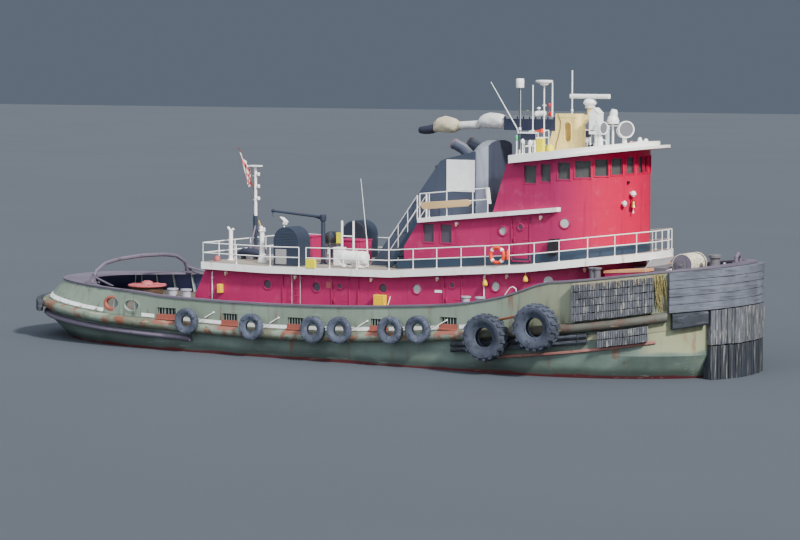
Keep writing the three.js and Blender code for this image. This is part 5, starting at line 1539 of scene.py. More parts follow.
def door_leaf(shape, side, half, x0, x1, low, high, porthole):
    """Raised panel, porthole, three dogs with handles on the free edge and three hinge straps."""
    face = side * half
    shape.side_box(side, (x0 + 0.06, x1 - 0.06), (half, half + 0.014), (low + 0.06, high - 0.06))
    round_frame(shape, ((x0 + x1) / 2, face + side * 0.02, porthole), (0, side, 0), 0.11)
    for share in (0.18, 0.5, 0.82):
        z = low + (high - low) * share
        grip = face + side * 0.04
        shape.tube([(x0 + 0.03, face, z), (x0 + 0.03, face + side * 0.045, z)], 0.016, 8)
        shape.side_box(side, (x1 - 0.28, x1 - 0.052), (half, half + 0.022), (z - 0.025, z + 0.025))
        shape.tube([(x0 + 0.03, grip, z - 0.06), (x0 + 0.05, grip, z + 0.07)], 0.014, 8)


def door_fittings(looks):
    """Frame, leaf fittings and pane of each watertight door. It hinges forward."""
    for node, half, x0, x1, low, high, porthole in DOORS:
        frames = Shape()
        for side_name, side in SIDES.items():
            body = f"{node}_{side_name}"
            door_frame(frames, side, half, x0, x1, low, high)
            leaf, glass = Shape(), Shape()
            door_leaf(leaf, side, half, x0, x1, low, high, porthole)
            leaf.piece(f"{node}_fittings_{side_name}", looks["house"], body=body, bevel=0.004,
                       slot="maroon_paint")
            pane(glass, ((x0 + x1) / 2, side * (half + 0.018), porthole), (0, side, 0), 0.11)
            glass.piece(f"{node}_pane_{side_name}", looks["pane"], body=body, slot="window_glass")
        frames.piece(f"{node}_frames", looks["house"], bevel=0.006, slot="maroon_paint")


HOUSE_PIPES = [
    # x, lowest z over the deck, highest z under the boat deck, name
    (-7.02, 0.15, 0.10, "pale"), (-3.55, 0.1, 0.03, "maroon"), (0.02, 0.25, 0.14, "maroon"),
    (5.72, 0.2, 0.06, "pale"),
]
DECK_THICK = 0.28


def house_pipes(looks):
    """Thin pipes up the deckhouse walls, held by clips."""
    shapes = {"pale": Shape(), "maroon": Shape()}
    for x, lift, drop, name in HOUSE_PIPES:
        low, high = sheer(x) + lift + 0.06, boat_deck(x) - DECK_THICK - drop
        for side in SIDES.values():
            y = side * (HOUSE_HALF + 0.03)
            shapes[name].tube([(x, y, low), (x, y, high - 0.06), (x + 0.03, y, high)], 0.022, 8)
            for share in (0.15, 0.5, 0.85):
                z = low + (high - low) * share
                shapes[name].side_box(side, (x - 0.04, x + 0.04), (HOUSE_HALF, HOUSE_HALF + 0.045),
                                      (z - 0.015, z + 0.015))
    shapes["pale"].piece("wall_pipes_pale", looks["clean_white"])
    shapes["maroon"].piece("wall_pipes_maroon", looks["house"])


UNDER_DECK_LAMPS = [-6.34, -2.96, 0.62, 3.64, 6.72, 9.6]


def wall_lamps(looks):
    """Bulkhead lamps under the boat deck and the bridge deck: a base, a guard and a lens."""
    bases, lenses = Shape(), Shape()
    skin = Skin("deckhouse", "upper_house")
    rows = [(x, boat_deck(x) - DECK_THICK - 0.13) for x in UNDER_DECK_LAMPS]
    rows += [(x, bridge(x) - 0.32) for x in (4.2, 7.9)]
    for x, z in rows:
        for side in SIDES.values():
            place, normal = skin.outside(x, z, side)
            if place is None:
                continue
            bases.turned([(0.06, -0.01), (0.06, 0.02), (0.03, 0.03), (0.03, 0.07)], place, normal, 16)
            drop = place + normal * 0.06
            bases.turned([(0.045, 0.0), (0.052, 0.035), (0.03, 0.05)], drop, UP, 14)
            lenses.turned([(0.03, -0.10), (0.045, -0.07), (0.045, 0.0)], drop, UP, 14)
    bases.piece("wall_lamp_bases", looks["clean_white"], slot="white_gloss")
    lenses.piece("wall_lamp_lenses", looks["warm_lens"], slot="white_gloss")


LADDER_RAILS = (-3.06, -2.66)
BENT_RAIL = [(7.20, 2.80), (7.52, 3.22), (7.66, 3.27), (7.78, 3.20), (7.80, 3.10)]


def house_fittings(looks):
    """Yellow boxes and float bags, plates and hand rails on the deckhouse side, and a ladder."""
    yellow, white, red, ladder, rungs = Shape(), Shape(), Shape(), Shape(), Shape()
    box_out, plate_out = (HOUSE_HALF, HOUSE_HALF + 0.22), (HOUSE_HALF + 0.001, HOUSE_HALF + 0.014)
    for side in SIDES.values():
        yellow.side_box(side, (0.83, 1.33), box_out, (2.12, 2.58))
        yellow.side_box(side, (-6.66, -6.48), box_out, (2.30, 2.66))
        grip = side * (HOUSE_HALF + 0.05)
        white.tube([(1.38, grip, 2.10), (1.52, grip, 2.52)], 0.022, 8)
        wall, y = side * (HOUSE_HALF + 0.012), side * (HOUSE_HALF + 0.15)
        for x, z in ((5.84, 3.29), (7.60, 3.52)):
            yellow.turned([(0.02, -0.16), (0.085, -0.14), (0.10, -0.07), (0.07, 0.03), (0.03, 0.09),
                           (0.024, 0.13)], (x, y, z), UP, 18)
            white.tube([(x + 0.2, wall, z + 0.30), (x + 0.2, y, z + 0.30), (x, y, z + 0.30),
                        (x, y, z + 0.15)], 0.016, 8)
        red.side_box(side, (-1.50, -1.24), plate_out, (2.71, 2.96))
        white.side_box(side, (3.52, 3.84), plate_out, (2.77, 2.87))
        y = side * (HALF_BEAM - 0.4)
        white.tube([(x, y, z) for x, z in BENT_RAIL], 0.018, 8)
        y = side * (HOUSE_HALF + 0.12)
        for x in LADDER_RAILS:
            ladder.tube([(x, y, 1.60), (x, y, 3.20)], 0.013, 8)
            for z in (1.75, 3.05):
                ladder.tube([(x, side * HOUSE_HALF, z), (x, y, z)], 0.012, 6)
        for index in range(5):
            z = 1.78 + 0.29 * index
            rungs.tube([(x, y, z) for x in LADDER_RAILS], 0.013, 6)
    yellow.piece("yellow_boxes_and_floats", looks["yellow"], bevel=0.02)
    white.piece("float_brackets_and_hand_rails", looks["clean_white"])
    red.piece("red_blank_plate", looks["red"], bevel=0.003)
    ladder.piece("side_ladder_rails", looks["pale_pane"])
    rungs.piece("side_ladder_rungs", looks["house"])


KICK_HEIGHT = 0.37


def front_place(degrees):
    """A point of the round front at an angle from abeam to starboard towards the bow, and its outward way."""
    turn = math.radians(degrees)
    out = Vector((math.sin(turn), -math.cos(turn), 0))
    return Vector((UPPER_FRONT, 0, 0)) + out * UPPER_HALF, out


def upper_kick(looks):
    """Dark blue-grey painted band round the foot of the upper house."""
    abeam = Vector((0, -1, 0))
    places = [(Vector((1.48 + 0.4 * index, -UPPER_HALF, 0)), abeam) for index in range(17)]
    places += [front_place(degrees) for degrees in range(0, 91, 6)]
    for side_name, side in SIDES.items():
        shape = Shape()
        rings = []
        for place, out in places:
            base = boat_deck(place.x)
            rings.append(band_ring(side, place, out, base + 0.004, base + KICK_HEIGHT, HAIR))
        shape.loft(rings)
        shape.piece(f"kick_band_{side_name}", looks["kick"], slot="stack_paint")


def band_ring(side, place, out, low, high, proud):
    """Cross section of a painted band on a wall, drawn to starboard and set on the asked side."""
    ring = []
    for push, z in ((-0.01, low), (proud, low), (proud, high), (-0.01, high)):
        corner = place + out * push
        ring.append((corner.x, corner.y * -side, z))
    return ring


FRONT_LAMPS = [
    # degrees from the bow, z, radius
    (17.5, 6.69, 0.09), (26.5, 6.33, 0.07),
]
BELL_TURN, BELL_Z = 17.5, 6.28
SMALL_LAMP_TURN, SMALL_LAMP_Z = 21, 7.11
UPPER_WINDOWS = ((2.70, 3.16), (3.48, 3.96))


def on_front(degrees, z):
    """A point of the round front at an angle from the bow to starboard, and its outward way."""
    place, out = front_place(90 - degrees)
    return place + Vector((0, 0, z)), out


def upper_windows(looks):
    """Vent boxes, window frames and panes on the sides of the upper house."""
    black, frames, panes = Shape(), Shape(), Shape()
    for side in SIDES.values():
        y = side * (UPPER_HALF - 0.01)
        black.slab([(8.20, y, 4.40), (8.60, y, 4.42), (8.72, y, 5.02), (8.30, y, 4.98)], (0, side * 0.17, 0))
        for x0, x1 in UPPER_WINDOWS:
            window_rim(frames, side, x0, x1, 4.67, 5.37, UPPER_HALF)
            panes.side_box(side, (x0 - 0.01, x1 + 0.01), (UPPER_HALF - 0.05, UPPER_HALF - 0.035),
                           (4.66, 5.38))
    black.piece("vent_boxes", looks["black"], bevel=0.02)
    frames.piece("upper_window_frames", looks["house"], bevel=0.004, slot="maroon_paint")
    panes.piece("upper_window_panes", looks["pane"], slot="window_glass")


def upper_fittings(looks):
    """Lamps and a bell with its pendant on the round front."""
    white, bell, pendant, black_lamp = Shape(), Shape(), Shape(), Shape()
    for degrees, z, size in FRONT_LAMPS:
        foot, out = on_front(degrees, z)
        white.turned([(0.05, -0.01), (0.05, 0.04), (0.03, 0.05), (0.03, 0.12)], foot, out, 14)
        white.turned([(size * 0.6, -0.12), (size * 1.25, -0.04), (size, 0.06), (size * 0.3, 0.10)],
                     foot + out * 0.14, UP, 18)
    wall, out = on_front(BELL_TURN, BELL_Z)
    hang = wall + out * 0.14
    bell.turned([(0.03, 0.13), (0.05, 0.11), (0.07, 0.04), (0.085, -0.04), (0.12, -0.11)], hang, UP, 20)
    bell.tube([wall - out * 0.02 + lifted(0.16), hang + lifted(0.16), hang + lifted(0.1)], 0.018, 8)
    pendant.tube([hang + lifted(-0.10), hang + lifted(-0.31)], 0.012, 8)
    pendant.turned([(0.01, -0.05), (0.032, -0.03), (0.02, 0.04)], hang + lifted(-0.30), UP, 12)
    foot, out = on_front(SMALL_LAMP_TURN, SMALL_LAMP_Z)
    black_lamp.turned([(0.05, -0.01), (0.05, 0.05), (0.035, 0.10)], foot, out, 16)
    white.piece("front_lamps", looks["clean_white"], slot="white_gloss")
    pendant.piece("bell_pendant", looks["clean_white"], slot="white_gloss")
    black_lamp.piece("front_small_lamp", looks["black"])
    bell.piece("front_bell", looks["bronze"], slot="bronze")


def window_rim(shape, side, x0, x1, z0, z1, half, wide=0.045, proud=0.018):
    out = (half - 0.02, half + proud)
    shape.side_box(side, (x0 - wide, x0), out, (z0 - wide, z1 + wide))
    shape.side_box(side, (x1, x1 + wide), out, (z0 - wide, z1 + wide))
    shape.side_box(side, (x0, x1), out, (z1, z1 + wide))
    shape.side_box(side, (x0, x1), out, (z0 - wide, z0))


SIDE_WINDOWS = [(7.16, 7.68), (7.88, 8.30)]
FRONT_WINDOWS = [(12.6, 0.48), (28.4, 0.60), (44, 0.52), (58, 0.48), (71.8, 0.40), (86.2, 0.42)]
# A point of the sill and of the lintel, and how much each rises for each metre forward
SILL_X, SILL_Z, SILL_RISE = 7.7, 7.11, 0.105
LINTEL_X, LINTEL_Z, LINTEL_RISE = 7.2, 7.73, 0.09


def sill(x):
    return SILL_Z + (x - SILL_X) * SILL_RISE


def lintel(x):
    return LINTEL_Z + (x - LINTEL_X) * LINTEL_RISE


def front_window(shape, side, degrees, half, wide, out, low, high):
    """Four bars round a pane of the round front, at an angle from abeam towards the bow."""
    spin = Matrix.Rotation(math.radians(degrees), 3, "Z")
    bars = [((-half - wide, low - wide), (-half, high + wide)),
            ((half, low - wide), (half + wide, high + wide)),
            ((-half, high), (half, high + wide)), ((-half, low - wide), (half, low))]
    for (start, bottom), (end, top) in bars:
        corners = []
        for u in (start, end):
            for v in (-UPPER_HALF - out + 0.035, -UPPER_HALF - out):
                for z in (bottom, top):
                    place = spin @ Vector((u, v, 0)) + Vector((UPPER_FRONT, 0, z))
                    corners.append((place.x, place.y * -side, place.z))
        shape.faces(corners, BOX_LOOPS)


def wheelhouse_windows(looks):
    """Frames round the panes and thin bright beads inside them."""
    frames, beads = Shape(), Shape()
    for side in SIDES.values():
        for x0, x1 in SIDE_WINDOWS:
            window_rim(frames, side, x0, x1, sill(x0), lintel(x0), UPPER_HALF, 0.035, 0.012)
            window_rim(beads, side, x0 + 0.03, x1 - 0.03, sill(x0) + 0.03, lintel(x0) - 0.03,
                       UPPER_HALF - 0.045, 0.03, 0.0)
        for degrees, width in FRONT_WINDOWS:
            x = front_place(degrees)[0].x
            for shape, inset, out, wide in ((frames, 0.0, 0.014, 0.035), (beads, 0.03, -0.045, 0.03)):
                front_window(shape, side, degrees, width / 2 - inset, wide, out, sill(x) + inset,
                             lintel(x) - inset)
    # The frames take the house maroon with painted sunlight on the round front.
    frames.piece("wheelhouse_window_frames", looks["sunny_house"], bevel=0.003, slot="maroon_paint")
    beads.piece("wheelhouse_window_beads", looks["bead"], slot="lamp_steel")


BAND_START = 8.64


def bridge_front_paint(looks):
    """The round forward part of the bridge deck is painted as the house is, painted sunlight included; its
    side ledges are white.
    """
    places = [front_place(degrees) for degrees in range(0, 91, 5)]
    for side_name, side in SIDES.items():
        shape = Shape()
        rings = []
        for place, out in places:
            if place.x >= BAND_START:
                top = bridge(place.x)
                rings.append(band_ring(side, place, out, top - 0.18, top + 0.02, 0.003))
        shape.loft(rings)
        # The band takes the house maroon with painted sunlight on the round front.
        shape.piece(f"round_front_band_{side_name}", looks["sunny_house"], slot="maroon_paint")


def arc_round_front(radius, degrees):
    return [(UPPER_FRONT + radius * math.cos(math.radians(d)),
             radius * math.sin(math.radians(d))) for d in degrees]


def wheelhouse_inside(looks):
    """Console, wheel, chair and lining seen through the panes."""
    console, chair, wheel, lining = Shape(), Shape(), Shape(), Shape()
    floor_z = bridge(8.0) + 0.02
    outline = arc_round_front(2.3, range(-75, 76, 15)) + arc_round_front(1.75, range(75, -76, -15))
    console.slab([(x, y, floor_z + 0.2) for x, y in outline], (0, 0, 0.78))
    console.piece("wheelhouse_console", looks["navy"], bevel=0.01)
    chair.turned([(0.25, 0.0), (0.06, 0.06), (0.06, 0.6), (0.24, 0.62)], (8.9, 0.1, floor_z), UP, 18)
    chair.box((8.65, -0.18, floor_z + 0.6), (9.15, 0.38, floor_z + 0.72))
    chair.box((8.6, -0.18, floor_z + 0.7), (8.72, 0.38, floor_z + 1.3))
    chair.piece("helm_chair", looks["black"], bevel=0.04)
    wheel.tube([(9.75 + 0.12 * math.sin(t), 0.1 + 0.32 * math.cos(t), floor_z + 1.15 + 0.30 * math.sin(t))
                for t in full_turn(24)], 0.022, 8, closed=True)
    wheel.tube([(9.9, 0.1, floor_z + 1.1), (9.72, 0.1, floor_z + 1.15)], 0.05, 10)
    wheel.piece("helm_wheel", looks["bronze"], slot="bronze")
    lining.box((6.9, -1.9, 6.0), (6.96, 1.9, 7.55))
    lining.piece("wheelhouse_back_panel", looks["tan"])


BUOY_X, BUOY_Y, BUOY_LIFT = 6.47, 3.43, 0.41
BUOY_RADIUS, BUOY_THICK = 0.285, 0.07
BAND_ARC = (-0.16, -0.08, 0, 0.08, 0.16)     # radians to both sides of a band's middle


def on_buoy(centre, turns):
    return [centre + Vector((BUOY_RADIUS * math.cos(t), 0, BUOY_RADIUS * math.sin(t))) for t in turns]


def life_rings(looks):
    """Ring buoy with four pale bands and a smoke float beside it, on the rail."""
    ring, bands, light = Shape(), Shape(), Shape()
    for side in SIDES.values():
        centre = Vector((BUOY_X, side * BUOY_Y, boat_deck(BUOY_X) + BUOY_LIFT))
        ring.tube(on_buoy(centre, full_turn(36)), BUOY_THICK, 12, closed=True)
        for quarter in full_turn(4):
            turns = [math.pi / 4 + quarter + part for part in BAND_ARC]
            bands.tube(on_buoy(centre, turns), BUOY_THICK + 0.004, 12)
        light.turned([(0.03, -0.18), (0.055, -0.17), (0.055, 0.12), (0.03, 0.16), (0.02, 0.22)],
                     centre + Vector((0.46, 0, 0.02)), UP, 16)
    ring.piece("ring_buoys", looks["orange"])
    bands.piece("ring_buoy_bands", looks["clean_white"], slot="white_gloss")
    light.piece("ring_buoy_lights", looks["orange"])


# Rails
RAIL_RADIUS = 0.020
BOAT_DECK_HALF = 3.4
RAIL_INSET = 0.06
RAIL_TOP, RAIL_MID = 0.78, 0.375
RAIL_AFT_POSTS = (-7.32, -5.67, -4.02, -2.64)
RAIL_SIDE_POSTS = (-2.30, -1.18, 0.09, 1.58, 2.68, 3.74, 4.83, 5.89, 6.94)
RAIL_FRONT_TURNS = (4.6, 17.9, 33.9, 50.5, 65.9, 79.8)
NOSE_START, NOSE_REACH, NOSE_POWER = 7.6, 4.15, 2.2


def rail_front():
    """Places of the posts round the deck's nose, on the starboard side."""
    half = BOAT_DECK_HALF - RAIL_INSET
    reach = NOSE_REACH - RAIL_INSET
    turns = [math.radians(degrees) for degrees in RAIL_FRONT_TURNS]
    return [(NOSE_START + reach * math.sin(turn) ** (2 / NOSE_POWER),
             -half * math.cos(turn) ** (2 / NOSE_POWER))
            for turn in turns]


def rail_run(shape, points, base, heights):
    """Bars at some heights over a deck, and a post with a foot at each point."""
    for height in heights:
        shape.tube([(x, y, base(x) + height) for x, y in points], RAIL_RADIUS, 8)
    for x, y in points:
        shape.tube([(x, y, base(x) - 0.01), (x, y, base(x) + max(heights))], RAIL_RADIUS * 0.95, 8)
        shape.turned([(0.05, 0.0), (0.05, 0.012), (0.024, 0.03)], (x, y, base(x)), UP, 10)


def boat_deck_rails(looks):
    """Rails along both sides, round the nose and across the after end of the boat deck."""
    shape = Shape()
    half = BOAT_DECK_HALF - RAIL_INSET
    front = rail_front()
    runs = []
    for side in SIDES.values():
        runs.append([(x, side * half) for x in RAIL_AFT_POSTS])
        runs.append([(x, side * half) for x in RAIL_SIDE_POSTS] + [(x, y * -side) for x, y in front])
    last_x, last_y = front[-1]
    runs.append([(last_x, last_y), (NOSE_START + NOSE_REACH - RAIL_INSET, 0.0), (last_x, -last_y)])
    runs.append([(RAIL_AFT_POSTS[0], -half + 2 * half * index / 6) for index in range(7)])
    for run in runs:
        rail_run(shape, run, boat_deck, (RAIL_TOP, RAIL_MID))
    piece = shape.piece("boat_deck_rails", looks["rail"], slot="white_paint")
    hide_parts("boat_deck_rail")


BRIDGE_EDGE = 2.76
BRIDGE_RAIL_END = 2.28
BRIDGE_RAIL_HEIGHTS = (0.95, 0.52)
BRIDGE_POSTS = (5.66, 5.0, 3.84, 3.05, 2.62)
NAME_BOARD = [(2.68, 6.06), (2.80, 5.94), (4.80, 6.12), (4.96, 6.23), (4.96, 6.28), (4.80, 6.38),
              (2.80, 6.22), (2.68, 6.14)]


def bridge_rails(looks):
    """Rails with a slanted end plate beside the bridge deck, and a blank name board on each."""
    for side_name, side in SIDES.items():
        node = f"bridge_rail_{side_name}"
        shape = Shape()
        points = [(x, side * BRIDGE_EDGE) for x in BRIDGE_POSTS]
        rail_run(shape, [*points, (BRIDGE_POSTS[-1], side * BRIDGE_RAIL_END)], bridge, BRIDGE_RAIL_HEIGHTS)
        top, foot = bridge(5.6) + 0.97, bridge(5.6) + 0.36
        end_plate = ((5.56, top), (5.71, top), (5.79, foot), (5.64, foot))
        shape.slab([(x, side * BRIDGE_EDGE, z) for x, z in end_plate], (0, -side * 0.05, 0))
        piece = shape.piece(f"bridge_rails_{side_name}", looks["rail"], slot="white_paint")
        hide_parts(node)
        board = Shape()
        board.slab([(x, side * (BRIDGE_EDGE + 0.05), z) for x, z in NAME_BOARD], (0, -side * 0.035, 0))
        piece = board.piece(f"blank_name_board_{side_name}", looks["board"], bevel=0.01)
        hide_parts(node)


# Boat deck gear
def box_on_deck(shape, x, y, half_x, half_y, low, high):
    """A box round (x, y) between two heights over the boat deck."""
    base = boat_deck(x)
    shape.box((x - half_x, y - half_y, base + low), (x + half_x, y + half_y, base + high))


LOCKERS = [
    # name, x, y, half length, half width, height, look
    ("locker_aft", -4.35, -1.50, 0.33, 0.35, 0.90, "ash"),
    ("trunk_middle", -2.37, 0.30, 0.56, 0.40, 0.90, "house"),
    ("locker_port", -4.95, 1.00, 0.33, 0.40, 0.95, "house"),
    ("cabinet_white", -1.82, -1.65, 0.16, 0.18, 0.70, "clean_white"),
]
COVER = 0.012


def lockers(looks):
    """Doored shells over the deck's lockers: lid, door panel, hinges and latch."""
    for name, x, y, half_x, half_y, height, look in LOCKERS:
        shape = Shape()
        box_on_deck(shape, x, y, half_x + COVER, half_y + COVER, 0.004, height - 0.05)
        box_on_deck(shape, x, y, half_x + 0.035, half_y + 0.035, height - 0.05, height + 0.012)
        box_on_deck(shape, x, y - half_y - COVER, half_x * 0.82, 0.012, 0.10, height - 0.12)
        for z in (0.22, height - 0.25):
            box_on_deck(shape, x - half_x * 0.78, y - half_y - 0.028, 0.03, 0.012, z - 0.04, z + 0.04)
        box_on_deck(shape, x + half_x * 0.6, y - half_y - 0.032, 0.015, 0.014, height * 0.5 - 0.06,
                    height * 0.5 + 0.06)
        shape.piece(name, looks[look], bevel=0.012)


FORKED_POST = (-6.96, -1.9)
LAMP_PEDESTAL_X = -5.41
TWIN_POLES_X, TWIN_POLES_Y = (-2.19, -1.64), -0.9


def deck_posts(looks):
    """White Y-topped post, flared lamp pedestal and the two thin poles with their bar."""
    posts = Shape()
    x, y = FORKED_POST
    base = boat_deck(x)
    posts.turned([(0.15, 0.0), (0.15, 0.02), (0.09, 0.05), (0.083, 1.22)], (x, y, base), UP, 20)
    posts.tube([(x, y, base + 1.18), (x - 0.15, y, base + 1.34)], 0.05, 12)
    posts.tube([(x, y, base + 1.18), (x + 0.13, y, base + 1.28)], 0.05, 12)
    x = LAMP_PEDESTAL_X
    base = boat_deck(x)
    posts.turned([(0.19, 0.0), (0.18, 0.05), (0.11, 0.28), (0.093, 0.5), (0.093, 1.22), (0.15, 1.26),
                  (0.15, 1.285)], (x, y, base), UP, 24)
    posts.turned([(0.05, 1.27), (0.075, 1.32), (0.075, 1.42), (0.04, 1.47)], (x - 0.04, y, base), UP, 16)
    posts.turned([(0.03, 1.27), (0.05, 1.30), (0.05, 1.38), (0.02, 1.41)], (x + 0.10, y, base), UP, 14)
    for x in TWIN_POLES_X:
        base = boat_deck(x)
        posts.tube([(x, TWIN_POLES_Y, base), (x, TWIN_POLES_Y, base + 1.722)], 0.044, 12)
    posts.tube([(x, TWIN_POLES_Y, base + 1.10) for x in TWIN_POLES_X], 0.03, 10)
    posts.piece("deck_posts", looks["white"], bevel=0.004, slot="white_paint")


def floodlight(looks):
    """Tilted flood light on the hood's aft shoulder."""
    shape, lens = Shape(), Shape()
    turn = Matrix.Rotation(math.radians(28), 3, "Y") @ Matrix.Rotation(math.radians(-20), 3, "Z")
    centre = (-3.95, -2.5, 5.26)
    shape.box((-4.13, -2.62, 5.17), (-3.77, -2.38, 5.35), turn, centre)
    shape.tube([(-3.95, -2.5, 5.20), (-3.9, -2.5, 4.98)], 0.03, 10)
    lens.box((-4.11, -2.64, 5.185), (-3.79, -2.615, 5.335), turn, centre)
    shape.piece("flood_light", looks["clean_white"], bevel=0.02, slot="white_gloss")
    lens.piece("flood_light_lens", looks["lens"], slot="white_gloss")


HOOD_X = -3.53
HOOD_RADIUS = 0.6
HOOD_RISE, HOOD_CROWN = 0.98, 0.57
HOOD_FACE, HOOD_DEEP = 2.95, 0.92
HOOD_RIM = 0.012
HOOD_SLATS, HOOD_SLAT_LEAN = 11, 32


def hood_outline(shrink):
    """Foot corners and the crown's half oval, as (x, z), a little smaller all round."""
    base = boat_deck(HOOD_X)
    wide, high = HOOD_RADIUS - shrink, HOOD_CROWN - shrink
    crown = [(HOOD_X + wide * math.cos(t), base + HOOD_RISE + high * math.sin(t)) for t in half_turn(20)]
    return [(HOOD_X - wide, base - 0.01), (HOOD_X + wide, base - 0.01), *crown]


def vent_hoods(looks):
    """Curved hoods with a rolled rim round the face, a recessed grille and a pale lower door."""
    for side_name, side in SIDES.items():
        node = f"vent_hood_{side_name}"
        face = side * HOOD_FACE
        back = side * (HOOD_FACE - HOOD_DEEP)
        base = boat_deck(HOOD_X)
        shape = Shape()
        shape.loft([[(x, y, z) for x, z in hood_outline(shrink)]
                    for y, shrink in ((face, HOOD_RIM), (face, 0.0), (face - side * 0.03, 0.0),
                                      (back + side * 0.05, 0.0), (back, 0.05))])
        wide = HOOD_RADIUS - HOOD_RIM
        outline = [(HOOD_X + wide, base + 0.02), *hood_outline(HOOD_RIM)[2:], (HOOD_X - wide, base + 0.02)]
        shape.tube([(x, face - side * HOOD_RIM, z) for x, z in outline], HOOD_RIM, 8)
        near, far = sorted((face - side * 0.02, face))
        turn = Matrix.Rotation(math.radians(HOOD_SLAT_LEAN * side), 3, "X")
        for index in range(HOOD_SLATS):
            height = 0.72 + 0.062 * index
            rise = max(0.0, height - HOOD_RISE) / (HOOD_CROWN - 0.06)
            reach = (HOOD_RADIUS - 0.10) * math.sqrt(max(0.04, 1 - rise ** 2))
            z = base + height
            shape.box((HOOD_X - reach, near, z - 0.022), (HOOD_X + reach, far, z + 0.018), turn,
                      (HOOD_X, near, z))
        piece = shape.piece(f"vent_hood_shell_{side_name}", looks["dark_blue"], bevel=0.006,
                            slot="stack_paint")
        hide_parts(node)
        door = Shape()
        door.side_box(side, (HOOD_X - 0.50, HOOD_X + 0.02), (HOOD_FACE - 0.03, HOOD_FACE + 0.004),
                      (base + 0.06, base + 0.66))
        piece = door.piece(f"vent_hood_door_{side_name}", looks["ash"], bevel=0.003, slot="stack_paint")
        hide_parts(node)


DAVIT = (-2.7, -1.5)
DAVIT_TOP = 5.25
DAVIT_REACH = 2.47


def davit(looks):
    """Bolted post, and an arm with a sheave and a hook that slews on it."""
    x, y = DAVIT
    base = boat_deck(x)
    post = Shape()
    post.turned([(0.17, 0.0), (0.17, 0.03), (0.09, 0.05), (0.086, 0.2), (0.083, DAVIT_TOP - base)],
                (x, y, base), UP, 24)
    for bolt in circle((x, y, base), 0.13, 6):
        post.turned([(0.022, 0.028), (0.022, 0.055)], bolt, UP, 6)
    piece = post.piece("davit_post_bar", looks["dark_blue"], bevel=0.006, slot="stack_paint")
    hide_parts("davit_post")
    arm = Shape()
    top = DAVIT_TOP
    arm.turned([(0.12, 0.002), (0.125, 0.02), (0.125, 0.235), (0.08, 0.258)], (x, y, top), UP, 24)
    arm.tube([(x, y, top + 0.15), (x - 1.2, y, top + 0.235), (x - DAVIT_REACH, y, top + 0.33)],
             [0.062, 0.055, 0.045], 12)
    arm.slab([(x, y - 0.015, top + 0.02), (x, y - 0.015, top + 0.15), (x - 0.7, y - 0.015, top + 0.19)],
             (0, 0.03, 0))
    end = (x - DAVIT_REACH + 0.03, y, top + 0.325)
    arm.turned([(0.05, -0.03), (0.075, -0.028), (0.075, 0.028), (0.05, 0.03)], end, TO_PORT, 18)
    arm.tube([(end[0] - 0.02, y, top + 0.28), (end[0] - 0.02, y, top + 0.13), (end[0] + 0.05, y, top + 0.08)],
             0.014, 8)
    piece = arm.piece("davit_arm_bar", looks["dark_blue"], body="davit_arm", bevel=0.004, slot="stack_paint")
    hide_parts("davit_arm")


RAFT = (-0.5, -2.6)
RAFT_RISE = 0.39
RAFT_BAND = 0.266
RAFT_HALF = [
    # radius, distance from the middle
    (0.265, 0.028), (0.262, 0.03), (0.262, 0.33), (0.254, 0.34), (0.254, 0.38), (0.262, 0.39), (0.262, 0.48),
    (0.25, 0.54), (0.215, 0.58), (0.14, 0.597), (0.002, 0.60),
]


def life_raft(looks):
    """Two-part canister with end ribs and bands on its cradle."""
    x, y = RAFT
    base = boat_deck(x)
    drum = Shape()
    profile = [(radius, -along) for radius, along in reversed(RAFT_HALF)] + RAFT_HALF
    drum.turned(profile, (x, y, base + RAFT_RISE), AHEAD, 40)
    piece = drum.piece("life_raft_canister", looks["clean_white"], slot="white_gloss")
    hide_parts("life_raft")
    cradle = Shape()
    for dx in (-0.36, 0.36):
        cradle.box((x + dx - 0.05, y - 0.27, base + 0.02), (x + dx + 0.05, y + 0.27, base + 0.11))
        for edge in (-1, 1):
            cradle.tube([(x + dx, y + edge * 0.245, base + 0.06), (x + dx, y + edge * 0.26, base + 0.28)],
                        0.024, 8)
        cradle.tube([(x + dx, y + RAFT_BAND * math.sin(t), base + RAFT_RISE + RAFT_BAND * math.cos(t))
                     for t in full_turn(28)], 0.011, 6, closed=True)
    cradle.box((x - 0.44, y - 0.04, base + 0.001), (x + 0.44, y + 0.04, base + 0.08))
    piece = cradle.piece("life_raft_cradle", looks["white"], bevel=0.006, slot="white_paint")
    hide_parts("life_raft")


WINCH_PLACE = (-2.9, -0.5)


def deck_winch(looks):
    """Round winch under a lashed cover, on a grey stand."""
    x, y = WINCH_PLACE
    base = boat_deck(x)
    stand = Shape()
    for dx in (-0.22, 0.22):
        for dy in (-0.22, 0.22):
            stand.box((x + dx - 0.06, y + dy - 0.06, base + 0.001),
                      (x + dx + 0.06, y + dy + 0.06, base + 0.70))
    stand.box((x - 0.30, y - 0.30, base + 0.001), (x + 0.30, y + 0.30, base + 0.05))
    stand.box((x - 0.30, y - 0.30, base + 0.62), (x + 0.30, y + 0.30, base + 0.75))
    piece = stand.piece("winch_stand", looks["mauve"], bevel=0.012, slot="stack_paint")
    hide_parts("deck_winch")


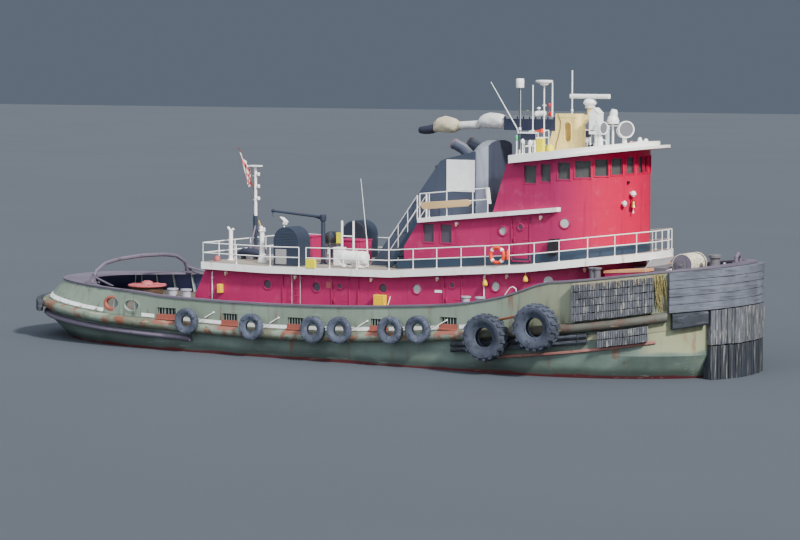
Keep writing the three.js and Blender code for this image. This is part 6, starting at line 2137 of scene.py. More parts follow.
def winch_cover(looks):
    """Tarpaulin over the winch drum, pulled in by a line near its foot."""
    rng = random.Random(SEED + 4)
    x, y = WINCH_PLACE
    base = boat_deck(x)
    shape = Shape()
    rings = []
    rows = [(0.0, 1.272), (0.10, 1.268), (0.19, 1.245), (0.26, 1.20), (0.31, 1.12), (0.322, 1.02),
            (0.315, 0.92),
            (0.30, 0.84), (0.275, 0.78), (0.282, 0.73), (0.30, 0.69), (0.29, 0.685), (0.265, 0.74)]
    waves = [rng.uniform(0, 2 * math.pi) for _ in range(4)]
    for row, (radius, rise) in enumerate(rows):
        ring = []
        for turn in full_turn(48):
            fold = 0.012 * math.sin(7 * turn + waves[0]) + 0.008 * math.sin(13 * turn + waves[1] + row * 0.4)
            share = min(1.0, row / 5)
            reach = max(0.004, radius + fold * share)
            ring.append((x + reach * math.cos(turn), y + reach * math.sin(turn),
                         base + rise + fold * 0.3 * share))
        rings.append(ring)
    shape.skin(rings)
    cover = shape.piece("winch_cover", looks["tarp"], sharp=180, slot="stack_paint", thick=0.004)
    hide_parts("deck_winch")
    tie = Shape()
    tie.tube(circle((x, y, base + 0.79), 0.292, 36), 0.010, 6, closed=True)
    tie.piece("winch_cover_tie", looks["rope"], slot="stack_paint")


STAIR_FOOT_X = 0.7
STAIR_HEAD = (2.2, 5.5)
STAIR_SIDES = (-2.15, -1.45)
TREADS = 7


def stair(looks):
    """Blue-grey strings and treads with pale hand rails."""
    foot_x, foot_z = STAIR_FOOT_X, boat_deck(STAIR_FOOT_X)
    head_x, head_z = STAIR_HEAD
    aft, fore = foot_x + 0.12, head_x - 0.06
    low_rail, high_rail = foot_z + 1.13, head_z + 0.93
    steps, rails = Shape(), Shape()
    for y in STAIR_SIDES:
        outline = [(foot_x, foot_z + 0.002), (foot_x + 0.26, foot_z + 0.012), (head_x + 0.09, head_z),
                   (head_x - 0.13, head_z)]
        steps.slab([(x, y - 0.02, z) for x, z in outline], (0, 0.04, 0))
        rails.tube([(aft, y, foot_z + 0.08), (aft, y, low_rail), (fore, y, high_rail),
                    (fore, y, head_z - 0.05)], 0.022, 8)
        rails.tube([(aft, y, foot_z + 0.62), (fore, y, head_z + 0.45)], 0.016, 8)
        for share in (0.33, 0.66):
            x = aft + (fore - aft) * share
            rails.tube([(x, y, foot_z + 0.1 + (head_z - foot_z) * share),
                        (x, y, low_rail + (high_rail - low_rail) * share)], 0.016, 8)
    y0, y1 = STAIR_SIDES[0] + 0.01, STAIR_SIDES[1] - 0.01
    for index in range(TREADS):
        share = (index + 0.7) / (TREADS + 0.6)
        x = foot_x + (head_x - foot_x) * share + 0.1
        z = foot_z + (head_z - foot_z) * share
        steps.box((x - 0.11, y0, z - 0.018), (x + 0.11, y1, z + 0.012))
        steps.box((x - 0.105, y0, z - 0.035), (x - 0.09, y1, z - 0.01))
    for shape, name, look in ((steps, "stair_steps", "kick"), (rails, "stair_rails", "rail")):
        piece = shape.piece(name, looks[look], bevel=0.003, slot="white_paint")
        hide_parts("stairs")


MAST_X = -7.05
MAST_TOP = 7.34


def aft_mast(looks):
    """Mast with a dark foot on tripod legs, pale pole, crosspiece, peak staff and halyard."""
    base = boat_deck(MAST_X)
    foot, pole, legs = Shape(), Shape(), Shape()
    foot.tube([(MAST_X, 0, base + 0.002), (MAST_X, 0, 5.25)], 0.070, 16)
    foot.box((MAST_X - 0.09, -0.07, 4.6), (MAST_X - 0.03, 0.07, 5.3))
    legs.box((MAST_X - 0.18, -0.33, base + 0.002), (MAST_X + 0.18, 0.33, base + 0.42))
    for y in (-0.7, 0.7):
        legs.tube([(MAST_X + 0.1, y, base + 0.01), (MAST_X, 0, 4.9)], 0.042, 10)
        legs.turned([(0.09, 0.0), (0.09, 0.02), (0.05, 0.035)], (MAST_X + 0.1, y, base), UP, 14)
    for z in (4.2, 4.62, 5.04):
        foot.tube([(MAST_X - 0.16, 0, z), (MAST_X + 0.16, 0, z)], 0.016, 8)
    pole.tube([(MAST_X, 0, 5.2), (MAST_X, 0, MAST_TOP - 0.06)], [0.064, 0.054], 16)
    pole.box((MAST_X - 0.25, -0.15, MAST_TOP - 0.06), (MAST_X + 0.25, 0.15, MAST_TOP - 0.001))
    for z in (5.9, 6.4, 6.9):
        pole.tube([(MAST_X - 0.14, 0, z), (MAST_X + 0.14, 0, z)], 0.013, 8)
        pole.turned([(0.055, -0.04), (0.07, -0.02), (0.07, 0.07), (0.04, 0.10)],
                    (MAST_X + 0.14, 0, z + 0.04), UP, 14)
    staff = Shape()
    staff.tube([(MAST_X, 0, 6.15), (-7.895, 0, 8.06)], [0.026, 0.020], 10)
    staff.tube([(-7.88, 0, 8.04), (-7.02, 0.05, 5.2)], 0.006, 5)
    staff.tube([(MAST_X + 0.3, -0.25, MAST_TOP - 0.06), (MAST_X + 0.22, -0.16, 4.9)], 0.006, 5)
    rows = ((foot, "mast_foot", "dark_blue"), (legs, "mast_legs", "mauve"), (pole, "mast_pole", "rail"),
            (staff, "flag_staff", "rusty"))
    for shape, name, look in rows:
        piece = shape.piece(name, looks[look], bevel=0.003, slot="white_paint")
        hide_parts("aft_mast")
    rod = Shape()
    rod.tube([(-6.86, -0.05, 5.05), (-6.72, -0.05, 4.66)], 0.02, 8)
    rod.piece("yellow_rod", looks["yellow"])


FLAG_HOIST = ((-7.825, 0, 7.90), (-7.448, 0, 7.05))
FLAG_FLY_END = ((-7.22, 0, 7.24), (-7.30, 0, 6.42))
FLAG_CELLS = (48, 18)
FLAG_OFFSET = -0.05
FLAG_FOLDS = 2.6
FLAG_FOLD_DEEP = 0.105


def flag_point(along, drop):
    """A point of the drooping flag: along its fly, drop down its hoist, both 0 to 1."""
    hoist, outer = (Vector(top).lerp(Vector(foot), drop) for top, foot in (FLAG_HOIST, FLAG_FLY_END))
    place = hoist.lerp(outer, along)
    place.z -= 0.10 * math.sin(math.pi * along)
    share = min(1.0, along * 4)
    place.y = FLAG_OFFSET + FLAG_FOLD_DEEP * share * math.sin(2 * math.pi * FLAG_FOLDS * along + 0.7 * drop)
    place.x += 0.02 * share * math.sin(2 * math.pi * FLAG_FOLDS * along + 1.9)
    return place


def flag(looks):
    """Striped flag that droops from its staff in soft folds."""
    shape = Shape()
    columns, rows = FLAG_CELLS
    points = [flag_point(column / columns, row / rows)
              for row in range(rows + 1) for column in range(columns + 1)]
    wide = columns + 1
    loops = []
    for row in range(rows):
        for column in range(columns):
            corner = row * wide + column
            loops.append((corner, corner + 1, corner + wide + 1, corner + wide))
    shape.faces(points, loops)
    piece = shape.piece("flag_cloth", looks["flag"], sharp=180, slot="flag_cloth", thick=0.004)
    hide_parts("flag")


def small_deck_gear(looks):
    """Lime boxes, a slanted whip, a long dark bundle on its chocks and a red cap."""
    lime, whip, dark, red = Shape(), Shape(), Shape(), Shape()
    x = -2.05
    base = boat_deck(x)
    lime.box((x - 0.22, -3.42, base - 0.03), (x + 0.22, -3.30, base + 0.33))
    lime.box((-2.46, -0.93, base + 0.80), (-2.22, -0.87, base + 1.24))
    lime.box((-2.26, -0.92, base + 1.0), (-2.17, -0.88, base + 1.06))
    whip.tube([(-0.25, -2.0, boat_deck(-0.25)), (-0.3, -2.0, 4.6)], 0.03, 10)
    whip.tube([(-0.3, -2.0, 4.6), (-0.58, -2.0, 7.02)], [0.016, 0.008], 8)
    base = boat_deck(-6.6)
    dark.tube([(-7.2, -1.1, base + 0.22), (-6.9, -1.1, base + 0.30), (-6.3, -1.1, base + 0.29),
               (-6.0, -1.1, base + 0.21)], [0.08, 0.16, 0.16, 0.08], 14)
    for px in (-6.9, -6.3):
        dark.box((px - 0.04, -1.22, base), (px + 0.04, -0.98, base + 0.2))
    red.turned([(0.12, 0.0), (0.14, 0.03), (0.12, 0.16), (0.06, 0.22)],
               (-7.15, -2.6, boat_deck(-7.15)), UP, 18)
    lime.piece("lime_boxes", looks["lime"], bevel=0.015)
    whip.piece("side_whip", looks["rail"], slot="white_paint")
    dark.piece("long_dark_bundle", looks["navy"], slot="stack_paint")
    red.piece("red_deck_cap", looks["red"], slot="red_paint")


# Stack
PLATE_X = (2.93, 4.20)
PLATE_Z = (6.58, 7.82)
STACK_HALF = 1.25
EXHAUST_MOUTH = (2.88, 0.6, 8.43)
EXHAUST_WAY = (-0.42, 0, 0.20)
STACK_FOOT_X, STACK_FOOT_Z = -0.6, 3.56
STACK_SLOPE = (7.85 - STACK_FOOT_Z) / 3.3         # rise of the raked after edge for each metre forward


def stack_fittings(looks):
    """Blank pale plates on both sides, seam ribs, lamp and the open mouths of the exhausts."""
    plates, ribs, soot, lamp = Shape(), Shape(), Shape(), Shape()
    for side in SIDES.values():
        plates.side_box(side, PLATE_X, (STACK_HALF - 0.01, STACK_HALF + 0.02), PLATE_Z)
        rib_out = (STACK_HALF - 0.01, STACK_HALF + 0.012)
        for z in (4.9, 6.1):
            start = STACK_FOOT_X + (z - STACK_FOOT_Z) / STACK_SLOPE
            ribs.side_box(side, (start + 0.05, 4.28), rib_out, (z - 0.012, z + 0.012))
        for x in (1.4, 2.6):
            top = STACK_FOOT_Z + (x - STACK_FOOT_X) * STACK_SLOPE
            ribs.side_box(side, (x - 0.012, x + 0.012), rib_out, (3.9, min(top, 6.3) - 0.05))
    axis = Vector(EXHAUST_WAY).normalized()
    for side in SIDES.values():
        mouth = Vector(EXHAUST_MOUTH)
        mouth.y *= side
        soot.ring([(0.175, -0.02), (0.175, 0.015), (0.225, 0.015), (0.225, -0.06), (0.214, -0.07)],
                  mouth, axis, 24)
        soot.turned([(0.19, -0.01), (0.175, 0.002)], mouth, axis, 24)
    lamp.turned([(0.05, 0), (0.09, 0.03), (0.09, 0.14), (0.05, 0.18)],
                (2.42, -0.95, 7.44), (-0.8, -0.2, 0.6), 16)
    plates.piece("stack_blank_plates", looks["clean_white"], bevel=0.006)
    ribs.piece("stack_seams", looks["dark_blue"], bevel=0.003)
    soot.piece("exhaust_mouths", looks["soot"], slot="stack_paint")
    lamp.piece("stack_lamp", looks["black"])


# Roof gear
BEAM_TOP = 9.52
BEAM_AFT = 4.95
HOUSING_HALF = 0.30
HOUSING_TOP = 9.64
DISH = (7.00, -0.77, 10.88)
SLANTED_WHIP = [(6.71, -2.20, 8.97), (5.47, -2.20, 10.86)]


def mushroom(shape, x, y, foot, top, radius):
    """A small dome aerial on a thin stem."""
    shape.tube([(x, y, foot), (x, y, top - 0.03)], 0.016, 8)
    shape.turned([(radius * 0.5, -0.035), (radius, -0.02), (radius, 0.0), (radius * 0.7, 0.03),
                  (radius * 0.2, 0.042)], (x, y, top), UP, 18)


WHIP_CLAMPS = ((6.90, -1.48, 9.0), (7.00, -0.77, 9.0), (6.76, -2.23, 9.1), (7.34, 0.85, 9.75))


def roof_aerials(looks):
    """Cylinder, flat dish and small domes on their poles, thin whips, clamps, a wind vane and red lights."""
    white, thin, green, red = Shape(), Shape(), Shape(), Shape()
    white.turned([(0.06, -0.01), (0.15, 0.0), (0.155, 0.03), (0.155, 0.31), (0.14, 0.34), (0.05, 0.345)],
                 (6.76, -2.23, 10.66), UP, 26)
    white.turned([(0.05, -0.17), (0.15, -0.13), (0.20, -0.06), (0.32, -0.03), (0.335, 0.0), (0.335, 0.035),
                  (0.30, 0.05), (0.05, 0.06)], DISH, UP, 32)
    white.tube([(7.08, -0.27, BEAM_TOP - 0.02), (7.08, -0.27, 10.85)], [0.034, 0.026], 10)
    white.tube(SLANTED_WHIP, [0.026, 0.012], 8)
    white.turned([(0.05, -0.02), (0.05, 0.10), (0.03, 0.12)], SLANTED_WHIP[0], (-0.55, 0, 0.84), 12)
    for px, top in ((6.40, 9.84), (6.64, 9.95)):
        mushroom(white, px, -0.10, BEAM_TOP - 0.01, top, 0.085)
    white.turned([(0.05, -0.10), (0.12, -0.09), (0.13, 0.0), (0.10, 0.07), (0.03, 0.09)],
                 (6.42, -0.2, 9.61), (1, 0, 0.12), 18)
    white.turned([(0.04, -0.20), (0.10, -0.16), (0.115, 0.0), (0.10, 0.16), (0.04, 0.2)],
                 (6.57, -0.2, 9.63), (1, 0, 0.1), 18)
    white.tube([(6.45, -0.2, BEAM_TOP - 0.01), (6.45, -0.2, 9.60)], 0.02, 8)
    thin.tube([(5.84, -0.2, BEAM_TOP - 0.01), (5.84, -0.2, 9.72)], 0.014, 8)
    thin.tube([(5.66, -0.2, 9.70), (5.98, -0.2, 9.73)], 0.010, 6)
    for px, pz in ((5.68, 9.70), (5.93, 9.73)):
        green.turned([(0.02, -0.03), (0.065, -0.02), (0.07, 0.02), (0.03, 0.04)], (px, -0.2, pz), UP, 16)
    red.tube([(6.86, -0.10, BEAM_TOP - 0.01), (6.86, -0.10, 9.88)], 0.016, 8)
    red.turned([(0.03, -0.06), (0.04, -0.04), (0.04, 0.06), (0.02, 0.09)], (6.86, -0.10, 9.95), UP, 14)
    red.turned([(0.06, -0.09), (0.085, -0.05), (0.085, 0.05), (0.05, 0.09)],
               (6.98, -0.22, BEAM_TOP + 0.09), UP, 16)
    for clamp in WHIP_CLAMPS:
        white.turned([(0.036, -0.05), (0.05, -0.04), (0.05, 0.04), (0.036, 0.05)], clamp, UP, 12)
    white.piece("roof_aerials", looks["clean_white"], slot="white_gloss")
    thin.piece("wind_vane_stem", looks["steel"], slot="lamp_steel")
    green.piece("wind_vane_cups", looks["green"])
    red.piece("red_roof_lights", looks["red_lamp"])


BOARD_X = (6.70, 7.45)
BOARD_Z = (8.68, 8.96)
BOARD_Y = 2.22


def light_boards(looks):
    """Dark side light screens with a pale top edge and their lamps, green to starboard and red to port."""
    dark, edge, fittings, lime = Shape(), Shape(), Shape(), Shape()
    lamps = {"starboard": Shape(), "port": Shape()}
    for side_name, side in SIDES.items():
        for face in (BOARD_Y + 0.02, BOARD_Y - 0.02):
            dark.side_box(side, (BOARD_X[0] - 0.004, BOARD_X[1] + 0.004), (face - 0.008, face + 0.008),
                          (BOARD_Z[0] - 0.004, BOARD_Z[1] - 0.03))
        edge.box((BOARD_X[0] - 0.03, side * BOARD_Y - 0.04, BOARD_Z[1] - 0.035),
                 (BOARD_X[1] + 0.03, side * BOARD_Y + 0.04, BOARD_Z[1] + 0.02))
        y = side * (BOARD_Y + 0.08)
        lamps[side_name].turned([(0.035, -0.10), (0.05, -0.08), (0.05, 0.08), (0.03, 0.11)],
                                (6.66, y, 8.75), UP, 16)
        for x, low, high, radius in ((6.66, roof(6.66), 8.65, 0.024), (6.92, roof(6.92), 8.62, 0.02),
                                     (7.24, roof(7.24), 8.55, 0.03)):
            fittings.tube([(x, y, low - 0.01), (x, y, high)], radius, 8)
            fittings.turned([(0.06, 0.0), (0.06, 0.02), (0.03, 0.035)], (x, y, roof(x)), UP, 10)
        fittings.turned([(0.04, -0.05), (0.055, 0.0), (0.055, 0.08), (0.03, 0.12)], (6.92, y, 8.60), UP, 12)
        fittings.turned([(0.05, -0.10), (0.08, -0.04), (0.08, 0.06), (0.04, 0.12)],
                        (7.24, y, 8.56), (0.3, 0, 1), 12)
        lime.box((7.12, side * 1.52 - 0.10, roof(7.12) - 0.005), (7.42, side * 1.52 + 0.10, 8.72))
        lime.turned([(0.13, 0.0), (0.16, 0.04), (0.15, 0.20), (0.07, 0.30)],
                    (7.44, side * 1.10, roof(7.44) - 0.005), UP, 18)
    dark.piece("light_screens", looks["navy"], bevel=0.003)
    edge.piece("light_screen_edges", looks["rail"])
    fittings.piece("light_screen_fittings", looks["clean_white"])
    lamps["starboard"].piece("green_side_lamp", looks["green_lamp"])
    lamps["port"].piece("red_side_lamp", looks["red_lamp"])
    lime.piece("lime_roof_vents", looks["lime"], bevel=0.02)


def roof_horns(looks):
    horn = Shape()
    for side in SIDES.values():
        horn.turned([(0.02, -0.16), (0.04, -0.12), (0.05, 0.08), (0.09, 0.16)],
                    (7.52, side * (BOARD_Y - 0.08), 9.02), (1, 0, 0.1), 16)
    horn.piece("orange_roof_horns", looks["orange"])


OPENING_X, OPENING_Z = (7.61, 7.93), (8.54, 9.34)
BEAM_STRIPS, STRIP_STEP = 8, 0.27


def mast_housing_details(looks):
    """Rim of the oval opening, panels, brown cable and pale strips along the beam's top."""
    rim, cable, strip, plates = Shape(), Shape(), Shape(), Shape()
    (x0, x1), (z0, z1) = OPENING_X, OPENING_Z
    middle, half = (x0 + x1) / 2, (x1 - x0) / 2
    for side in SIDES.values():
        y = side * HOUSING_HALF
        path = [(middle + half * math.cos(t), y, z + half * math.sin(t))
                for start, z in ((0.0, z1 - half), (math.pi, z0 + half)) for t in half_turn(12, start)]
        rim.tube(path, 0.018, 8, closed=True)
        for along, up in (((8.02, 8.22), (8.55, 8.95)), ((7.30, 8.18), (9.50, 9.53))):
            plates.side_box(side, along, (HOUSING_HALF - 0.01, HOUSING_HALF + 0.012), up)
        out = y + side * 0.014
        cable.tube([(7.30, y * 0.6, HOUSING_TOP + 0.012), (7.34, y, 9.62), (7.40, out, 9.48),
                    (7.47, out, 9.35),
                    (7.45, out, 9.05), (7.36, out, 8.72), (7.28, out, 8.50), (7.26, out, 8.27)], 0.013, 8)
        for index in range(BEAM_STRIPS):
            x = BEAM_AFT + 0.1 + STRIP_STEP * index
            strip.side_box(side, (x, x + 0.2), (HOUSING_HALF - 0.02, HOUSING_HALF + 0.014),
                           (BEAM_TOP - 0.10, BEAM_TOP + 0.012))
    strip.box((BEAM_AFT + 0.02, -0.27, BEAM_TOP - 0.01), (7.2, 0.27, BEAM_TOP + 0.008))
    rim.piece("housing_opening_rims", looks["buff"], slot="buff_paint")
    plates.piece("housing_panels", looks["buff"], bevel=0.003, slot="buff_paint")
    cable.piece("housing_cables", looks["brown_rope"])
    strip.piece("beam_top_strips", looks["steel"], bevel=0.004)


HOUSING_RAIL_X, HOUSING_RAIL_TOP = 6.98, 9.0


def housing_rails(looks):
    """Hand rails on the roof to both sides of the mast housing."""
    rail = Shape()
    x, top = HOUSING_RAIL_X, HOUSING_RAIL_TOP
    for y0, y1 in ((-1.9, -0.36), (0.36, 1.9)):
        rail.tube([(x, y0, top), (x, y1, top)], 0.016, 8)
        for share in (0.0, 0.45, 1.0):
            y = y0 + (y1 - y0) * share
            rail.tube([(x, y, roof(x) - 0.01), (x, y, top)], 0.016, 8)
        rail.tube([(x, y0, top - 0.28), (x, y1, top - 0.28)], 0.013, 8)
    rail.piece("housing_side_rails", looks["rail"], slot="white_paint")


RADAR = (8.58, 0.0, 9.90)


def blunt(share):
    """A sine or cosine pushed outward, for a rounded box."""
    return math.copysign(abs(share) ** 0.6, share)


def radar(looks):
    """Six-sided gearbox with a seam and a rounded scanner bar with end caps."""
    x, y, z = RADAR
    shape = Shape()
    shape.turned([(0.10, 0.002), (0.14, 0.03), (0.20, 0.07), (0.262, 0.15), (0.262, 0.20), (0.20, 0.285),
                  (0.12, 0.315)], RADAR, UP, 24)
    shape.turned([(0.16, 0.001), (0.20, 0.006), (0.20, 0.03), (0.14, 0.035)], RADAR, UP, 24)
    bar = []
    for place, pinch in ((-0.84, 0.7), (-0.825, 1), (-0.74, 1), (0.74, 1), (0.825, 1), (0.84, 0.7)):
        bar.append([(x + place, y + 0.115 * pinch * blunt(math.cos(t)),
                     z + 0.412 + 0.088 * pinch * blunt(math.sin(t)))
                    for t in full_turn(16)])
    shape.loft(bar)
    shape.turned([(0.10, 0.30), (0.08, 0.34)], RADAR, UP, 16)
    piece = shape.piece("radar_scanner_unit", looks["clean_white"], body="radar_scanner", slot="white_gloss")
    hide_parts("radar_scanner")
    base = Shape()
    base.turned([(0.115, -0.03), (0.19, -0.02), (0.19, -0.001), (0.10, -0.0005)], RADAR, UP, 24)
    for bolt in circle(RADAR, 0.16, 8):
        base.turned([(0.014, -0.05), (0.014, -0.015)], bolt, UP, 6)
    base.piece("radar_flange", looks["clean_white"], slot="white_gloss")


SEARCHLIGHTS = [
    # node, x, y, foot z, degrees from the bow to starboard, radius, length of the bell aft of the drum
    ("searchlight_1", 9.65, -1.20, 8.7504, 13, 0.245, 0.30),
    ("searchlight_2", 10.07, 0.00, 8.6804, 42, 0.325, 0.15),
]
DRUM_RISE = 0.39
RIM_CLIPS = (0.6, 2.5, 4.4, 5.5)             # radians round the rim


def searchlights(looks):
    """Bell-backed lamps with a thick rim, a reflector behind glass, a yoke and a round foot."""
    for node, x, y, z, degrees, wide, aft in SEARCHLIGHTS:
        turn = math.radians(degrees)
        ahead = Vector((math.cos(turn), -math.sin(turn), 0))
        across = Vector((math.sin(turn), math.cos(turn), 0))
        centre = Vector((x, y, z + DRUM_RISE))
        body, dark = Shape(), Shape()
        bell = aft - 0.08
        body.ring([(wide, 0.19), (wide, 0.10), (wide * 0.93, 0.09), (wide * 0.92, -0.02),
                   (wide * 0.86, -0.08),
                   (wide * 0.66, -0.08 - bell * 0.45), (wide * 0.47, -aft + 0.02), (wide * 0.38, -aft),
                   (0.002, -aft),
                   (0.002, -aft + 0.02), (wide * 0.36, -aft + 0.02), (wide * 0.60, -0.08 - bell * 0.35),
                   (wide * 0.81, -0.05), (wide * 0.84, 0.10), (wide * 0.85, 0.175), (wide * 0.87, 0.19)],
                  centre, ahead, 40)
        body.turned([(0.03, -0.05), (0.05, -0.03), (0.05, 0.01), (0.02, 0.03)],
                    centre + ahead * 0.03, ahead, 16)
        glass = wide * 0.855
        dark.turned([(glass, 0.150), (glass, 0.158), (glass * 0.5, 0.166), (0.01, 0.168)], centre, ahead, 32)
        yoke = wide + 0.006
        arc = half_turn(12, math.pi)
        body.tube([centre + across * yoke * math.cos(t) + lifted(yoke * math.sin(t)) for t in arc], 0.014, 8)
        for way in (-1, 1):
            body.turned([(0.03, -0.03), (0.03, 0.012)], centre + across * way * wide, across * way, 12)
        for angle in RIM_CLIPS:
            rim = across * wide * 0.96 * math.cos(angle) + lifted(wide * 0.96 * math.sin(angle))
            body.tube([centre + rim + ahead * 0.06, centre + rim + ahead * 0.12], 0.012, 6)
        foot = Vector((x, y, z))
        body.turned([(0.088, 0.001), (0.09, 0.02), (0.075, 0.10), (0.05, 0.12), (0.045, 0.13)], foot, UP, 24)
        piece = body.piece(f"{node}_lamp", looks["clean_white"], body=node, slot="lamp_steel")
        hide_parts(node)
        glass = dark.piece(f"{node}_glass", looks["lens"], body=node, slot="lamp_steel")
        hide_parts(node)


HORN_BELL = (9.15, 0.80)
LAMP_BOX = (9.11, -0.50)
GABLE = 0.215


def lamp_box(white, dark):
    """Raised panels, a slit and a latch on both sides of the box, and its gabled lid."""
    x, y = LAMP_BOX
    for side in (-1, 1):
        near, far = sorted((y + side * 0.199, y + side * 0.212))
        dark.box((x - 0.13, near, 9.02), (x + 0.13, far, 9.05))
        white.box((x - 0.15, near, 9.10), (x + 0.15, far, 9.60))
        white.box((x + 0.10, near, 9.32), (x + 0.13, far + side * 0.01, 9.40))
    outline = [(-GABLE, 9.665), (0, 9.872), (GABLE, 9.665), (GABLE, 9.685), (0, 9.893), (-GABLE, 9.685)]
    white.slab([(x + along, y - GABLE, z) for along, z in outline], (0, 2 * GABLE, 0))


def roof_front_gear(looks):
    """Horn bell on its shelf, gabled lamp box, posts and low fittings at the roof's forward end."""
    white, dark, green, red = Shape(), Shape(), Shape(), Shape()
    hx, hy = HORN_BELL
    white.turned([(0.04, 0.0), (0.10, 0.01), (0.24, 0.06), (0.244, 0.10), (0.21, 0.20), (0.172, 0.285),
                  (0.10, 0.30)], (hx, hy, 9.262), UP, 28)
    white.turned([(0.08, -0.02), (0.154, 0.02), (0.158, 0.12), (0.13, 0.22), (0.05, 0.265)],
                 (hx + 0.01, hy, 9.535), (0.2, 0, 1), 24)
    white.box((hx - 0.30, hy - 0.12, 9.165), (hx + 0.26, hy + 0.12, 9.19))
    white.tube([(hx, hy, 9.18), (hx, hy, 9.28)], 0.05, 12)
    lamp_box(white, dark)
    green.turned([(0.082, 0.0), (0.082, 0.62), (0.10, 0.64), (0.10, 0.70), (0.06, 0.715)],
                 (9.59, -0.5, roof(9.59)), UP, 24)
    for px, py, top, radius in ((9.65, -1.2, 8.745, 0.118), (10.07, 0.0, 8.675, 0.088)):
        tall = top - roof(px)
        white.turned([(radius * 1.5, 0.0), (radius * 1.5, 0.018), (radius, 0.03), (radius, tall - 0.03),
                      (radius * 0.9, tall)], (px, py, roof(px)), UP, 24)
    white.tube([(9.93, -1.2, roof(9.93) - 0.01), (9.93, -1.2, 8.66), (9.76, -1.2, 8.70)], 0.022, 8)
    for fx, fy in ((9.0, -0.86), (9.16, -0.92)):
        dark.turned([(0.06, 0.0), (0.07, 0.04), (0.05, 0.10), (0.02, 0.13)],
                    (fx, fy, roof(fx) - 0.005), UP, 14)
        white.tube([(fx + 0.06, fy, roof(fx)), (fx + 0.10, fy, roof(fx) + 0.17)], 0.022, 8)
    for fx, fy, tall in ((10.85, -0.25, 0.20), (10.95, 0.05, 0.13), (10.70, -0.6, 0.08)):
        white.turned([(0.08, 0.0), (0.09, 0.03), (0.085, tall * 0.6), (0.04, tall)],
                     (fx, fy, roof(fx) - 0.005), UP, 16)
    white.tube([(10.74, -0.40, roof(10.74) + 0.02), (11.08, -0.10, roof(11.08) + 0.02)], 0.02, 8)
    red.turned([(0.03, 0.0), (0.05, 0.01), (0.05, 0.05), (0.02, 0.07)],
               (10.80, -0.75, roof(10.80) - 0.005), UP, 14)
    white.piece("roof_front_fittings", looks["clean_white"], slot="white_gloss")
    dark.piece("roof_dark_fittings", looks["black"])
    green.piece("pale_green_post", looks["pale_green"])
    red.piece("red_roof_cap", looks["orange"])


ROOF_RAIL_X = 6.76
ROOF_RAIL_POSTS = (-1.93, -1.1, 0.0, 1.1, 1.93)


def roof_rails(looks):
    """Rail across the roof's after end, run over the frame's own bars."""
    shape = Shape()
    foot = roof(ROOF_RAIL_X)
    for height in (0.59, 0.30):
        shape.tube([(ROOF_RAIL_X, y, foot + height) for y in (ROOF_RAIL_POSTS[0], ROOF_RAIL_POSTS[-1])],
                   0.029, 8)
    for y in ROOF_RAIL_POSTS:
        shape.turned([(0.06, 0.0), (0.06, 0.015), (0.03, 0.03)], (ROOF_RAIL_X, y, foot), UP, 12)
    shape.piece("roof_rail_bars", looks["rail"], slot="white_paint")


# Covered boom
BOOM_HALF = 0.105
FORWARD_COVER = [
    # x, middle z, half width, half height
    (4.935, 9.27, 0.235, 0.215), (4.86, 9.28, 0.275, 0.25), (4.70, 9.29, 0.315, 0.298),
    (4.42, 9.315, 0.322, 0.322),
    (4.15, 9.34, 0.318, 0.328), (3.95, 9.32, 0.30, 0.29), (3.80, 9.285, 0.262, 0.235),
    (3.70, 9.21, 0.205, 0.185),
    (3.60, 9.165, 0.172, 0.170), (3.30, 9.15, 0.165, 0.162), (3.00, 9.13, 0.162, 0.160),
    (2.84, 9.12, 0.160, 0.158),
]
AFTER_COVER = [
    (2.88, 9.122, 0.158, 0.156), (2.76, 9.12, 0.163, 0.163), (2.66, 9.115, 0.215, 0.215),
    (2.55, 9.11, 0.268, 0.288),
    (2.35, 9.135, 0.30, 0.32), (2.15, 9.16, 0.31, 0.338), (1.97, 9.145, 0.296, 0.318),
    (1.80, 9.13, 0.262, 0.282), (1.70, 9.07, 0.22, 0.24), (1.655, 9.02, 0.185, 0.20),
]
COVER_TIES = [(4.88, 9.28, 0.268, 0.244), (3.64, 9.17, 0.182, 0.172), (2.80, 9.12, 0.162, 0.160),
              (1.69, 9.06, 0.212, 0.23)]
COVER_STEPS = 56
COVER_FOLDS = [
    # folds round the boom, turn along it for each metre, height
    (3, 9, 0.35), (5, -7, 0.35), (9, 16, 0.2), (14, 5, 0.1),
]
COVER_FLATS = [(2.15, 1.75), (1.30, 1.90)]


def cover_rings(stations, seed):
    """Rings of a wrapped cover: slanted folds that fade where its lashings pull it in."""
    rng = random.Random(seed)
    shifts = [rng.uniform(0, 2 * math.pi) for _ in range(5)]
    widest = max(row[3] for row in stations)
    finer = []
    for first, second in zip(stations, stations[1:]):
        for part in range(3):
            share = part / 3
            finer.append([a + (b - a) * share for a, b in zip(first, second)])
    finer.append(list(stations[-1]))
    rings = []
    for x, z, wide, high in finer:
        loose = high / widest
        ring = []
        for turn in full_turn(COVER_STEPS):
            fold = sum(math.sin(around * turn + along * x + shift) * deep
                       for (around, along, deep), shift in zip(COVER_FOLDS, shifts))
            inward = 0.018 * loose * (fold - 1.0)
            ring.append((x + 0.012 * loose * math.sin(4 * turn + shifts[4]), (wide + inward) * math.cos(turn),
                         z + (high + inward) * math.sin(turn)))
        rings.append(ring)
    return rings


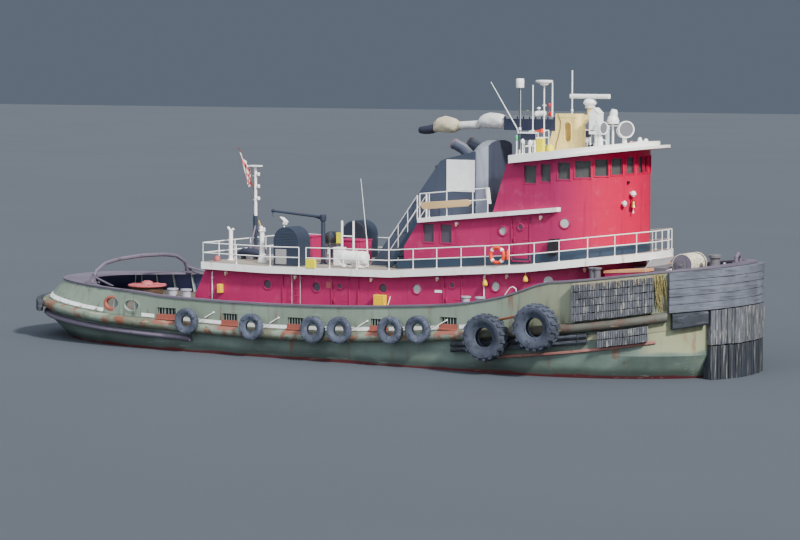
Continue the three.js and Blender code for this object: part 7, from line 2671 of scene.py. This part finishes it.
def covered_boom(looks):
    """Boom that lies aft over the stack: a tube under two lashed covers, with a dark nozzle at its end."""
    tube, nozzle, ties = Shape(), Shape(), Shape()
    tube.tube([(BEAM_AFT - 0.0006, 0, 9.27), (4.3, 0, 9.30), (3.6, 0, 9.17), (2.2, 0, 9.13), (1.66, 0, 9.01)],
              BOOM_HALF, 18)
    tube.turned([(0.19, 0.001), (0.20, 0.01), (0.20, 0.06), (0.12, 0.075)], (BEAM_AFT, 0, 9.27), ASTERN, 24)
    nozzle.tube([(1.72, 0, 9.02), (1.60, 0, 8.985), (1.40, 0, 8.94), (1.25, 0, 8.92), (1.10, 0, 8.914),
                 (0.96, 0, 8.911), (0.93, 0, 8.91)], [0.10, 0.172, 0.178, 0.165, 0.158, 0.135, 0.118], 24)
    for place, radius in ((1.50, 0.184), (1.18, 0.168)):
        nozzle.ring([(radius - 0.03, -0.02), (radius, -0.015), (radius, 0.015), (radius - 0.03, 0.02)],
                    (place, 0, 8.96 - (1.5 - place) * 0.13), (1, 0, 0.14), 24)
    piece = tube.piece("boom_tube", looks["mauve"], slot="canvas")
    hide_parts("covered_boom")
    piece = nozzle.piece("boom_nozzle", looks["navy"], slot="canvas")
    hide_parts("covered_boom")
    rows = ((FORWARD_COVER, "boom_cover_forward", "pale_canvas", COVER_FLATS[0]),
            (AFTER_COVER, "boom_cover_after", "tan_canvas", COVER_FLATS[1]))
    for index, (stations, name, look, flat) in enumerate(rows):
        shape = Shape()
        shape.skin(cover_rings(stations, SEED + 20 + index))
        cover = shape.piece(name, looks[look], sharp=180, slot="canvas", thick=0.005)
        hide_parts("covered_boom")
    for x, z, wide, high in COVER_TIES:
        tie = [(x, (wide + 0.004) * math.cos(t), z + (high + 0.004) * math.sin(t)) for t in full_turn(32)]
        ties.tube(tie, 0.007, 6, closed=True)
    ties.piece("boom_cover_lashings", looks["rope"], slot="canvas")


# Aft deck and foredeck
ARCH_X = -13.0
ARCH_HALF = 3.37
REEL_X = -12.70
WINCH = (12.85, 4.05)
BOLLARD_X = 13.90
BOX_OUT = (1.50, 2.20)
BOX_X, BOX_TOP = (10.4, 12.06), (3.74, 3.86)     # its after and forward end, and its height at both
LID_THICK, LID_OVER = 0.11, (0.04, 0.02)
FOREDECK_PIPES = [
    # distance from the middle, radius, x of the foot, (x, z) of the points above it
    (1.1, 0.03, 12.45, [(12.45, 3.85), (12.62, 3.92), (12.62, 3.80)]),
    (2.3, 0.025, 12.75, [(12.75, 3.45), (12.95, 3.45)]),
]


def towing_arch_fittings(looks):
    """Gussets and bolts at the arch's feet, an eye under its crown and collars round its tube."""
    shape = Shape()
    for side in SIDES.values():
        y = side * ARCH_HALF
        foot = cap(ARCH_X) + 0.132
        for way in (-1, 1):
            corners = [(ARCH_X + way * 0.07, y, foot), (ARCH_X + way * 0.215, y, foot),
                       (ARCH_X + way * 0.07, y - side * 0.06, foot + 0.30)]
            shape.slab([(x, cy - 0.012, z) for x, cy, z in corners], (0, 0.024, 0))
            for across in (-0.19, 0.19):
                shape.turned([(0.026, 0.0), (0.026, 0.024), (0.012, 0.03)],
                             (ARCH_X + way * 0.19, y + across, foot), UP, 6)
        collar = [(0.08, -0.03), (0.098, -0.03), (0.098, 0.03), (0.08, 0.03)]
        shape.ring(collar, (ARCH_X, side * 3.21, 2.76), (0, -side * 0.26, 0.55), 16)
        shape.ring(collar, (ARCH_X, side * 1.6, 3.31), (0, side, -0.03), 16)
    shape.eye((ARCH_X, 0, 3.235), 0.055, 0.018, 18)
    shape.piece("towing_arch_fittings", looks["mauve"], bevel=0.003, slot="mauve_paint")


def hawser_reel(looks):
    """Reel with a lower flange, coiled rope, a ribbed upper flange and a domed knob."""
    foot = sheer(REEL_X) + 0.06 + 0.0904
    frame_shape, rope = Shape(), Shape()
    centre = (REEL_X, 0, foot)
    frame_shape.turned([(0.30, 0.0), (0.755, 0.0), (0.758, 0.03), (0.75, 0.058), (0.58, 0.06)],
                       centre, UP, 48)
    frame_shape.turned([(0.56, 0.478), (0.80, 0.482), (0.818, 0.50), (0.818, 0.54), (0.80, 0.558),
                        (0.30, 0.559),
                        (0.26, 0.60), (0.24, 0.66), (0.15, 0.705), (0.12, 0.72)], centre, UP, 48)
    for degrees in range(0, 360, 45):
        turn = Matrix.Rotation(math.radians(degrees), 3, "Z")
        frame_shape.box((REEL_X + 0.27, -0.018, foot + 0.555), (REEL_X + 0.79, 0.018, foot + 0.585), turn,
                        centre)
    for row in range(7):
        ring = []
        for turn in full_turn(48):
            reach = 0.60 + (0.05 if row % 2 else 0.04) + 0.008 * math.sin(5 * turn + row)
            ring.append((REEL_X + reach * math.cos(turn), reach * math.sin(turn), foot + 0.09 + row * 0.060))
        rope.tube(ring, 0.033, 8, closed=True)
    rope.turned([(0.56, 0.06), (0.61, 0.062), (0.61, 0.476), (0.56, 0.478)], centre, UP, 40)
    piece = frame_shape.piece("hawser_reel_frame", looks["red"], body="hawser_reel", bevel=0.004,
                              slot="red_paint")
    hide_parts("hawser_reel")
    piece = rope.piece("hawser_reel_rope", looks["brown_rope"], body="hawser_reel", slot="red_paint")
    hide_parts("hawser_reel")


def bow_winch(looks):
    """Winch drum with end rims, wound with a pale hawser, on its shaft."""
    x, z = WINCH
    metal, rope, edges = Shape(), Shape(), Shape()
    metal.turned([(0.03, -0.799), (0.059, -0.795), (0.059, 0.795), (0.03, 0.799)], (x, 0, z), TO_PORT, 20)
    for start in (-0.64, 0.60):
        metal.ring([(0.06, 0.0), (0.40, 0.0), (0.40, 0.04), (0.06, 0.04)], (x, start, z), TO_PORT, 36)
        edges.ring([(0.395, -0.001), (0.42, 0.004), (0.42, 0.036), (0.395, 0.041)],
                   (x, start, z), TO_PORT, 36)
        for degrees in range(0, 360, 60):
            turn = math.radians(degrees)
            hub = (x + 0.22 * math.cos(turn), start - 0.006, z + 0.22 * math.sin(turn))
            metal.turned([(0.035, 0.0), (0.035, 0.052)], hub, TO_PORT, 8)
    rope.turned([(0.06, -0.595), (0.315, -0.59), (0.315, 0.59), (0.06, 0.595)], (x, 0, z), TO_PORT, 36)
    for row in range(17):
        rope.tube([(x + 0.335 * math.cos(t), -0.555 + row * 0.069 + 0.008 * math.sin(3 * t),
                    z + 0.335 * math.sin(t))
                   for t in full_turn(40)], 0.036, 8, closed=True)
    for row in range(9):
        rope.tube([(x + 0.385 * math.cos(t), -0.34 + row * 0.072 + 0.02 * math.sin(2 * t + row),
                    z + 0.385 * math.sin(t)) for t in full_turn(40)], 0.033, 8, closed=True)
    rows = ((metal, "bow_winch_drum_metal", "mauve"), (edges, "bow_winch_rim_edges", "cream_rope"),
            (rope, "bow_winch_hawser", "cream_rope"))
    for shape, name, look in rows:
        piece = shape.piece(name, looks[look], body="bow_winch_drum", slot="lamp_steel")
        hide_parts("bow_winch_drum")


def foredeck_gear(looks):
    """Skirt under the boat deck's nose, a long side box with its lid, pipes and bollard collars."""
    skirt, box_sides, box_top, pipes, collars = Shape(), Shape(), Shape(), Shape(), Shape()
    skirt.slab([(11.72, -0.95, 4.25), (11.72, 0.95, 4.25), (11.42, 0.95, 3.87), (11.42, -0.95, 3.87)],
               (0.03, 0, 0))
    (aft, fore), (low, high) = BOX_X, BOX_TOP
    for side in SIDES.values():
        near, far = sorted(side * out for out in BOX_OUT)
        walls = [(aft, sheer(aft) + 0.05), (fore, sheer(fore) + 0.05), (fore, high), (aft, low)]
        box_sides.slab([(x, near, z) for x, z in walls], (0, far - near, 0))
        ends = (aft - LID_OVER[0], low), (fore + LID_OVER[0], high)
        lid = [*ends, *((x, z + LID_THICK) for x, z in reversed(ends))]
        box_top.slab([(x, near - LID_OVER[1], z) for x, z in lid], (0, far - near + 2 * LID_OVER[1], 0))
        for y, radius, foot, bends in FOREDECK_PIPES:
            path = [(foot, sheer(foot) + 0.05), *bends]
            pipes.tube([(x, side * y, z) for x, z in path], radius, 8)
    for z, radius in ((4.428, 0.245), (4.05, 0.20)):
        collars.turned([(radius - 0.04, 0.0), (radius, 0.002), (radius, 0.02), (radius - 0.05, 0.03)],
                       (BOLLARD_X, 0, z), UP, 28)
    skirt.piece("deck_nose_skirt", looks["white"], bevel=0.004)
    box_sides.piece("foredeck_side_box", looks["house"], bevel=0.01)
    box_top.piece("foredeck_side_box_lid", looks["salmon_top"], bevel=0.006)
    pipes.piece("foredeck_pipes", looks["clean_white"])
    collars.piece("bollard_collar", looks["steel"])


STRAW_COUNT = 46
STRAW_X = (13.10, 13.46)
STRAW_END = 13.50


def straw_lashing(looks):
    """Worn rope ends tied over the cap beside the forward pad, in a loose fan down its face."""
    rng = random.Random(SEED + 31)
    shape = Shape()
    for side in SIDES.values():
        for _ in range(STRAW_COUNT):
            x = rng.uniform(*STRAW_X)
            point = on_side([edge_at(x)], side)[0]
            top = cap(x) - 0.06
            length = rng.uniform(0.35, 1.35)
            drift = rng.uniform(-0.05, 0.22) * length
            stand = rng.uniform(0.05, 0.22)
            end = on_side([edge_at(min(STRAW_END, x + drift))], side)[0]
            middle = on_side([edge_at(min(STRAW_END, x + drift * 0.3))], side)[0]
            shape.tube([pushed(point, 0.02, top), pushed(point, stand * 0.7, top - 0.03),
                        pushed(middle, stand, top - length * 0.5), pushed(end, stand * 0.5, top - length)],
                       rng.choice((0.010, 0.013, 0.017)), 6)
    shape.piece("straw_lashing", looks["straw"], slot="flag_cloth")


PIECES = [
    hull_stripes, freeing_ports, chock_rings, bulwark_stays, guard, truck_tyres, large_tyres,
    lower_pipe, bow_fenders, side_pads, side_blocks, stern_rubber, portholes, door_fittings,
    house_pipes, wall_lamps, house_fittings, upper_kick, upper_windows, upper_fittings,
    wheelhouse_windows, bridge_front_paint, wheelhouse_inside, life_rings, boat_deck_rails,
    bridge_rails, lockers, deck_posts, floodlight, vent_hoods, davit, life_raft, deck_winch,
    winch_cover, stair, aft_mast, flag, small_deck_gear, stack_fittings, roof_aerials, light_boards,
    roof_horns, mast_housing_details, housing_rails, radar, searchlights, roof_front_gear,
    roof_rails, covered_boom, towing_arch_fittings, hawser_reel, bow_winch, foredeck_gear,
    straw_lashing,
]


def main():
    make_camera()
    make_light()
    looks = make_looks()
    make_floor(looks)
    dress_nodes(looks)
    for make in PIECES:
        make(looks)


main()
